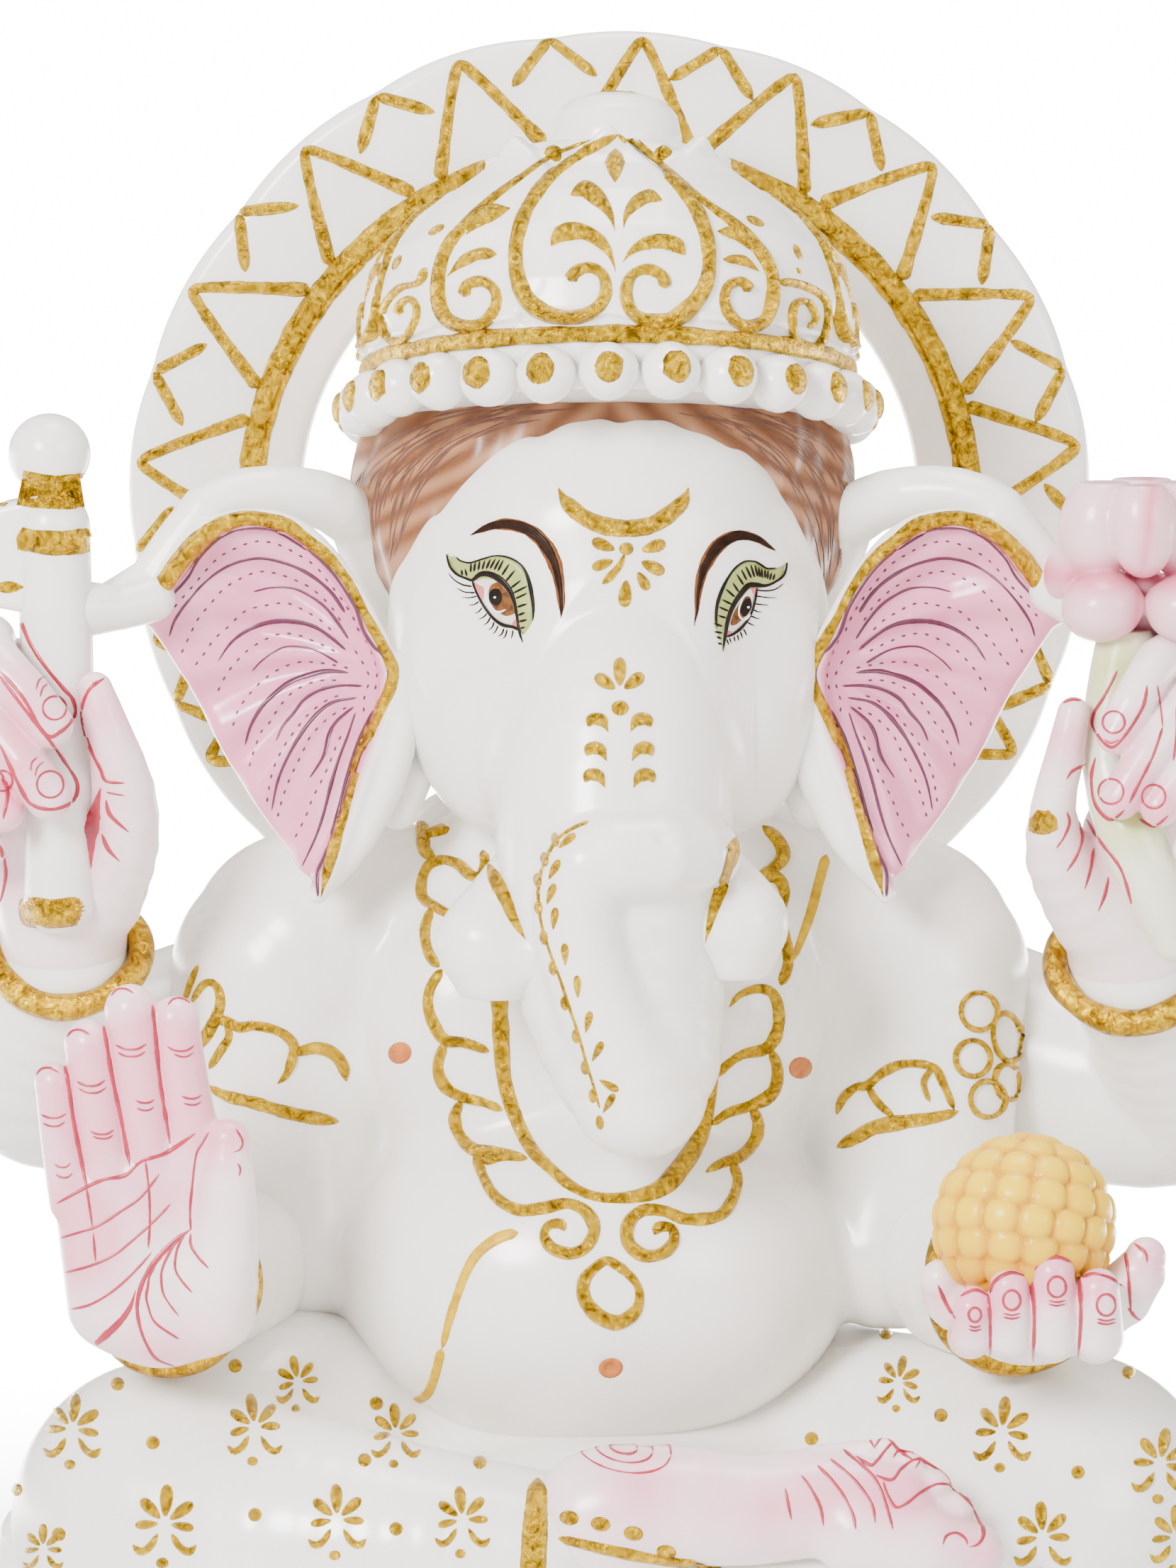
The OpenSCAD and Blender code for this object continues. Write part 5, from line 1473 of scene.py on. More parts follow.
EYES = [
    dict(lid=[(-41.6, 320.6), (-40.6, 317.2), (-38.6, 315), (-35.2, 314), (-33, 316.2), (-30.2, 316),
              (-27.8, 314.8), (-25.8, 312), (-24.4, 308.4), (-23.6, 304.8), (-22.8, 301.6), (-22.2, 300),
              (-20.6, 302), (-19.72, 304), (-19.6, 308.4), (-20.6, 313.2), (-22.2, 316.8), (-25, 319.2),
              (-27.8, 320), (-31, 319.6), (-34.6, 318.6), (-37.4, 318.6), (-39.2, 320)],
         white=[(-35, 313.8), (-33, 315.2), (-30.2, 315), (-27.4, 313.2), (-25.4, 310.4), (-24, 306.8),
                (-23.2, 302.4), (-25, 302.2), (-27.4, 303), (-29.8, 304.6), (-32.2, 307.6), (-34, 310.8)],
         iris=[(-31.6, 311.6), (-30.8, 313.6), (-28.6, 314.2), (-26.6, 312.4), (-25, 310), (-24, 306.8),
               (-23.8, 304.8), (-25.8, 303.92), (-27.8, 304.6), (-29.8, 306.2), (-31.32, 308.8)],
         pupil=[(-31.2, 310), (-30.8, 311.6), (-29.4, 312.48), (-27.8, 312.2), (-26.88, 310.4),
                (-27, 308.4), (-28.2, 307), (-29.8, 307.2), (-30.92, 308.4)],
         ring=[(-30.52, 312.48, 0.32), (-31.4, 311, 0.52), (-31.48, 309.4, 0.52), (-30.92, 307.8, 0.48),
               (-29.6, 306.4, 0.48), (-28, 305.88, 0.52), (-26.4, 306.6, 0.4)],
         blush=[(-34.84, 313.52), (-33.4, 313.2), (-31.88, 312.4), (-31.72, 310.4), (-32.4, 308.4),
                (-33.8, 310.8)],
         corner=[(-24.4, 304), (-23.72, 304), (-23.28, 302), (-25, 302.6)],
         light=[(-29.2, 309.68)], upper=[(-41.6, 320.6, 0.32), (-40.8, 317.6, 0.48), (-39, 315.52, 0.56),
                                         (-36.6, 314.48, 0.56), (-35, 314.08, 0.8), (-33, 315.52, 1.36),
                                         (-30.6, 315.52, 1.6), (-27.8, 314.08, 1.68), (-25.6, 311.6, 1.36),
                                         (-24.28, 308.4, 0.88), (-23.6, 304.8, 0.64), (-23, 300.8, 0.56),
                                         (-22.12, 298, 0.16)],
         crease=[(-39.2, 320, 0.32), (-38.2, 319, 0.4), (-35.8, 318.48, 0.44), (-32.6, 319.4, 0.44),
                 (-29.4, 320.2, 0.44), (-26.6, 320, 0.48), (-23.8, 318.8, 0.52), (-21.8, 316.8, 0.56),
                 (-20.6, 313.6, 0.96), (-19.8, 309.6, 0.96), (-19.48, 306.4, 0.64), (-19.6, 303.6, 0.2)],
         lower=[(-35, 313.8, 0.64), (-34, 311, 0.56), (-32.2, 307.6, 0.64), (-29.8, 304.4, 0.72),
                (-27.4, 302.6, 0.88), (-24.6, 302, 0.88), (-23, 301, 0.4)],
         lines=[[(-37.8, 316.8), (-37.6, 315.2)], [(-36.92, 317), (-36.4, 315)], [(-35.32, 318.4),
                (-35.48, 316)], [(-34.28, 318.6), (-34.6, 316.2)], [(-33.12, 319), (-33.52, 316.48)],
                [(-31.8, 319.12), (-32.52, 316.72)], [(-30.4, 319.4), (-31.48, 316.88)], [(-29.12, 319.52),
                (-30.52, 316.88)], [(-28, 319.4), (-29.48, 316.6)], [(-27.08, 319.2), (-28.52, 316.32)],
                [(-25.6, 318.2), (-27.52, 315.2)], [(-24.12, 316.6), (-26.52, 313.68)], [(-22.6, 314),
                (-25.2, 312)], [(-21, 312.52), (-24.6, 310.68)], [(-21, 310.72), (-24, 309.28)],
                [(-21, 308), (-23.6, 307.12)], [(-21.48, 305.8), (-23.4, 305)], [(-21, 303.92),
                (-23.2, 303.4)], [(-21.48, 302), (-22.92, 301.68)]],
         lashes=[[(-41.2, 315.8), (-39.6, 314), (-37.4, 312.8), (-35.08, 312.4)], [(-39.08, 312),
                 (-37, 311), (-34.32, 310.8)], [(-37.8, 309.72), (-36, 309.52), (-33.92, 309.92)],
                 [(-36.12, 307.6), (-34.6, 307.8), (-33.4, 308.6)], [(-34.6, 305.52), (-33.4, 306),
                 (-32.52, 307.12)], [(-33.6, 304), (-32.2, 304.6), (-31.32, 305.6)], [(-32.2, 302.6),
                 (-31.2, 303.2), (-30.44, 304.6)], [(-31, 301.28), (-30, 302), (-29.52, 303.4)],
                 [(-29.88, 300.2), (-29, 301.2), (-28.52, 302.48)], [(-28.6, 299.68), (-27.6, 300.2),
                 (-27, 301.68)], [(-27.32, 299.12), (-26.6, 299.8), (-26.2, 301.48)], [(-25.2, 299.08),
                 (-24.8, 300.2), (-24.72, 301.28)]],
         brow=[(-35.6, 325.4, 0.2), (-33, 326.72, 1.12), (-29.8, 327.92, 1.76), (-26.6, 328.28, 2.24),
               (-23.4, 327.8, 2.48), (-20.6, 326.72, 2.8), (-18, 324.72, 3.04), (-15.6, 321.6, 3.2),
               (-14, 318, 2.96), (-13.08, 314.4, 2.4), (-12.6, 310.8, 1.92), (-12.36, 307.6, 1.36),
               (-12.44, 304.2, 0.32)]),
    dict(lid=[(45.12, 318.48), (44.4, 315.2), (42, 313.52), (39.2, 312.48), (37.2, 313.12), (35.2, 313.12),
              (33.2, 311.12), (31.2, 308), (30, 304.4), (29.4, 300.4), (28.8, 296.4), (28, 298.8),
              (26.48, 302.8), (26.88, 305.2), (27.2, 308.4), (28.4, 311.6), (30, 314.8), (32, 317.2),
              (34.8, 318.72), (37.6, 318.48), (39.6, 316.88), (42.4, 317)],
         white=[(37.4, 312.2), (35.6, 312.4), (33.6, 310.4), (31.6, 307.2), (30.4, 304), (29.6, 300),
                (31.2, 300.4), (33.6, 302.4), (35.6, 304.8), (36.6, 308.4), (37, 310.8)],
         iris=[(36.08, 310.6), (34.2, 310.4), (32.6, 308.2), (31, 305.4), (30.12, 302), (31.6, 301.8),
               (34, 303.8), (35.8, 306), (36.4, 308.4)],
         pupil=[(35.8, 309.8), (34.2, 309.6), (33.2, 308), (32.64, 306), (33.2, 304.48), (34.48, 304.32),
                (35.8, 306), (36.32, 308)],
         ring=[(35.2, 310.4, 0.32), (33.84, 309.52, 0.32), (32.72, 306.4, 0.36), (33.12, 304.48, 0.48),
               (34.48, 304, 0.48), (35.68, 305.28, 0.32)],
         blush=[(35.8, 312.2), (37.28, 312), (36.88, 310), (36.2, 310.6)],
         corner=[(29.8, 301.2), (31, 301), (31.2, 300.32), (29.68, 299.92)],
         light=[(35.12, 307.12)], upper=[(45.12, 318.48, 0.24), (44.4, 315.4, 0.48), (42, 313.52, 0.56),
                                         (39.6, 312.6, 0.8), (37.4, 312.8, 1.36), (35.2, 312.6, 1.44),
                                         (33.2, 310.4, 1.36), (31.4, 307.6, 1.2), (30, 304, 1.04),
                                         (29.28, 300, 0.8), (28.72, 295.92, 0.16)],
         crease=[(42.48, 317.12, 0.32), (40, 317, 0.48), (38.4, 318, 0.48), (36.8, 318.8, 0.4),
                 (34.4, 318.8, 0.44), (32, 317.2, 0.48), (30.2, 314.8, 0.56), (28.4, 311.2, 0.88),
                 (27.28, 307.6, 0.88), (27, 304.4, 0.64), (27.2, 301.8, 0.16)],
         lower=[(37.4, 312.08, 0.48), (37.04, 309.2, 0.48), (36, 305.6, 0.48), (34, 302.4, 0.64),
                (31.6, 300.32, 0.72), (29.52, 299.52, 0.48)],
         lines=[[(33.4, 316.8), (34.8, 314)], [(34.52, 317.6), (36, 314.48)], [(35.8, 318), (36.8, 314.72)],
                [(36.88, 317.92), (37.6, 314.88)], [(37.8, 317.4), (38.2, 314.72)], [(38.6, 317),
                (38.8, 314.48)], [(39.48, 316.72), (39.48, 314.48)], [(40.28, 316.52), (40.08, 314.28)],
                [(41.12, 316), (40.68, 314)], [(42, 315.72), (41.48, 314)], [(32.2, 315.6), (34, 312.8)],
                [(31.2, 313.4), (32.8, 310.92)], [(29.4, 311.8), (31.8, 309.68)], [(28.4, 309.12),
                (31, 307.8)], [(27.68, 307.2), (30.2, 306.08)], [(27.48, 305), (29.6, 304.32)],
                [(26.4, 303), (28.6, 302.2)], [(26.48, 300.88), (28.6, 300.48)], [(27.08, 299.6),
                (28.4, 299.04)], [(27.4, 298.08), (28.48, 297.6)]],
         lashes=[[(44.24, 313.2), (42.4, 311.8), (40, 311.28), (37.4, 311.48)], [(42.6, 309.52),
                 (40, 309.6), (37.12, 310)], [(40.48, 307.6), (38.8, 307.76), (36.88, 308)],
                 [(38.88, 305.88), (37.6, 306), (36.48, 306.48)], [(38.4, 304.12), (37.2, 304.32),
                 (35.8, 305)], [(37, 302.32), (36, 302.72), (35, 303.28)], [(34.8, 299.8), (34.48, 300.72),
                 (34, 301.6)], [(33.8, 299.12), (33.52, 300), (33.2, 300.88)], [(32.8, 298.48),
                 (32.64, 299.28), (32.48, 300.08)], [(31.84, 298.28), (31.72, 299), (31.6, 299.68)],
                 [(30.88, 297.92), (30.68, 298.6), (30.48, 299.28)], [(30.24, 297.52), (30, 298.2),
                 (29.8, 298.88)]],
         brow=[(42.2, 321.52, 0.2), (40.4, 322.72, 1.04), (38, 324.32, 1.44), (35.2, 325.28, 1.84),
               (32.4, 325.36, 2.32), (29.6, 324.32, 2.8), (26.8, 321.92, 3.04), (24.8, 318.72, 2.8),
               (23.44, 315.6, 2.4), (22.72, 312.4, 1.76), (22.32, 309.2, 1.2), (22.12, 306, 0.64),
               (21.44, 302.4, 0.12)])]


def make_eyes():
    cast = sheet("head_and_trunk")
    layers = {name: Pile() for name in ("lids", "whites", "blush", "irises", "pupils", "lights", "outlines",
                                        "brows", "brow_edges")}
    for eye in EYES:
        patch(layers["lids"], flow(eye["lid"], 0.6, True), 0.10, cast, rings=6, flat=1)
        patch(layers["whites"], flow(eye["white"], 0.5, True), 0.16, cast, rings=6, flat=1)
        patch(layers["blush"], flow(eye["blush"], 0.4, True), 0.20, cast, flat=1)
        patch(layers["blush"], flow(eye["corner"], 0.4, True), 0.20, cast, flat=1)
        patch(layers["irises"], flow(eye["iris"], 0.5, True), 0.24, cast, flat=1)
        patch(layers["pupils"], flow(eye["pupil"], 0.4, True), 0.30, cast, flat=1)
        brush(layers["lights"], eye["ring"], 0.5, 0.36, cast, spacing=0.3, flat=True)
        patch(layers["lights"], oval(eye["light"][0], 0.42, 0.5, 90), 0.42, cast, flat=0.6)
        brush(layers["outlines"], eye["upper"], 1, 0.36, cast, spacing=0.4, rough=0.03, flat=True)
        brush(layers["outlines"], eye["crease"], 1, 0.24, cast, spacing=0.4, rough=0.04, flat=True)
        brush(layers["outlines"], eye["lower"], 1, 0.30, cast, spacing=0.4, rough=0.05, flat=True)
        for line in eye["lines"]:
            (ax, av), (bx, bv) = line
            brush(layers["outlines"], [(ax, av, 0.25), ((ax + bx) / 2, (av + bv) / 2, 0.6), (bx, bv, 0.55)],
                  0.4, 0.22, cast,
                  spacing=0.3, flat=True)
        for line in eye["lashes"]:
            brush(layers["outlines"], [(x, v, w) for (x, v), w in zip(line, (0.14, 0.30, 0.40, 0.42))], 0.3,
                  0.16, cast,
                  spacing=0.35, flat=True)
        brush(layers["brow_edges"], [(x, v, w * 1.12 + 0.25) for x, v, w in eye["brow"]], 2, 0.12, cast,
              spacing=0.5, across=7,
              rough=0.05)
        for offset, share in ((-0.28, 0.52), (0.0, 0.62), (0.26, 0.52)):
            away = [(x, v + offset * w, w * share) for x, v, w in eye["brow"]]
            brush(layers["brows"], away, 2, 0.2 + 0.02 * offset, cast, spacing=0.5, rough=0.1, flat=True)
    for name, material, slot in (("lids", lid_green, "eye_paint"), ("whites", eye_white, "eye_paint"),
                                 ("blush", eye_pink, "eye_paint"), ("irises", iris_brown, "eye_paint"),
                                 ("pupils", black, "eye_paint"), ("lights", eye_light, "eye_paint"),
                                 ("outlines", black, "eye_paint"), ("brow_edges", umber, "eye_paint"),
                                 ("brows", dark_umber, "eye_paint")):
        nodes = {"irises": ["painted_eyes"], "brows": ["painted_brows"]}.get(name, [])
        layers[name].piece("painted_" + name, material, slot, nodes)


# ------------------------------------------------------------------ gold and paint on the ears

EAR_GOLD = [(-126.6, 306.6, 1.66), (-124.1, 306.8, 2.76), (-120.7, 307.5, 3.18), (-117.9, 308.9, 4.01),
            (-113.8, 312.7, 5.11), (-110.3, 317.5, 5.53), (-106.9, 321.7, 5.53), (-103.4, 325.1, 5.11),
            (-98.6, 328.2, 4.42), (-93.1, 329.8, 3.87), (-87.5, 329.3, 4.01), (-82.7, 327.8, 4.42),
            (-77.9, 324.4, 3.87), (-72.3, 320.2, 3.18), (-68.2, 315.5, 2.76), (-64.7, 309.9, 2.35),
            (-62, 304.4, 2.49), (-58.5, 298.2, 3.18), (-56.1, 293.3, 3.04), (-55.3, 289.9, 3.04),
            (-56.6, 285.1, 3.04), (-59.2, 280.2, 3.18), (-62.3, 273.3, 2.9), (-64.6, 267.1, 2.76),
            (-66.7, 260.2, 2.9), (-68.9, 251.9, 3.18), (-71.5, 242.2, 3.04), (-73.8, 232.9, 0.55)]
EAR_EDGE_LINE = [(-125.5, 304.3, 0.55), (-120.7, 304.7, 0.69), (-115.9, 306.5, 0.69), (-111.4, 310.6, 0.62),
                 (-107.6, 314.8, 0.62), (-104.8, 319.6, 0.55), (-100, 324.4, 0.55), (-95.8, 326.5, 0.48),
                 (-90.3, 327.3, 0.55), (-84.8, 326.2, 0.55), (-79.9, 323.4, 0.55), (-75.1, 320.3, 0.62),
                 (-70.9, 316.1, 0.69), (-67.5, 311.3, 0.76), (-64.7, 306.5, 0.83), (-62.7, 300.9, 0.83),
                 (-60.2, 297.1, 0.76), (-58.2, 295.1, 0.69), (-56.6, 292, 0.83), (-56.6, 287.8, 0.83),
                 (-58.2, 283.7, 0.83), (-61.3, 278.8, 0.83), (-64, 273.3, 0.83), (-65.6, 268.5, 0.83),
                 (-67.7, 261.6, 0.83), (-69.8, 253.3, 0.83), (-72.5, 244.3, 0.83), (-74.5, 239.5, 0.97),
                 (-74.5, 233.2, 0.69)]
EAR_FAN = [[(-112.4, 299.6, 0.28), (-111.4, 303, 0.62), (-109.3, 306.5, 0.62), (-106.9, 309.6, 0.55),
           (-104.1, 312.7, 0.55), (-100, 316.1, 0.55), (-95.1, 318.6, 0.62), (-89.6, 319.6, 0.62),
           (-84.8, 318.9, 0.69), (-79.9, 317.2, 0.83), (-75.1, 314.4, 0.83), (-70.9, 310.6, 0.83),
           (-67.6, 305.8, 0.83)], [(-91, 311, 0.35), (-86.1, 312.1, 0.41), (-80.6, 311.9, 0.48),
           (-75.8, 309.6, 0.55), (-72.3, 306.8, 0.62), (-69.6, 303.4, 0.69), (-66.7, 299, 0.55)],
           [(-100, 293.3, 0.28), (-96.5, 298.2, 0.62), (-91.7, 301.6, 0.97), (-86.1, 303.4, 1.17),
           (-79.9, 303.4, 1.11), (-75.1, 302, 0.9), (-70.9, 299.2, 0.83), (-67.4, 296.2, 0.62)],
           [(-91.3, 290.9, 0.21), (-88.2, 294, 0.35), (-83.4, 296.8, 0.41), (-78.5, 296.9, 0.48),
           (-74.4, 295.8, 0.48), (-69.4, 293, 0.55)], [(-93.1, 271.9, 0.28), (-91.7, 276.8, 0.69),
           (-88.9, 281.6, 0.97), (-85.5, 285.1, 1.17), (-82, 287.8, 1.24), (-77.9, 289.5, 1.24),
           (-72.3, 290.8, 1.11), (-66.7, 290.4, 0.55)], [(-85.1, 273, 0.28), (-83.4, 276.8, 0.62),
           (-80.6, 280.2, 0.76), (-77.9, 283.7, 0.76), (-73.7, 286.1, 0.83), (-68.9, 287.1, 0.69),
           (-63.2, 287, 0.55)], [(-86.3, 255.3, 0.28), (-85.1, 261.6, 0.55), (-83.4, 266.4, 0.69),
           (-80.6, 271.9, 0.83), (-77.9, 276.1, 0.97), (-74.4, 280.2, 0.97), (-70.3, 283, 0.76),
           (-64.6, 284, 0.48)], [(-76.5, 263.6, 0.28), (-73, 269.2, 0.76), (-71.6, 274.7, 0.9),
           (-69.6, 278.1, 0.83), (-65.3, 281.7, 0.48)], [(-78.5, 241, 0.28), (-75.1, 248.4, 0.55),
           (-73, 254.7, 0.69), (-70.9, 262.9, 0.83), (-68.9, 269.2, 0.76), (-66.8, 274.7, 0.55),
           (-64.9, 280.2, 0.35)]]
EAR_DASHES = [[(-113.1, 304.7), (-109.3, 309.2), (-106.2, 312.7), (-103.4, 316.1), (-100, 319.6),
              (-95.8, 322), (-90.3, 323.9), (-84.8, 323.1), (-79.2, 320.3), (-75.1, 317.5), (-72, 313.7),
              (-68.5, 309.2), (-65.4, 304.1), (-63.3, 298.9)], [(-109.3, 295.4), (-107.2, 299.9),
              (-105.1, 304.1), (-102, 307.9), (-98.6, 311.7), (-94.8, 314.1), (-89.9, 316.1),
              (-85.5, 315.8), (-81.3, 314.4), (-76.8, 312.3), (-73, 309.2), (-70.3, 306.1), (-68, 302.3)],
              [(-105.8, 292.3), (-103.4, 295.4), (-101, 298.9), (-97.2, 302.3), (-93.1, 306.1),
              (-87.9, 307.5), (-82.3, 308.1), (-77.2, 305.8), (-73.4, 303.4), (-69.7, 299.7)],
              [(-100, 285.7), (-97.9, 289.9), (-95.5, 293), (-92.4, 296.1), (-87.9, 298.9), (-83.4, 300.4),
              (-78.9, 299.8), (-75.1, 298.2), (-71.3, 296.5), (-68, 294.2)], [(-96.2, 276.8),
              (-94.8, 280.9), (-92.4, 284.4), (-88.9, 288.2), (-84.4, 291.3), (-79.9, 293), (-75.4, 293.1),
              (-70.3, 292.3), (-65.3, 291.3)], [(-92, 266.4), (-91, 269.9), (-88.9, 275.4), (-86.8, 277.8),
              (-84.4, 281.6), (-81.3, 285.1), (-77.2, 287.5), (-73, 288.5), (-68, 288.3)], [(-87.5, 257.4),
              (-86.8, 261.9), (-85.8, 266.1), (-83.4, 271.2), (-80.3, 275.7), (-76.5, 280.2),
              (-71.6, 283.7), (-68, 284.7)], [(-84.8, 253.6), (-83.7, 257.8), (-82.3, 261.9),
              (-80.6, 265.7), (-78.5, 269.9), (-76.5, 274), (-73.4, 277.5), (-70.3, 279.9), (-66.9, 281.7)],
              [(-80.3, 248.4), (-78.5, 251.9), (-77.2, 254.7), (-75.8, 258.5), (-73.7, 262.6),
              (-71.6, 267.1), (-69.6, 272.3), (-67.4, 276.4)], [(-65.1, 296.1), (-62.7, 292.3),
              (-61.1, 288.9)], [(-61.6, 287.5), (-62.8, 283.3), (-62.7, 279.5)], [(-62.3, 298.9),
              (-59.5, 291.3), (-60.4, 283.7)]]


def dashes(pile, line, width, height, cast, step=3.1, long=1.35):
    """A row of short strokes along a line."""
    track = flow([(x, v) for x, v in line], 0.3)
    every = max(int(step / 0.3), 2)
    keep = max(int(long / 0.3), 2)
    for i in range(0, len(track) - keep, every):
        brush(pile, track[i:i + keep + 1], width, height, cast, spacing=0.35, across=3)


def make_ear_paint():
    gold, lines = Pile(), Pile()
    for name, side, shift in (("ear_left", 1, 0.0), ("ear_right", -1, RIGHT_EAR_SHIFT)):
        cast = sheet(name)

        def place(line):
            return [(side * q[0] + shift, *q[1:]) for q in line]

        brush(gold, place(EAR_GOLD), 4, 1.0, cast, rough=0.05, across=7)
        brush(lines, place(EAR_EDGE_LINE), 0.6, 0.22, cast, spacing=0.7, rough=0.1, flat=True)
        for line in EAR_FAN:
            brush(lines, place(line), 0.6, 0.2, cast, spacing=0.6, rough=0.1, flat=True)
        for line in EAR_DASHES:
            dashes(lines, place(line), 0.5, 0.2, cast)
    gold.piece("gold_ear_rims", gilt, "gilding", ["gold_ear_rims"])
    lines.piece("painted_ear_lines", plum, "mark_paint")


# ------------------------------------------------------------------ necklace, thread and armlets


NECKLACE_BAND = [
    (-29.6, 222.8, 4), (-28.8, 214.8, 4.48), (-28.3, 208.4, 4.64), (-28, 202, 4.48), (-27.6, 194, 4.32),
    (-27.1, 187.6, 4), (-25.6, 181.2, 4), (-22.8, 174, 3.68), (-19.6, 168.4, 3.52), (-14.8, 163.6, 3.04),
    (-10, 159.6, 2.72), (-4.4, 157, 2.56), (2, 156.4, 2.88), (8.4, 157.2, 3.68), (14, 159.6, 4.96),
    (18.8, 165.2, 5.28), (22.4, 170.8, 4.48), (24.4, 176.4, 3.52), (25.8, 182.8, 3.04),
    (26.8, 189.2, 2.24), (27.8, 197.2, 1.76), (28.2, 206.8, 1.44), (28.4, 216.4, 1.28),
    (28.2, 223.6, 1.12)
]
NECKLACE_LEAVES = [
    [(-48.6, 254.2, 2.4), (-47.8, 250, 3.04), (-47.3, 245.2, 2.88), (-44.4, 243, 2.24)],
    [(-40.9, 250.8, 2.08), (-45.2, 249.5, 1.92), (-47.6, 249.2, 1.6)],
    [(-32.4, 245.2, 2.24), (-31.9, 241.2, 2.72), (-33.2, 237, 2.4)],
    [(-31.6, 237.8, 1.92), (-35.6, 238.8, 2.72), (-38.8, 241.6, 2.4), (-42.8, 242.6, 2.24),
     (-46.4, 241, 2.24), (-48, 237.2, 2.4), (-47.8, 233.2, 2.4), (-44.4, 230.6, 2.4), (-40.4, 228.4, 2.08),
     (-37.6, 226.2, 1.76)],
    [(-45.4, 230.4, 1.92), (-47.2, 224.4, 2.4), (-46.2, 218.8, 2.4), (-43.6, 215.2, 2.08)],
    [(-42.8, 214.8, 2.08), (-45.8, 210, 2.4), (-46.4, 205.2, 2.56), (-44.8, 200.4, 2.72),
     (-42, 196.6, 2.72), (-37.2, 196, 2.24), (-30.8, 193.8, 2.08)],
    [(-42.2, 196, 2.24), (-43.9, 190, 2.72), (-42.4, 185.2, 2.72), (-38.4, 182.4, 2.56),
     (-32.4, 180.8, 2.24), (-27.4, 178.8, 1.92)],
    [(-37.6, 181.6, 1.92), (-39.6, 177.2, 2.72), (-38.4, 172.4, 2.88), (-34.8, 168.8, 3.04),
     (-29.2, 168, 2.72), (-21, 166.4, 1.92)],
    [(-34.4, 168, 2.4), (-32.4, 162, 2.4), (-29.2, 156.8, 2.56), (-23.6, 153.4, 2.88),
     (-17.2, 153.8, 2.72), (-10.8, 155, 2.4), (-6, 152.8, 2.88), (-4, 148.4, 3.04), (-6, 144, 3.04),
     (-10, 142.2, 3.04), (-14.8, 143.6, 2.72), (-16.8, 146.8, 2.24), (-15.6, 149.4, 2.24),
     (-12.6, 149.8, 2.72), (-11.6, 148, 3.2)],
    [(-32.4, 165.2, 2.24), (-29.2, 166.6, 2.08), (-23.6, 166.8, 1.28)],
    [(38.8, 251.4, 1.92), (42.8, 247.6, 2.72), (44.2, 243.6, 3.04), (41.2, 240.2, 2.72), (37.6, 239, 1.92)],
    [(37.2, 238.8, 2.4), (42.6, 238, 2.72), (44.6, 234, 2.4), (43.4, 229.2, 2.08)],
    [(43.4, 228.8, 1.6), (44.6, 222.8, 2.08), (45.4, 216.4, 2.4), (43.6, 210.6, 2.24)],
    [(30.4, 205, 0.64), (33.2, 208.2, 1.6), (38, 209.8, 2.24), (41.6, 208.4, 2.4), (43.1, 203.6, 2.56),
     (42.4, 198, 2.88), (39.6, 194.4, 2.88), (34, 193, 2.4), (30, 190.4, 2.24), (26.8, 187.2, 1.92)],
    [(40.8, 194.4, 2.08), (42.6, 190, 2.4), (42.3, 185.2, 2.56), (40, 182, 2.72), (34.8, 179.6, 2.4),
     (30, 178, 2.08), (26, 175, 1.76)],
    [(36, 179.6, 2.08), (37.8, 175.6, 2.4), (36.8, 170.8, 2.72), (33.2, 167, 2.72), (28.4, 165.2, 2.24),
     (24.4, 163, 1.28)],
    [(30.8, 165.6, 2.24), (32.6, 161.2, 2.4), (31.2, 156, 2.56), (27.6, 151.8, 2.88), (19.6, 151, 2.72),
     (14, 153, 2.72), (8.4, 153.2, 2.88), (4.8, 150, 3.04), (4.6, 145.2, 3.04), (8.4, 141.8, 3.04),
     (13.2, 142.2, 2.72), (16.2, 145.2, 2.56), (15.8, 148.6, 2.24), (12.6, 149, 2.56), (11.4, 147, 3.04)]
]
PENDANT_LOOP = [
    (-0.4, 140.4, 2.4), (4, 137.6, 2.72), (7.2, 133.6, 2.4), (7.2, 128.8, 2.88), (4.4, 125.6, 3.52),
    (0.8, 124.6, 3.84), (-3.6, 126.8, 3.84), (-6.5, 130.8, 3.52), (-6.6, 135.2, 3.52),
    (-3.8, 138.6, 2.72), (-0.4, 140.4, 2.4), (4, 137.6, 2.72)
]
THREAD_LINES = [
    [(55.2, 244, 2.88), (53.4, 237.2, 2.56), (51, 228.4, 2.4), (47.6, 219.2, 1.76), (46.4, 216.4, 0.64)],
    [(-23.4, 147.6, 2.72), (-28.4, 146.2, 2.88), (-33.6, 142.4, 2.72), (-36.8, 137.2, 2.4),
     (-39.2, 130.8, 2.24), (-41.2, 124.4, 2.08), (-42.8, 118, 2.08)],
    [(-43, 118, 2.4), (-44.4, 112, 2.4), (-46.6, 106.4, 2.4), (-50.6, 104.8, 1.8), (-55.6, 108, 1.6),
     (-55.2, 104, 1)]
]


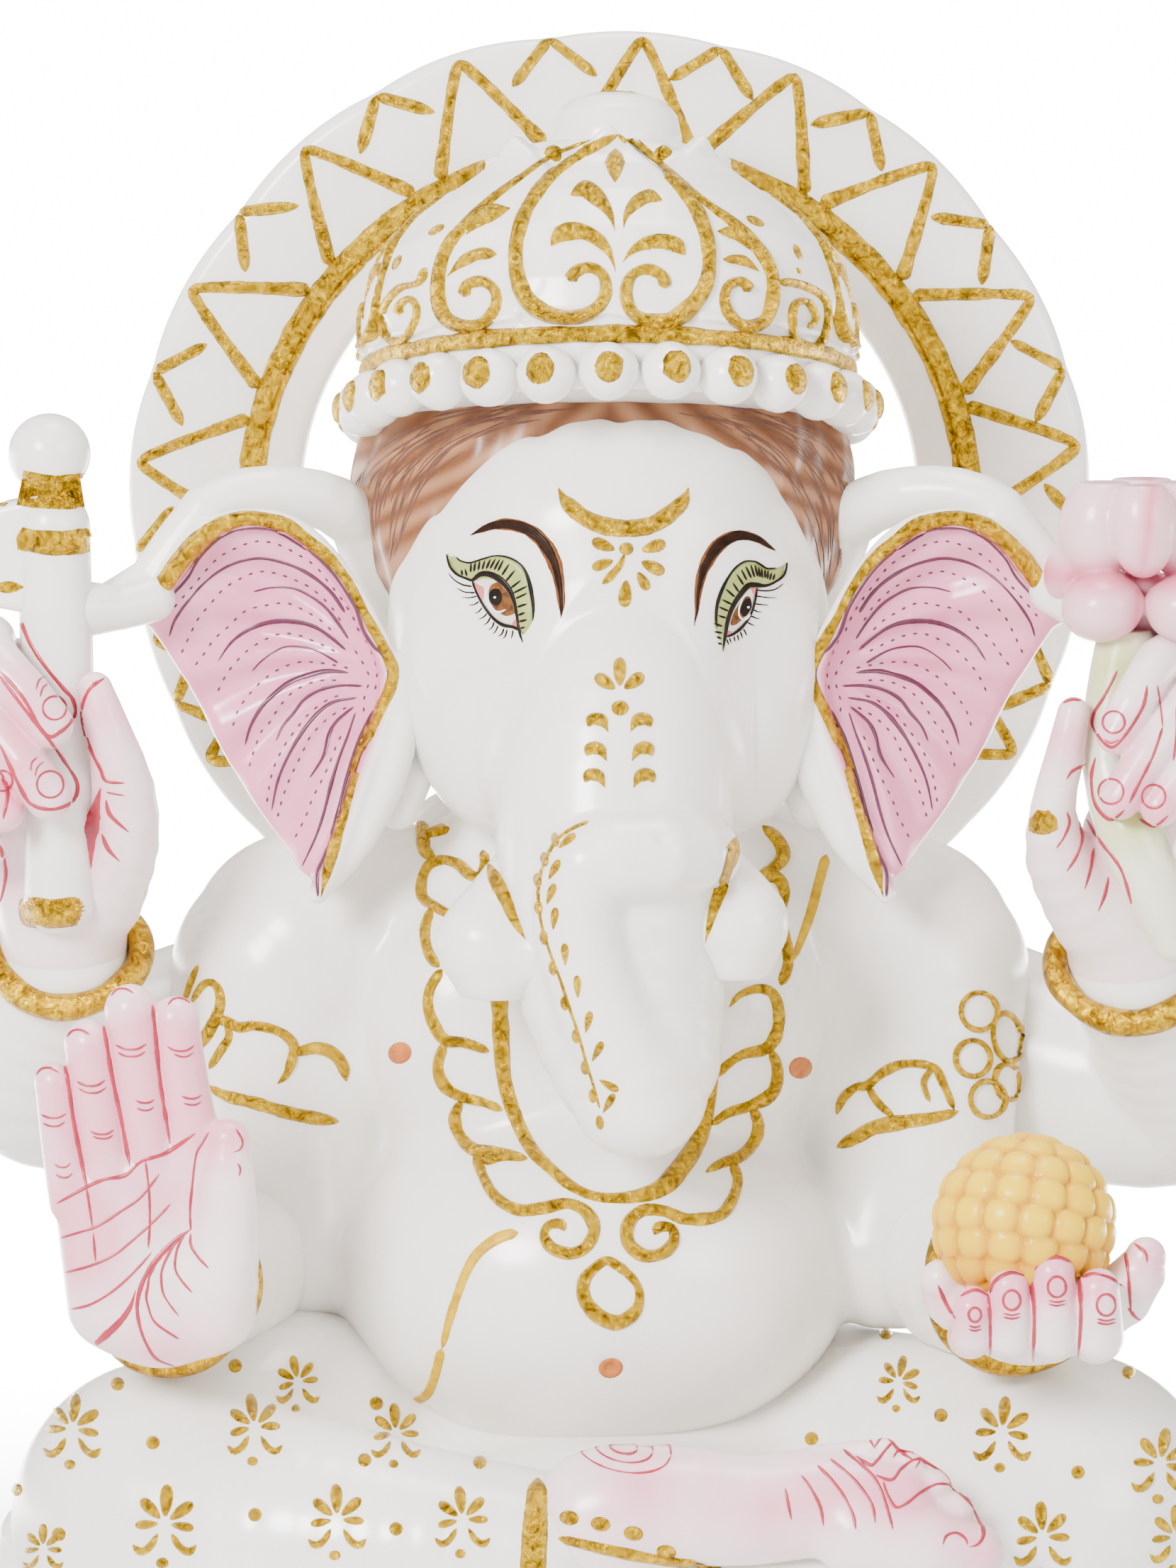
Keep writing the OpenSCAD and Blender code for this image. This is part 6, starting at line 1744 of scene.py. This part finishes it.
def make_necklace():
    cast = sheet("torso")
    pile = Pile()
    brush(pile, NECKLACE_BAND, 4, 1.5, cast, across=7, rough=0.04)
    for line in NECKLACE_LEAVES:
        brush(pile, [(x, v, 1.15 * w) for x, v, w in line], 2.5, 1.5, cast, taper=(0.15, 0.15), rough=0.05,
              spacing=0.7, across=7)
    pile.piece("gold_necklace", gilt, "gilding", ["gold_necklace"])
    pendant = Pile()
    loop = PENDANT_LOOP
    brush(pendant, loop, 3, 1.3, cast, taper=(0.02, 0.02), spacing=0.7, across=7)
    pendant.piece("gold_pendant", gilt, "gilding", ["gold_pendant"])

    thread = Pile()
    for line in THREAD_LINES:
        brush(thread, line, 2.4, 0.22, cast, taper=(0.15, 0.25), rough=0.04, across=7)
    thread.piece("sacred_thread", ochre, "thread_yellow", ["sacred_thread"])
    marks = Pile()
    for x, v, rx, ry, turn in ((-53.6, 193.4, 3.1, 2.8, 20), (48.6, 189.6, 3.1, 2.8, 20),
                               (0.2, 113, 3.2, 2.6, 10)):
        patch(marks, oval((x, v), rx, ry, turn), 0.25, cast, flat=0.9)
    marks.piece("painted_marks", terracotta, "mark_paint", ["painted_marks"])


ARMLET_LINES = [
    [(-103.1, 185.1, 2.28), (-97.8, 182.4, 2.74), (-90.2, 180.5, 3.2), (-82.5, 178.2, 3.35),
     (-74.9, 176.7, 3.35), (-69.2, 175.9, 2.28)],
    [(-101.2, 201.8, 2.28), (-97.8, 201.4, 2.59), (-94.7, 199.9, 2.59), (-90.9, 200.3, 2.44),
     (-86.3, 199.5, 2.59), (-82.5, 197.6, 2.74), (-80.6, 194.6, 2.74), (-82.2, 188.5, 2.13),
     (-84.8, 185.5, 1.22)],
    [(-81.4, 193.1, 2.28), (-74.9, 194.6, 3.35), (-70.4, 193.1, 3.5), (-68.1, 190, 3.04),
     (-67.3, 186.2, 1.98)],
    [(-106.9, 206, 1.52), (-103.9, 210.6, 1.98), (-101.6, 211.3, 1.98), (-99.7, 209, 2.28),
     (-99.7, 204.5, 2.74), (-103.1, 197.6, 3.04), (-106.9, 193.1, 1.52)],
    [(-97.8, 201.4, 1.98), (-97.2, 197.6, 2.13), (-98.9, 194.6, 2.28), (-102.3, 189.3, 1.83)],
    [(-108.4, 206.8, 1.07), (-106.5, 212.1, 1.37), (-105, 215.9, 0.91)],
    [(57.8, 177.7, 1.97), (59.4, 181.8, 2.46), (62.7, 184.6, 2.79), (65.6, 185.1, 2.79),
     (70.1, 188.7, 2.46), (75.5, 190.6, 2.3), (82.4, 189.8, 2.3), (84.9, 185.9, 2.3), (87.8, 178.9, 1.81)],
    [(57.8, 169.3, 2.96), (62.7, 171.8, 3.45), (67.7, 174.4, 3.61), (75.9, 175.9, 3.45),
     (82.4, 176.8, 3.12), (89, 178.5, 1.97)],
    [(65.6, 185.1, 1.64), (68.5, 180.5, 1.97), (72.6, 177, 1.48)],
    [(82.4, 189.8, 1.64), (80, 185.9, 1.64), (81.6, 180.9, 1.31)]
]


def make_armlets():
    cast = sheet("torso", "blessing_arm", "sweet_arm")
    pile = Pile()
    for line in ARMLET_LINES:
        brush(pile, line, 3, 1.1, cast, taper=(0.2, 0.2), rough=0.08, spacing=0.8, across=7)
    for x, v, rx, ry in ((94.2, 204, 4.6, 4.8), (92.6, 192, 4.4, 4.6), (96.4, 181.6, 4.4, 4.6),
                         (101.4, 197.4, 3.6, 6.2), (101.6, 186, 3.4, 4.6)):
        ring = oval((x, v), rx, ry, 10, n=12)
        brush(pile, [*ring, *ring[:2]], 1.5, 0.9, cast, taper=(0.02, 0.02), rough=0.1, spacing=0.8)
    pile.piece("gold_armlets", gilt, "gilding", ["gold_armlets"])


# ------------------------------------------------------------------ crimson lines on the hands and feet


def strokes(pile, lines, width, cast, height=0.2):
    for line in lines:
        brush(pile, line, width, height, cast, taper=(0.6, 0.9), rough=0.15, spacing=0.6, across=5,
              flat=True)


def nail(pile, x, v, rx, ry, cast, width=0.6, turn=0):
    ring = oval((x, v), rx, ry, turn, n=12)
    brush(pile, [*ring, *ring[:2]], width, 0.2, cast, taper=(0.02, 0.02), rough=0.1, spacing=0.5)


PALM_CREASES = [
    [(-139.2, 190.8), (-137.9, 183.9), (-137, 177.1), (-135.4, 168.7), (-133.9, 161.1), (-133.5, 158.8)],
    [(-129.3, 200.7), (-128.2, 194.2), (-127.1, 187.7), (-125.8, 181.6), (-124.8, 177.1), (-123.5, 170.2),
     (-122.5, 164.5)],
    [(-116.8, 205.6), (-116, 198.4), (-115.3, 190.8), (-114.7, 185.5), (-114.1, 181.6), (-113.1, 175.6),
     (-112.2, 170.2)],
    [(-141.1, 155), (-137.3, 157.1), (-133.5, 159.2), (-129, 161.1), (-123.6, 162.2), (-119.5, 165.7),
     (-113, 168), (-105.8, 172.9)],
    [(-106.9, 148.5, 0.76), (-111.8, 144.7, 1.37), (-116, 140.2, 1.37), (-119.1, 135.2, 1.07),
     (-120.6, 129.1, 0.91), (-119.8, 123.1, 0.76), (-117.5, 117.7, 0.76), (-115.3, 115.1, 0.61),
     (-111.1, 113.5, 0.3)]
]
PALM_LINES = [
    [(-133.5, 158.8), (-132.8, 154.3), (-132, 148.9)], [(-131.8, 147.4), (-131.5, 143.6), (-131.2, 140.2)],
    [(-118.5, 165.7), (-117.9, 161.1), (-117.5, 156.5), (-117.4, 149.7), (-117.8, 143.6)],
    [(-140.8, 146), (-135.4, 147.6), (-130.5, 149.3), (-125.2, 152.7), (-119.8, 156.5), (-114.9, 162.6)],
    [(-139.2, 137.3), (-132.8, 139), (-126.7, 141.7), (-121.4, 145.9), (-116, 150.8), (-112.1, 154.9)],
    [(-137.7, 128), (-132.8, 129.1), (-127.4, 132.2), (-122.1, 136.8), (-116.9, 142.5)],
    [(-102.3, 173.3), (-103.9, 170.6), (-105.4, 168), (-106.1, 164.1), (-106.5, 160.3), (-107.1, 153.5),
     (-106.9, 148.2)],
    [(-116, 139), (-117.5, 136.4), (-117.9, 133.7), (-118.3, 131.4), (-117.9, 129.1), (-116, 124.6),
     (-109.9, 120.4)],
    [(-109.6, 146.3), (-111.5, 144), (-113, 141.3), (-114.1, 138.7), (-114.5, 136), (-113.7, 131.4),
     (-109.9, 126.1)],
    [(-108.4, 147.4), (-109.9, 144.7), (-110.7, 142.1), (-110.9, 138.3), (-109.2, 135.2), (-106.5, 132.2)],
    [(-106.9, 147.4), (-106.9, 144.4), (-105, 141.3), (-102.3, 138.4)]
]
FINGER_JOINTS = [
    (-145.1, -138.7, 177.7, 0.8), (-144.7, -139, 175.6, 0.8), (-141.7, -137.5, 165.1, 0.8),
    (-141.3, -137.1, 162.5, 0.8), (-136, -128.8, 186.2, 1.1), (-135.5, -128.5, 184.4, 1.1),
    (-132.6, -126.6, 173.5, 0.8), (-132, -126.7, 172.2, 0.6), (-126.1, -118.2, 195.5, 1.1),
    (-125.5, -118.5, 193.5, 0.9), (-121, -116.2, 181.3, 0.6), (-120.7, -116.3, 179.4, 0.6),
    (-113, -106, 195.1, 1.1), (-111.3, -106.3, 193.3, 0.8), (-109.3, -104.2, 182.4, 0.6),
    (-108.9, -104.3, 180.7, 0.5)
]
SWEET_HAND_LINES = [
    [(96.4, 132.1, 0.99), (97, 125.1, 0.99), (97, 115.3, 0.66)],
    [(107.3, 137, 0.99), (108.3, 126.8, 0.99), (107.9, 114.4, 0.66)],
    [(119.8, 136.2, 0.99), (120.2, 126.8, 0.99), (119.5, 115.7, 0.66)],
    [(131.1, 144.8, 0.82), (132.1, 138.3, 0.82), (132.5, 133.3, 0.82), (132.9, 126.8, 0.49)],
    [(89.4, 131.3, 0.82), (93.1, 132.9, 0.82), (96.4, 131.5, 0.82)],
    [(97, 132.1, 0.82), (98.2, 135.1, 0.82), (102.1, 137.3, 0.82), (106.2, 136.4, 0.82)],
    [(107.6, 137, 0.82), (110.3, 140.4, 0.82), (114.4, 141.2, 0.82), (118.1, 139.7, 0.82)],
    [(119.9, 136, 0.82), (123.5, 137, 0.82), (127.6, 136, 0.82), (130.7, 134, 0.82)],
    [(83.7, 134.2), (85.7, 129.6), (88.2, 125.5)], [(133.7, 144.8), (136.6, 142.4), (137, 139.9)],
    [(132.1, 128.4), (134.2, 125.9), (135.8, 125.1)]
]
AXE_HAND_LINES = [
    [(-152.7, 308.4), (-150.3, 303.5), (-147.8, 297.7), (-144, 291.9), (-139.6, 286.6), (-137, 283.4),
     (-136.6, 279.3), (-140.1, 275.4), (-144, 274.7), (-149.8, 284.1), (-155.6, 290.9)],
    [(-155.6, 289.5), (-149.8, 281.7), (-144, 274.5), (-139.1, 267.7), (-135.9, 261.9), (-137.2, 257.5),
     (-142, 255.6), (-146.9, 256.5), (-149.8, 259.9), (-155.6, 272)],
    [(-129, 289), (-132.8, 286.1), (-134.8, 280.3), (-133.8, 274.5), (-131.9, 269.6), (-129.9, 265.7),
     (-128.5, 262.8), (-123.8, 262.2)]
]
AXE_PALM_LINES = [
    [(-129.9, 260.9, 1.74), (-131.4, 255.1, 2.91), (-132.3, 249.3, 3.1), (-132.3, 240.5, 1.16)],
    [(-128.5, 258, 0.97), (-127.5, 254.1, 1.16), (-122.7, 249.7, 0.78)],
    [(-129.6, 249.3, 0.97), (-128, 245.4, 1.16), (-125.1, 242.3, 0.78)],
    [(-128.5, 259.9, 0.78), (-123.8, 259, 0.58)], [(-155.6, 265.3), (-153.7, 259.9), (-154.8, 253.1)],
    [(-155.6, 246.4), (-154.2, 239.6), (-155.6, 231.8)]
]
AXE_KNUCKLES = [
    [(-145.4, 284.1), (-144.7, 286.6), (-143, 287.8)], [(-146.7, 263.8), (-146.1, 266.2), (-144.5, 267.7)],
    [(-146.4, 286.1), (-145.7, 288.5), (-144, 289.5)], [(-147.8, 265.3), (-147.5, 267.5), (-146.1, 268.8)]
]
LOTUS_HAND_LINES = [
    [(129.4, 290.9), (126.2, 284.5), (123.4, 279.8), (123.4, 276.2), (127.6, 271.5), (131.3, 274.3),
     (135.9, 281.7), (137, 287.2)],
    [(141, 276.6), (138.7, 269.7), (135, 262.3), (132.4, 257)],
    [(123.9, 268.8), (122.8, 263.2), (123.9, 256.8), (127.6, 252.9), (131.3, 255.4)],
    [(135, 253.1), (138.7, 251.2), (142.4, 254)],
    [(116.5, 254.9), (117.2, 252.2), (115.8, 248.5), (113.9, 245.7)],
    [(119.7, 252.6), (120.5, 248.5), (119.1, 243.8), (116.5, 239.7)],
    [(123.4, 245.7), (122.5, 240.2), (121.1, 235.1)], [(127.1, 238.3), (126.2, 233.7), (124.5, 229.5)],
    [(121.6, 253.1), (123.4, 249.8), (125.7, 246.6), (130.4, 240.2), (133.1, 231.4)],
    [(121.1, 266.9), (117.9, 265.3), (116.5, 263.2)], [(115.6, 282.6), (117.9, 283.5), (120.2, 283.2)]
]
FOOT_LINES = [
    [(86.5, 83.2, 0.82), (90.6, 80, 0.99), (93.9, 75.9, 0.99), (95.3, 70.9, 0.99), (93.9, 68.1, 0.99),
     (91.5, 67.4, 0.82)],
    [(84.9, 67.9), (85.9, 70.3), (88.6, 70.9), (90.8, 69.3), (91.1, 67.9)],
    [(86.9, 83.2), (86.5, 85.3), (83.3, 88.2), (80, 89.8), (77.1, 89.4), (74.2, 87.2), (71.8, 84.5),
     (67.7, 85.7)],
    [(86.9, 83.2), (83.3, 83.4), (79.1, 81.2), (75.9, 78.7), (73, 77.5), (70.9, 80.4), (69.7, 84.1)],
    [(72.2, 94.3), (70.1, 91.9), (68.1, 89.4), (66.4, 88.2), (62.7, 90.6)],
    [(59.4, 92.3), (65.2, 87.4), (67.5, 84.9), (69.3, 81.6), (70.9, 76.7), (72.2, 71.8)],
    [(56.2, 89.8), (60.3, 86.5), (63.5, 83.2), (66.8, 78.3), (67.7, 73.4)],
    [(52.9, 88.2), (56.2, 84.9), (59.4, 80.8), (61.9, 75.9), (62.7, 71.8)],
    [(48.8, 85.7), (51.2, 82.4), (53.7, 77.5), (54.5, 72.6)], [(44.7, 82.4), (45.5, 78.3), (46.3, 74.2)],
    [(76.7, 98), (79.1, 96.4), (81.6, 93.1), (84.9, 89)],
    [(67.7, 98.8), (70.1, 96.4), (73.4, 92.3), (77.5, 89.4)], [(62.7, 98), (65.6, 95.6), (67.7, 92.3)]
]


def make_hand_lines():
    pile = Pile()
    palm = sheet("blessing_hand")
    strokes(pile, PALM_CREASES, 0.95, palm)
    strokes(pile, PALM_LINES, 0.6, palm)
    strokes(pile, [[(-133.5, 117.3, 1.22), (-129.3, 120.8, 1.83), (-125.2, 124.6, 1.52),
                   (-122.5, 128.4, 1.22), (-121, 132.9, 0.61)]], 1.2, palm)
    for x0, x1, v, sag in FINGER_JOINTS:
        strokes(pile, [[(x0, v), (0.7 * x0 + 0.3 * x1, v - sag), (0.3 * x0 + 0.7 * x1, v - sag),
                        (x1, v + 0.3)]], 0.5, palm)
    for x, v in [(-143.4, 187.7), (-135.5, 197.4), (-124.2, 207.9), (-109.8, 205.5)]:
        strokes(pile, [[(x - 3, v), (x - 1.6, v + 1.6), (x + 0.6, v + 1.8), (x + 2.8, v + 0.6)]], 0.5, palm)
    strokes(pile, [[(-95.5, 174), (-93.8, 171), (-94.3, 168.9), (-96.2, 168)], [(-95.1, 165.3),
                   (-94.3, 163.8), (-94.7, 161.9)]], 0.5, palm)

    sweet_palm = sheet("sweet_hand")
    strokes(pile, SWEET_HAND_LINES, 0.9, sweet_palm)
    for (x, v), size in zip([(93.1, 126.6), (102.5, 130.3), (114, 133.7), (126.6, 129.1)],
                            (1.6, 2.2, 2.3, 2.4)):
        nail(pile, x, v, size, size * 1.15, sweet_palm, 0.7)
        for drop in (1.6, 2.5):
            strokes(pile, [[(x - size, v - size - drop + 0.5), (x, v - size - drop),
                            (x + size, v - size - drop + 0.5)]], 0.45, sweet_palm)

    grip = sheet("axe_hand", "axe_shaft")
    strokes(pile, AXE_HAND_LINES, 0.9, grip)
    strokes(pile, AXE_PALM_LINES, 1, grip)
    for (x, v), r in zip([(-141.7, 281.4), (-142.8, 261.9), (-155, 262.8)], (3.0, 3.4, 2.6)):
        nail(pile, x, v, r, r, grip)
    strokes(pile, AXE_KNUCKLES, 0.45, grip)

    grip = sheet("lotus_hand", "lotus_stem")
    strokes(pile, LOTUS_HAND_LINES, 0.75, grip)
    for (x, v), r in zip([(128.5, 277.8), (127.8, 260.1), (138.7, 258.8)], (2.8, 3.2, 3.0)):
        nail(pile, x, v, r, r, grip)
    strokes(pile, [[(126.2, 273.4), (127.8, 272.5), (129.9, 273.4)], [(139.6, 287.2), (140.5, 281.7),
                   (141, 276.6)], [(144.5, 281.7), (144.4, 274.3), (143.7, 267.8)]], 0.45, grip)

    sole = sheet("upper_foot")
    strokes(pile, FOOT_LINES, 0.75, sole)
    for size in (1.0, 0.62, 0.3):
        ring = oval((3.4, 93.2), 12.5 * size, 6.6 * size, -12, n=14)
        brush(pile, [*ring, *ring[:1]], 0.5, 0.18, sole, rough=0.2, spacing=0.7)
    for x, v in [(64.4, 95.6), (70, 94), (74.8, 91.6), (80.4, 88.8)]:
        strokes(pile, [[(x - 2.6, v - 1.4), (x, v + 1.8), (x + 2.8, v - 0.6)]], 0.5, sole)
    pile.piece("painted_hand_lines", crimson, "mark_paint")


# ------------------------------------------------------------------ gold on what the hands hold


def make_small_gold():
    axe = sheet("axe_shaft", "axe_blade", "axe_hand")
    pile = Pile()
    for v, wide in ((337.2, 8.8), (324.2, 6.4)):
        brush(pile, [(-151.4, v + 0.6, wide), (-146, v - 0.4, wide), (-140, v - 0.8, wide),
                     (-134.4, v - 0.2, wide), (-131.6, v + 0.4, wide * 0.9)], 5, 0.7, axe,
              taper=(0.01, 0.01), rough=0.04, across=9)
    patch(pile, flow([(-150.6, 232.3), (-146.9, 233.2), (-142, 232.6), (-136.2, 233.2), (-134.1, 230.9),
                      (-134.7, 226.5), (-141.1, 225.2), (-147.8, 225.4), (-150.4, 227)], 1.2, True), 0.7,
          axe)
    brush(pile, [(-157.5, 332.4, 2.52), (-155.6, 333.4, 2.91), (-153.5, 333.6, 1.94)], 3, 0.5, axe)
    brush(pile, [(-157.5, 312.2, 2.52), (-153.7, 312.2, 3.29), (-149.6, 312.2, 2.52)], 3, 0.5, axe)
    pile.piece("gold_axe_bands", gilt, "gilding", ["gold_axe_bands"])
    ring = Pile()
    brush(ring, [(107.1, 253.1, 5.54), (109.1, 252.3, 6.65), (111.4, 252.2, 6.65), (113.9, 253.3, 5.17)], 6,
          0.7, sheet("lotus_hand"), taper=(0.02, 0.02), rough=0.08, across=7)
    ring.piece("gold_thumb_ring", gilt, "gilding", ["gold_thumb_ring"])


# ------------------------------------------------------------------ gold on the dhoti


def make_dhoti_gold():
    cast = sheet("lap_dhoti")
    flowers = Pile()
    for (x, v), turn, size in zip([(-137.2, 97.6), (-90.6, 98), (-79.6, 109.6), (-54.6, 96.4),
                                   (-113.6, 73.4), (-69.6, 74.4), (-37.6, 74.4), (100, 96.8), (73.6, 109.6),
                                   (140.4, 88.8), (110.4, 70), (144.4, 70), (-144.6, 67)],
                                  (-6, 8, 12, 4, -4, 2, 6, -6, -12, -10, 4, 0, 0),
                                  (1.0, 0.95, 0.75, 0.85, 1.1, 1.0, 0.95, 1.0, 0.75, 1.0, 1.0, 0.9, 0.7)):
        for angle, long, wide in ((90, 7.6, 4.0), (138, 6.4, 3.6), (40, 6.6, 3.6), (188, 5.4, 2.8),
                                  (-6, 5.4, 2.8)):
            t = math.radians(angle + turn)
            dab(flowers, x + size * 1.5 * math.cos(t), v + size * 1.5 * math.sin(t), size * long,
                size * wide, angle + turn, 0.9, cast)
        for sign in (-1, 1):
            hook = [(1.6, -2.4, 1.5), (3.4, -5.4, 1.9), (5.6, -6.6, 2.0), (7.4, -5.0, 1.5)]
            brush(flowers, [(x + sign * size * a, v + size * b, size * w) for a, b, w in hook], 2, 0.8,
                  cast, spacing=0.6)
        patch(flowers, oval((x - 0.6, v - size * 9.2), 1.3 * size, 1.5 * size, 90), 0.8, cast, flat=0.3)
    flowers.piece("gold_dhoti_flowers", gilt, "gilding", ["gold_dhoti_flowers"])
    dots = Pile()
    for x, v in [(-116.6, 94), (-95.6, 113.6), (-90.6, 75.6), (-140.6, 70.6), (-62.6, 89.6), (-54.6, 72),
                 (-33.2, 89), (70.4, 122), (84.4, 101), (119.4, 86.4), (51.4, 95), (132.4, 112),
                 (-59.6, 104), (-125.6, 109), (-151.6, 82)]:
        patch(dots, oval((x, v), 1.8, 1.8, 0, n=12), 0.9, cast, flat=0.3)
    dots.piece("gold_dhoti_dots", gilt, "gilding", ["gold_dhoti_dots"])
    hem = Pile()
    cuff = sheet("lap_dhoti", "lower_foot", "upper_foot")
    brush(hem, [(-18.4, 85, 4), (-18.8, 78, 6), (-19.2, 70, 6.8), (-19.6, 62, 6.8), (-19.6, 54, 6)], 6, 1.3,
          cuff, taper=(0.1, 0.1), across=7)
    brush(hem, [(-13.2, 69.6, 2.4), (-1.6, 66.8, 2.8), (12.4, 64, 2.8), (28.4, 62, 2.4)], 2.5, 0.9, cuff)
    for x, v in [(-10.4, 74.8), (-2.4, 73.2), (6, 70.8), (14.4, 66)]:
        patch(hem, oval((x, v), 2.6, 1.9, -10), 0.8, cuff, flat=0.3)
    hem.piece("gold_dhoti_hem", gilt, "gilding", ["gold_dhoti_hem"])


HAIR_LOCKS = [
    ([(-7.6, 357.6), (-27.6, 353), (-43.6, 342), (-50, 330), (-55.6, 316)],
     [(-20, 361), (-45, 356), (-62, 345), (-66, 334), (-60, 316)]),
    ([(14.4, 357.6), (30.4, 352), (42.4, 342), (50.4, 328), (54, 312)],
     [(26, 361), (48, 355), (60, 345), (63, 332), (57, 312)])
]


def make_hair_strands():
    cast = sheet("hair")
    pile = Pile()
    for face, outer in HAIR_LOCKS:
        face, outer = np.array(face), np.array(outer)
        for i in range(42):
            t = (i % 14 + rng.uniform(0.2, 0.8)) / 14
            line = (1 - t) * face + t * outer
            line[:, 1] += 1.8 * np.sin(np.arange(5) * 1.9 + i * 2.1)
            track = flow(line, 1.2)
            start = int(rng.uniform(0, 0.68) * len(track))
            brush(pile, track[start:start + int(rng.uniform(0.22, 0.4) * len(track)):3],
                  rng.uniform(0.25, 0.6), 0.16,
                  cast, taper=(2, 2), rough=0.2)
    pile.piece("painted_hair_strands", strand_brown, "hair_brown")


make_head()
make_tusks()
make_hair()
make_ear("ear_left", False)
make_ear("ear_right", True)
make_lobes()
make_crown()
make_brim_pearls()
make_halo()
make_halo_bridge()
make_torso()
make_back_arms()
make_front_arms()
make_lap()
make_blessing_hand()
make_sweet_hand()
make_axe_hand()
make_lotus_hand()
make_axe()
make_lotus()
make_sweet()
make_bangles()
make_feet()
make_plinth()
make_crown_gold()
make_halo_gold()
make_face_gold()
make_eyes()
make_ear_paint()
make_necklace()
make_armlets()
make_hand_lines()
make_small_gold()
make_dhoti_gold()
make_hair_strands()

# ------------------------------------------------------------------ floor, light, camera


def make_stage():
    """A pale plain floor that glows behind the idol, like a lit studio sweep."""
    reach = 30.0
    mesh = bpy.data.meshes.new("floor")
    mesh.from_pydata([(-reach, -reach, 0), (reach, -reach, 0), (reach, reach, 0), (-reach, reach, 0)], [],
                     [(0, 1, 2, 3)])
    floor = bpy.data.objects.new("floor", mesh)
    bpy.context.scene.collection.objects.link(floor)
    m = Nodes("floor_white")
    m.set(roughness=0.9, base_color=(0.93, 0.93, 0.92, 1))
    m.shader.inputs["Specular IOR Level"].default_value = 0.0
    where = m.add("ShaderNodeTexCoord")
    split = m.add("ShaderNodeSeparateXYZ")
    m.link(where.outputs["Object"], split.inputs[0])
    glow = m.add("ShaderNodeMapRange", interpolation_type="SMOOTHSTEP")
    m.link(split.outputs["Y"], glow.inputs["Value"])
    for key, value in (("From Min", 0.20), ("From Max", 0.75), ("To Min", 0.0), ("To Max", 15.0)):
        glow.inputs[key].default_value = value
    m.link(glow.outputs["Result"], m.shader.inputs["Emission Strength"])
    m.shader.inputs["Emission Color"].default_value = (1.0, 0.995, 0.965, 1)
    mesh.materials.append(m.material)


def lamp(name, at, aim, size, power, colour=(1, 1, 1)):
    data = bpy.data.lights.new(name, "AREA")
    data.shape, data.size, data.energy, data.color = "DISK", size, power, colour
    obj = bpy.data.objects.new(name, data)
    obj.location = at
    obj.rotation_euler = (Vector(aim) - Vector(at)).to_track_quat("-Z", "Y").to_euler()
    bpy.context.scene.collection.objects.link(obj)


def make_light():
    world = bpy.data.worlds.new("studio")
    world.use_nodes = True
    tree = world.node_tree
    sky = tree.nodes["Background"]
    sky.inputs["Color"].default_value = (1.0, 0.97, 0.92, 1)
    where = tree.nodes.new("ShaderNodeTexCoord")
    split = tree.nodes.new("ShaderNodeSeparateXYZ")
    tree.links.new(where.outputs["Generated"], split.inputs[0])
    rise = tree.nodes.new("ShaderNodeMapRange")
    tree.links.new(split.outputs["Z"], rise.inputs["Value"])
    for key, value in (("From Min", -0.1), ("From Max", 0.9), ("To Min", 0.36), ("To Max", 1.25)):
        rise.inputs[key].default_value = value
    tree.links.new(rise.outputs["Result"], sky.inputs["Strength"])
    bpy.context.scene.world = world
    lamp("key", (-1.2, -2.0, 1.3), (0, 0, 0.25), 0.8, 135)
    lamp("fill", (1.6, -1.7, 0.9), (0, 0, 0.25), 1.0, 26)
    lamp("top", (0.1, 0.0, 2.2), (0, 0, 0.3), 1.0, 34)


def make_camera():
    data = bpy.data.cameras.new("camera")
    data.lens, data.sensor_width, data.sensor_fit = 270, 36, "AUTO"
    data.clip_start, data.clip_end = 0.1, 100
    cam = bpy.data.objects.new("camera", data)
    cam.location = Vector(EYE * MM)
    cam.rotation_euler = Vector(LOOK).to_track_quat("-Z", "Y").to_euler()
    bpy.context.scene.collection.objects.link(cam)
    bpy.context.scene.camera = cam


make_stage()
make_light()
make_camera()
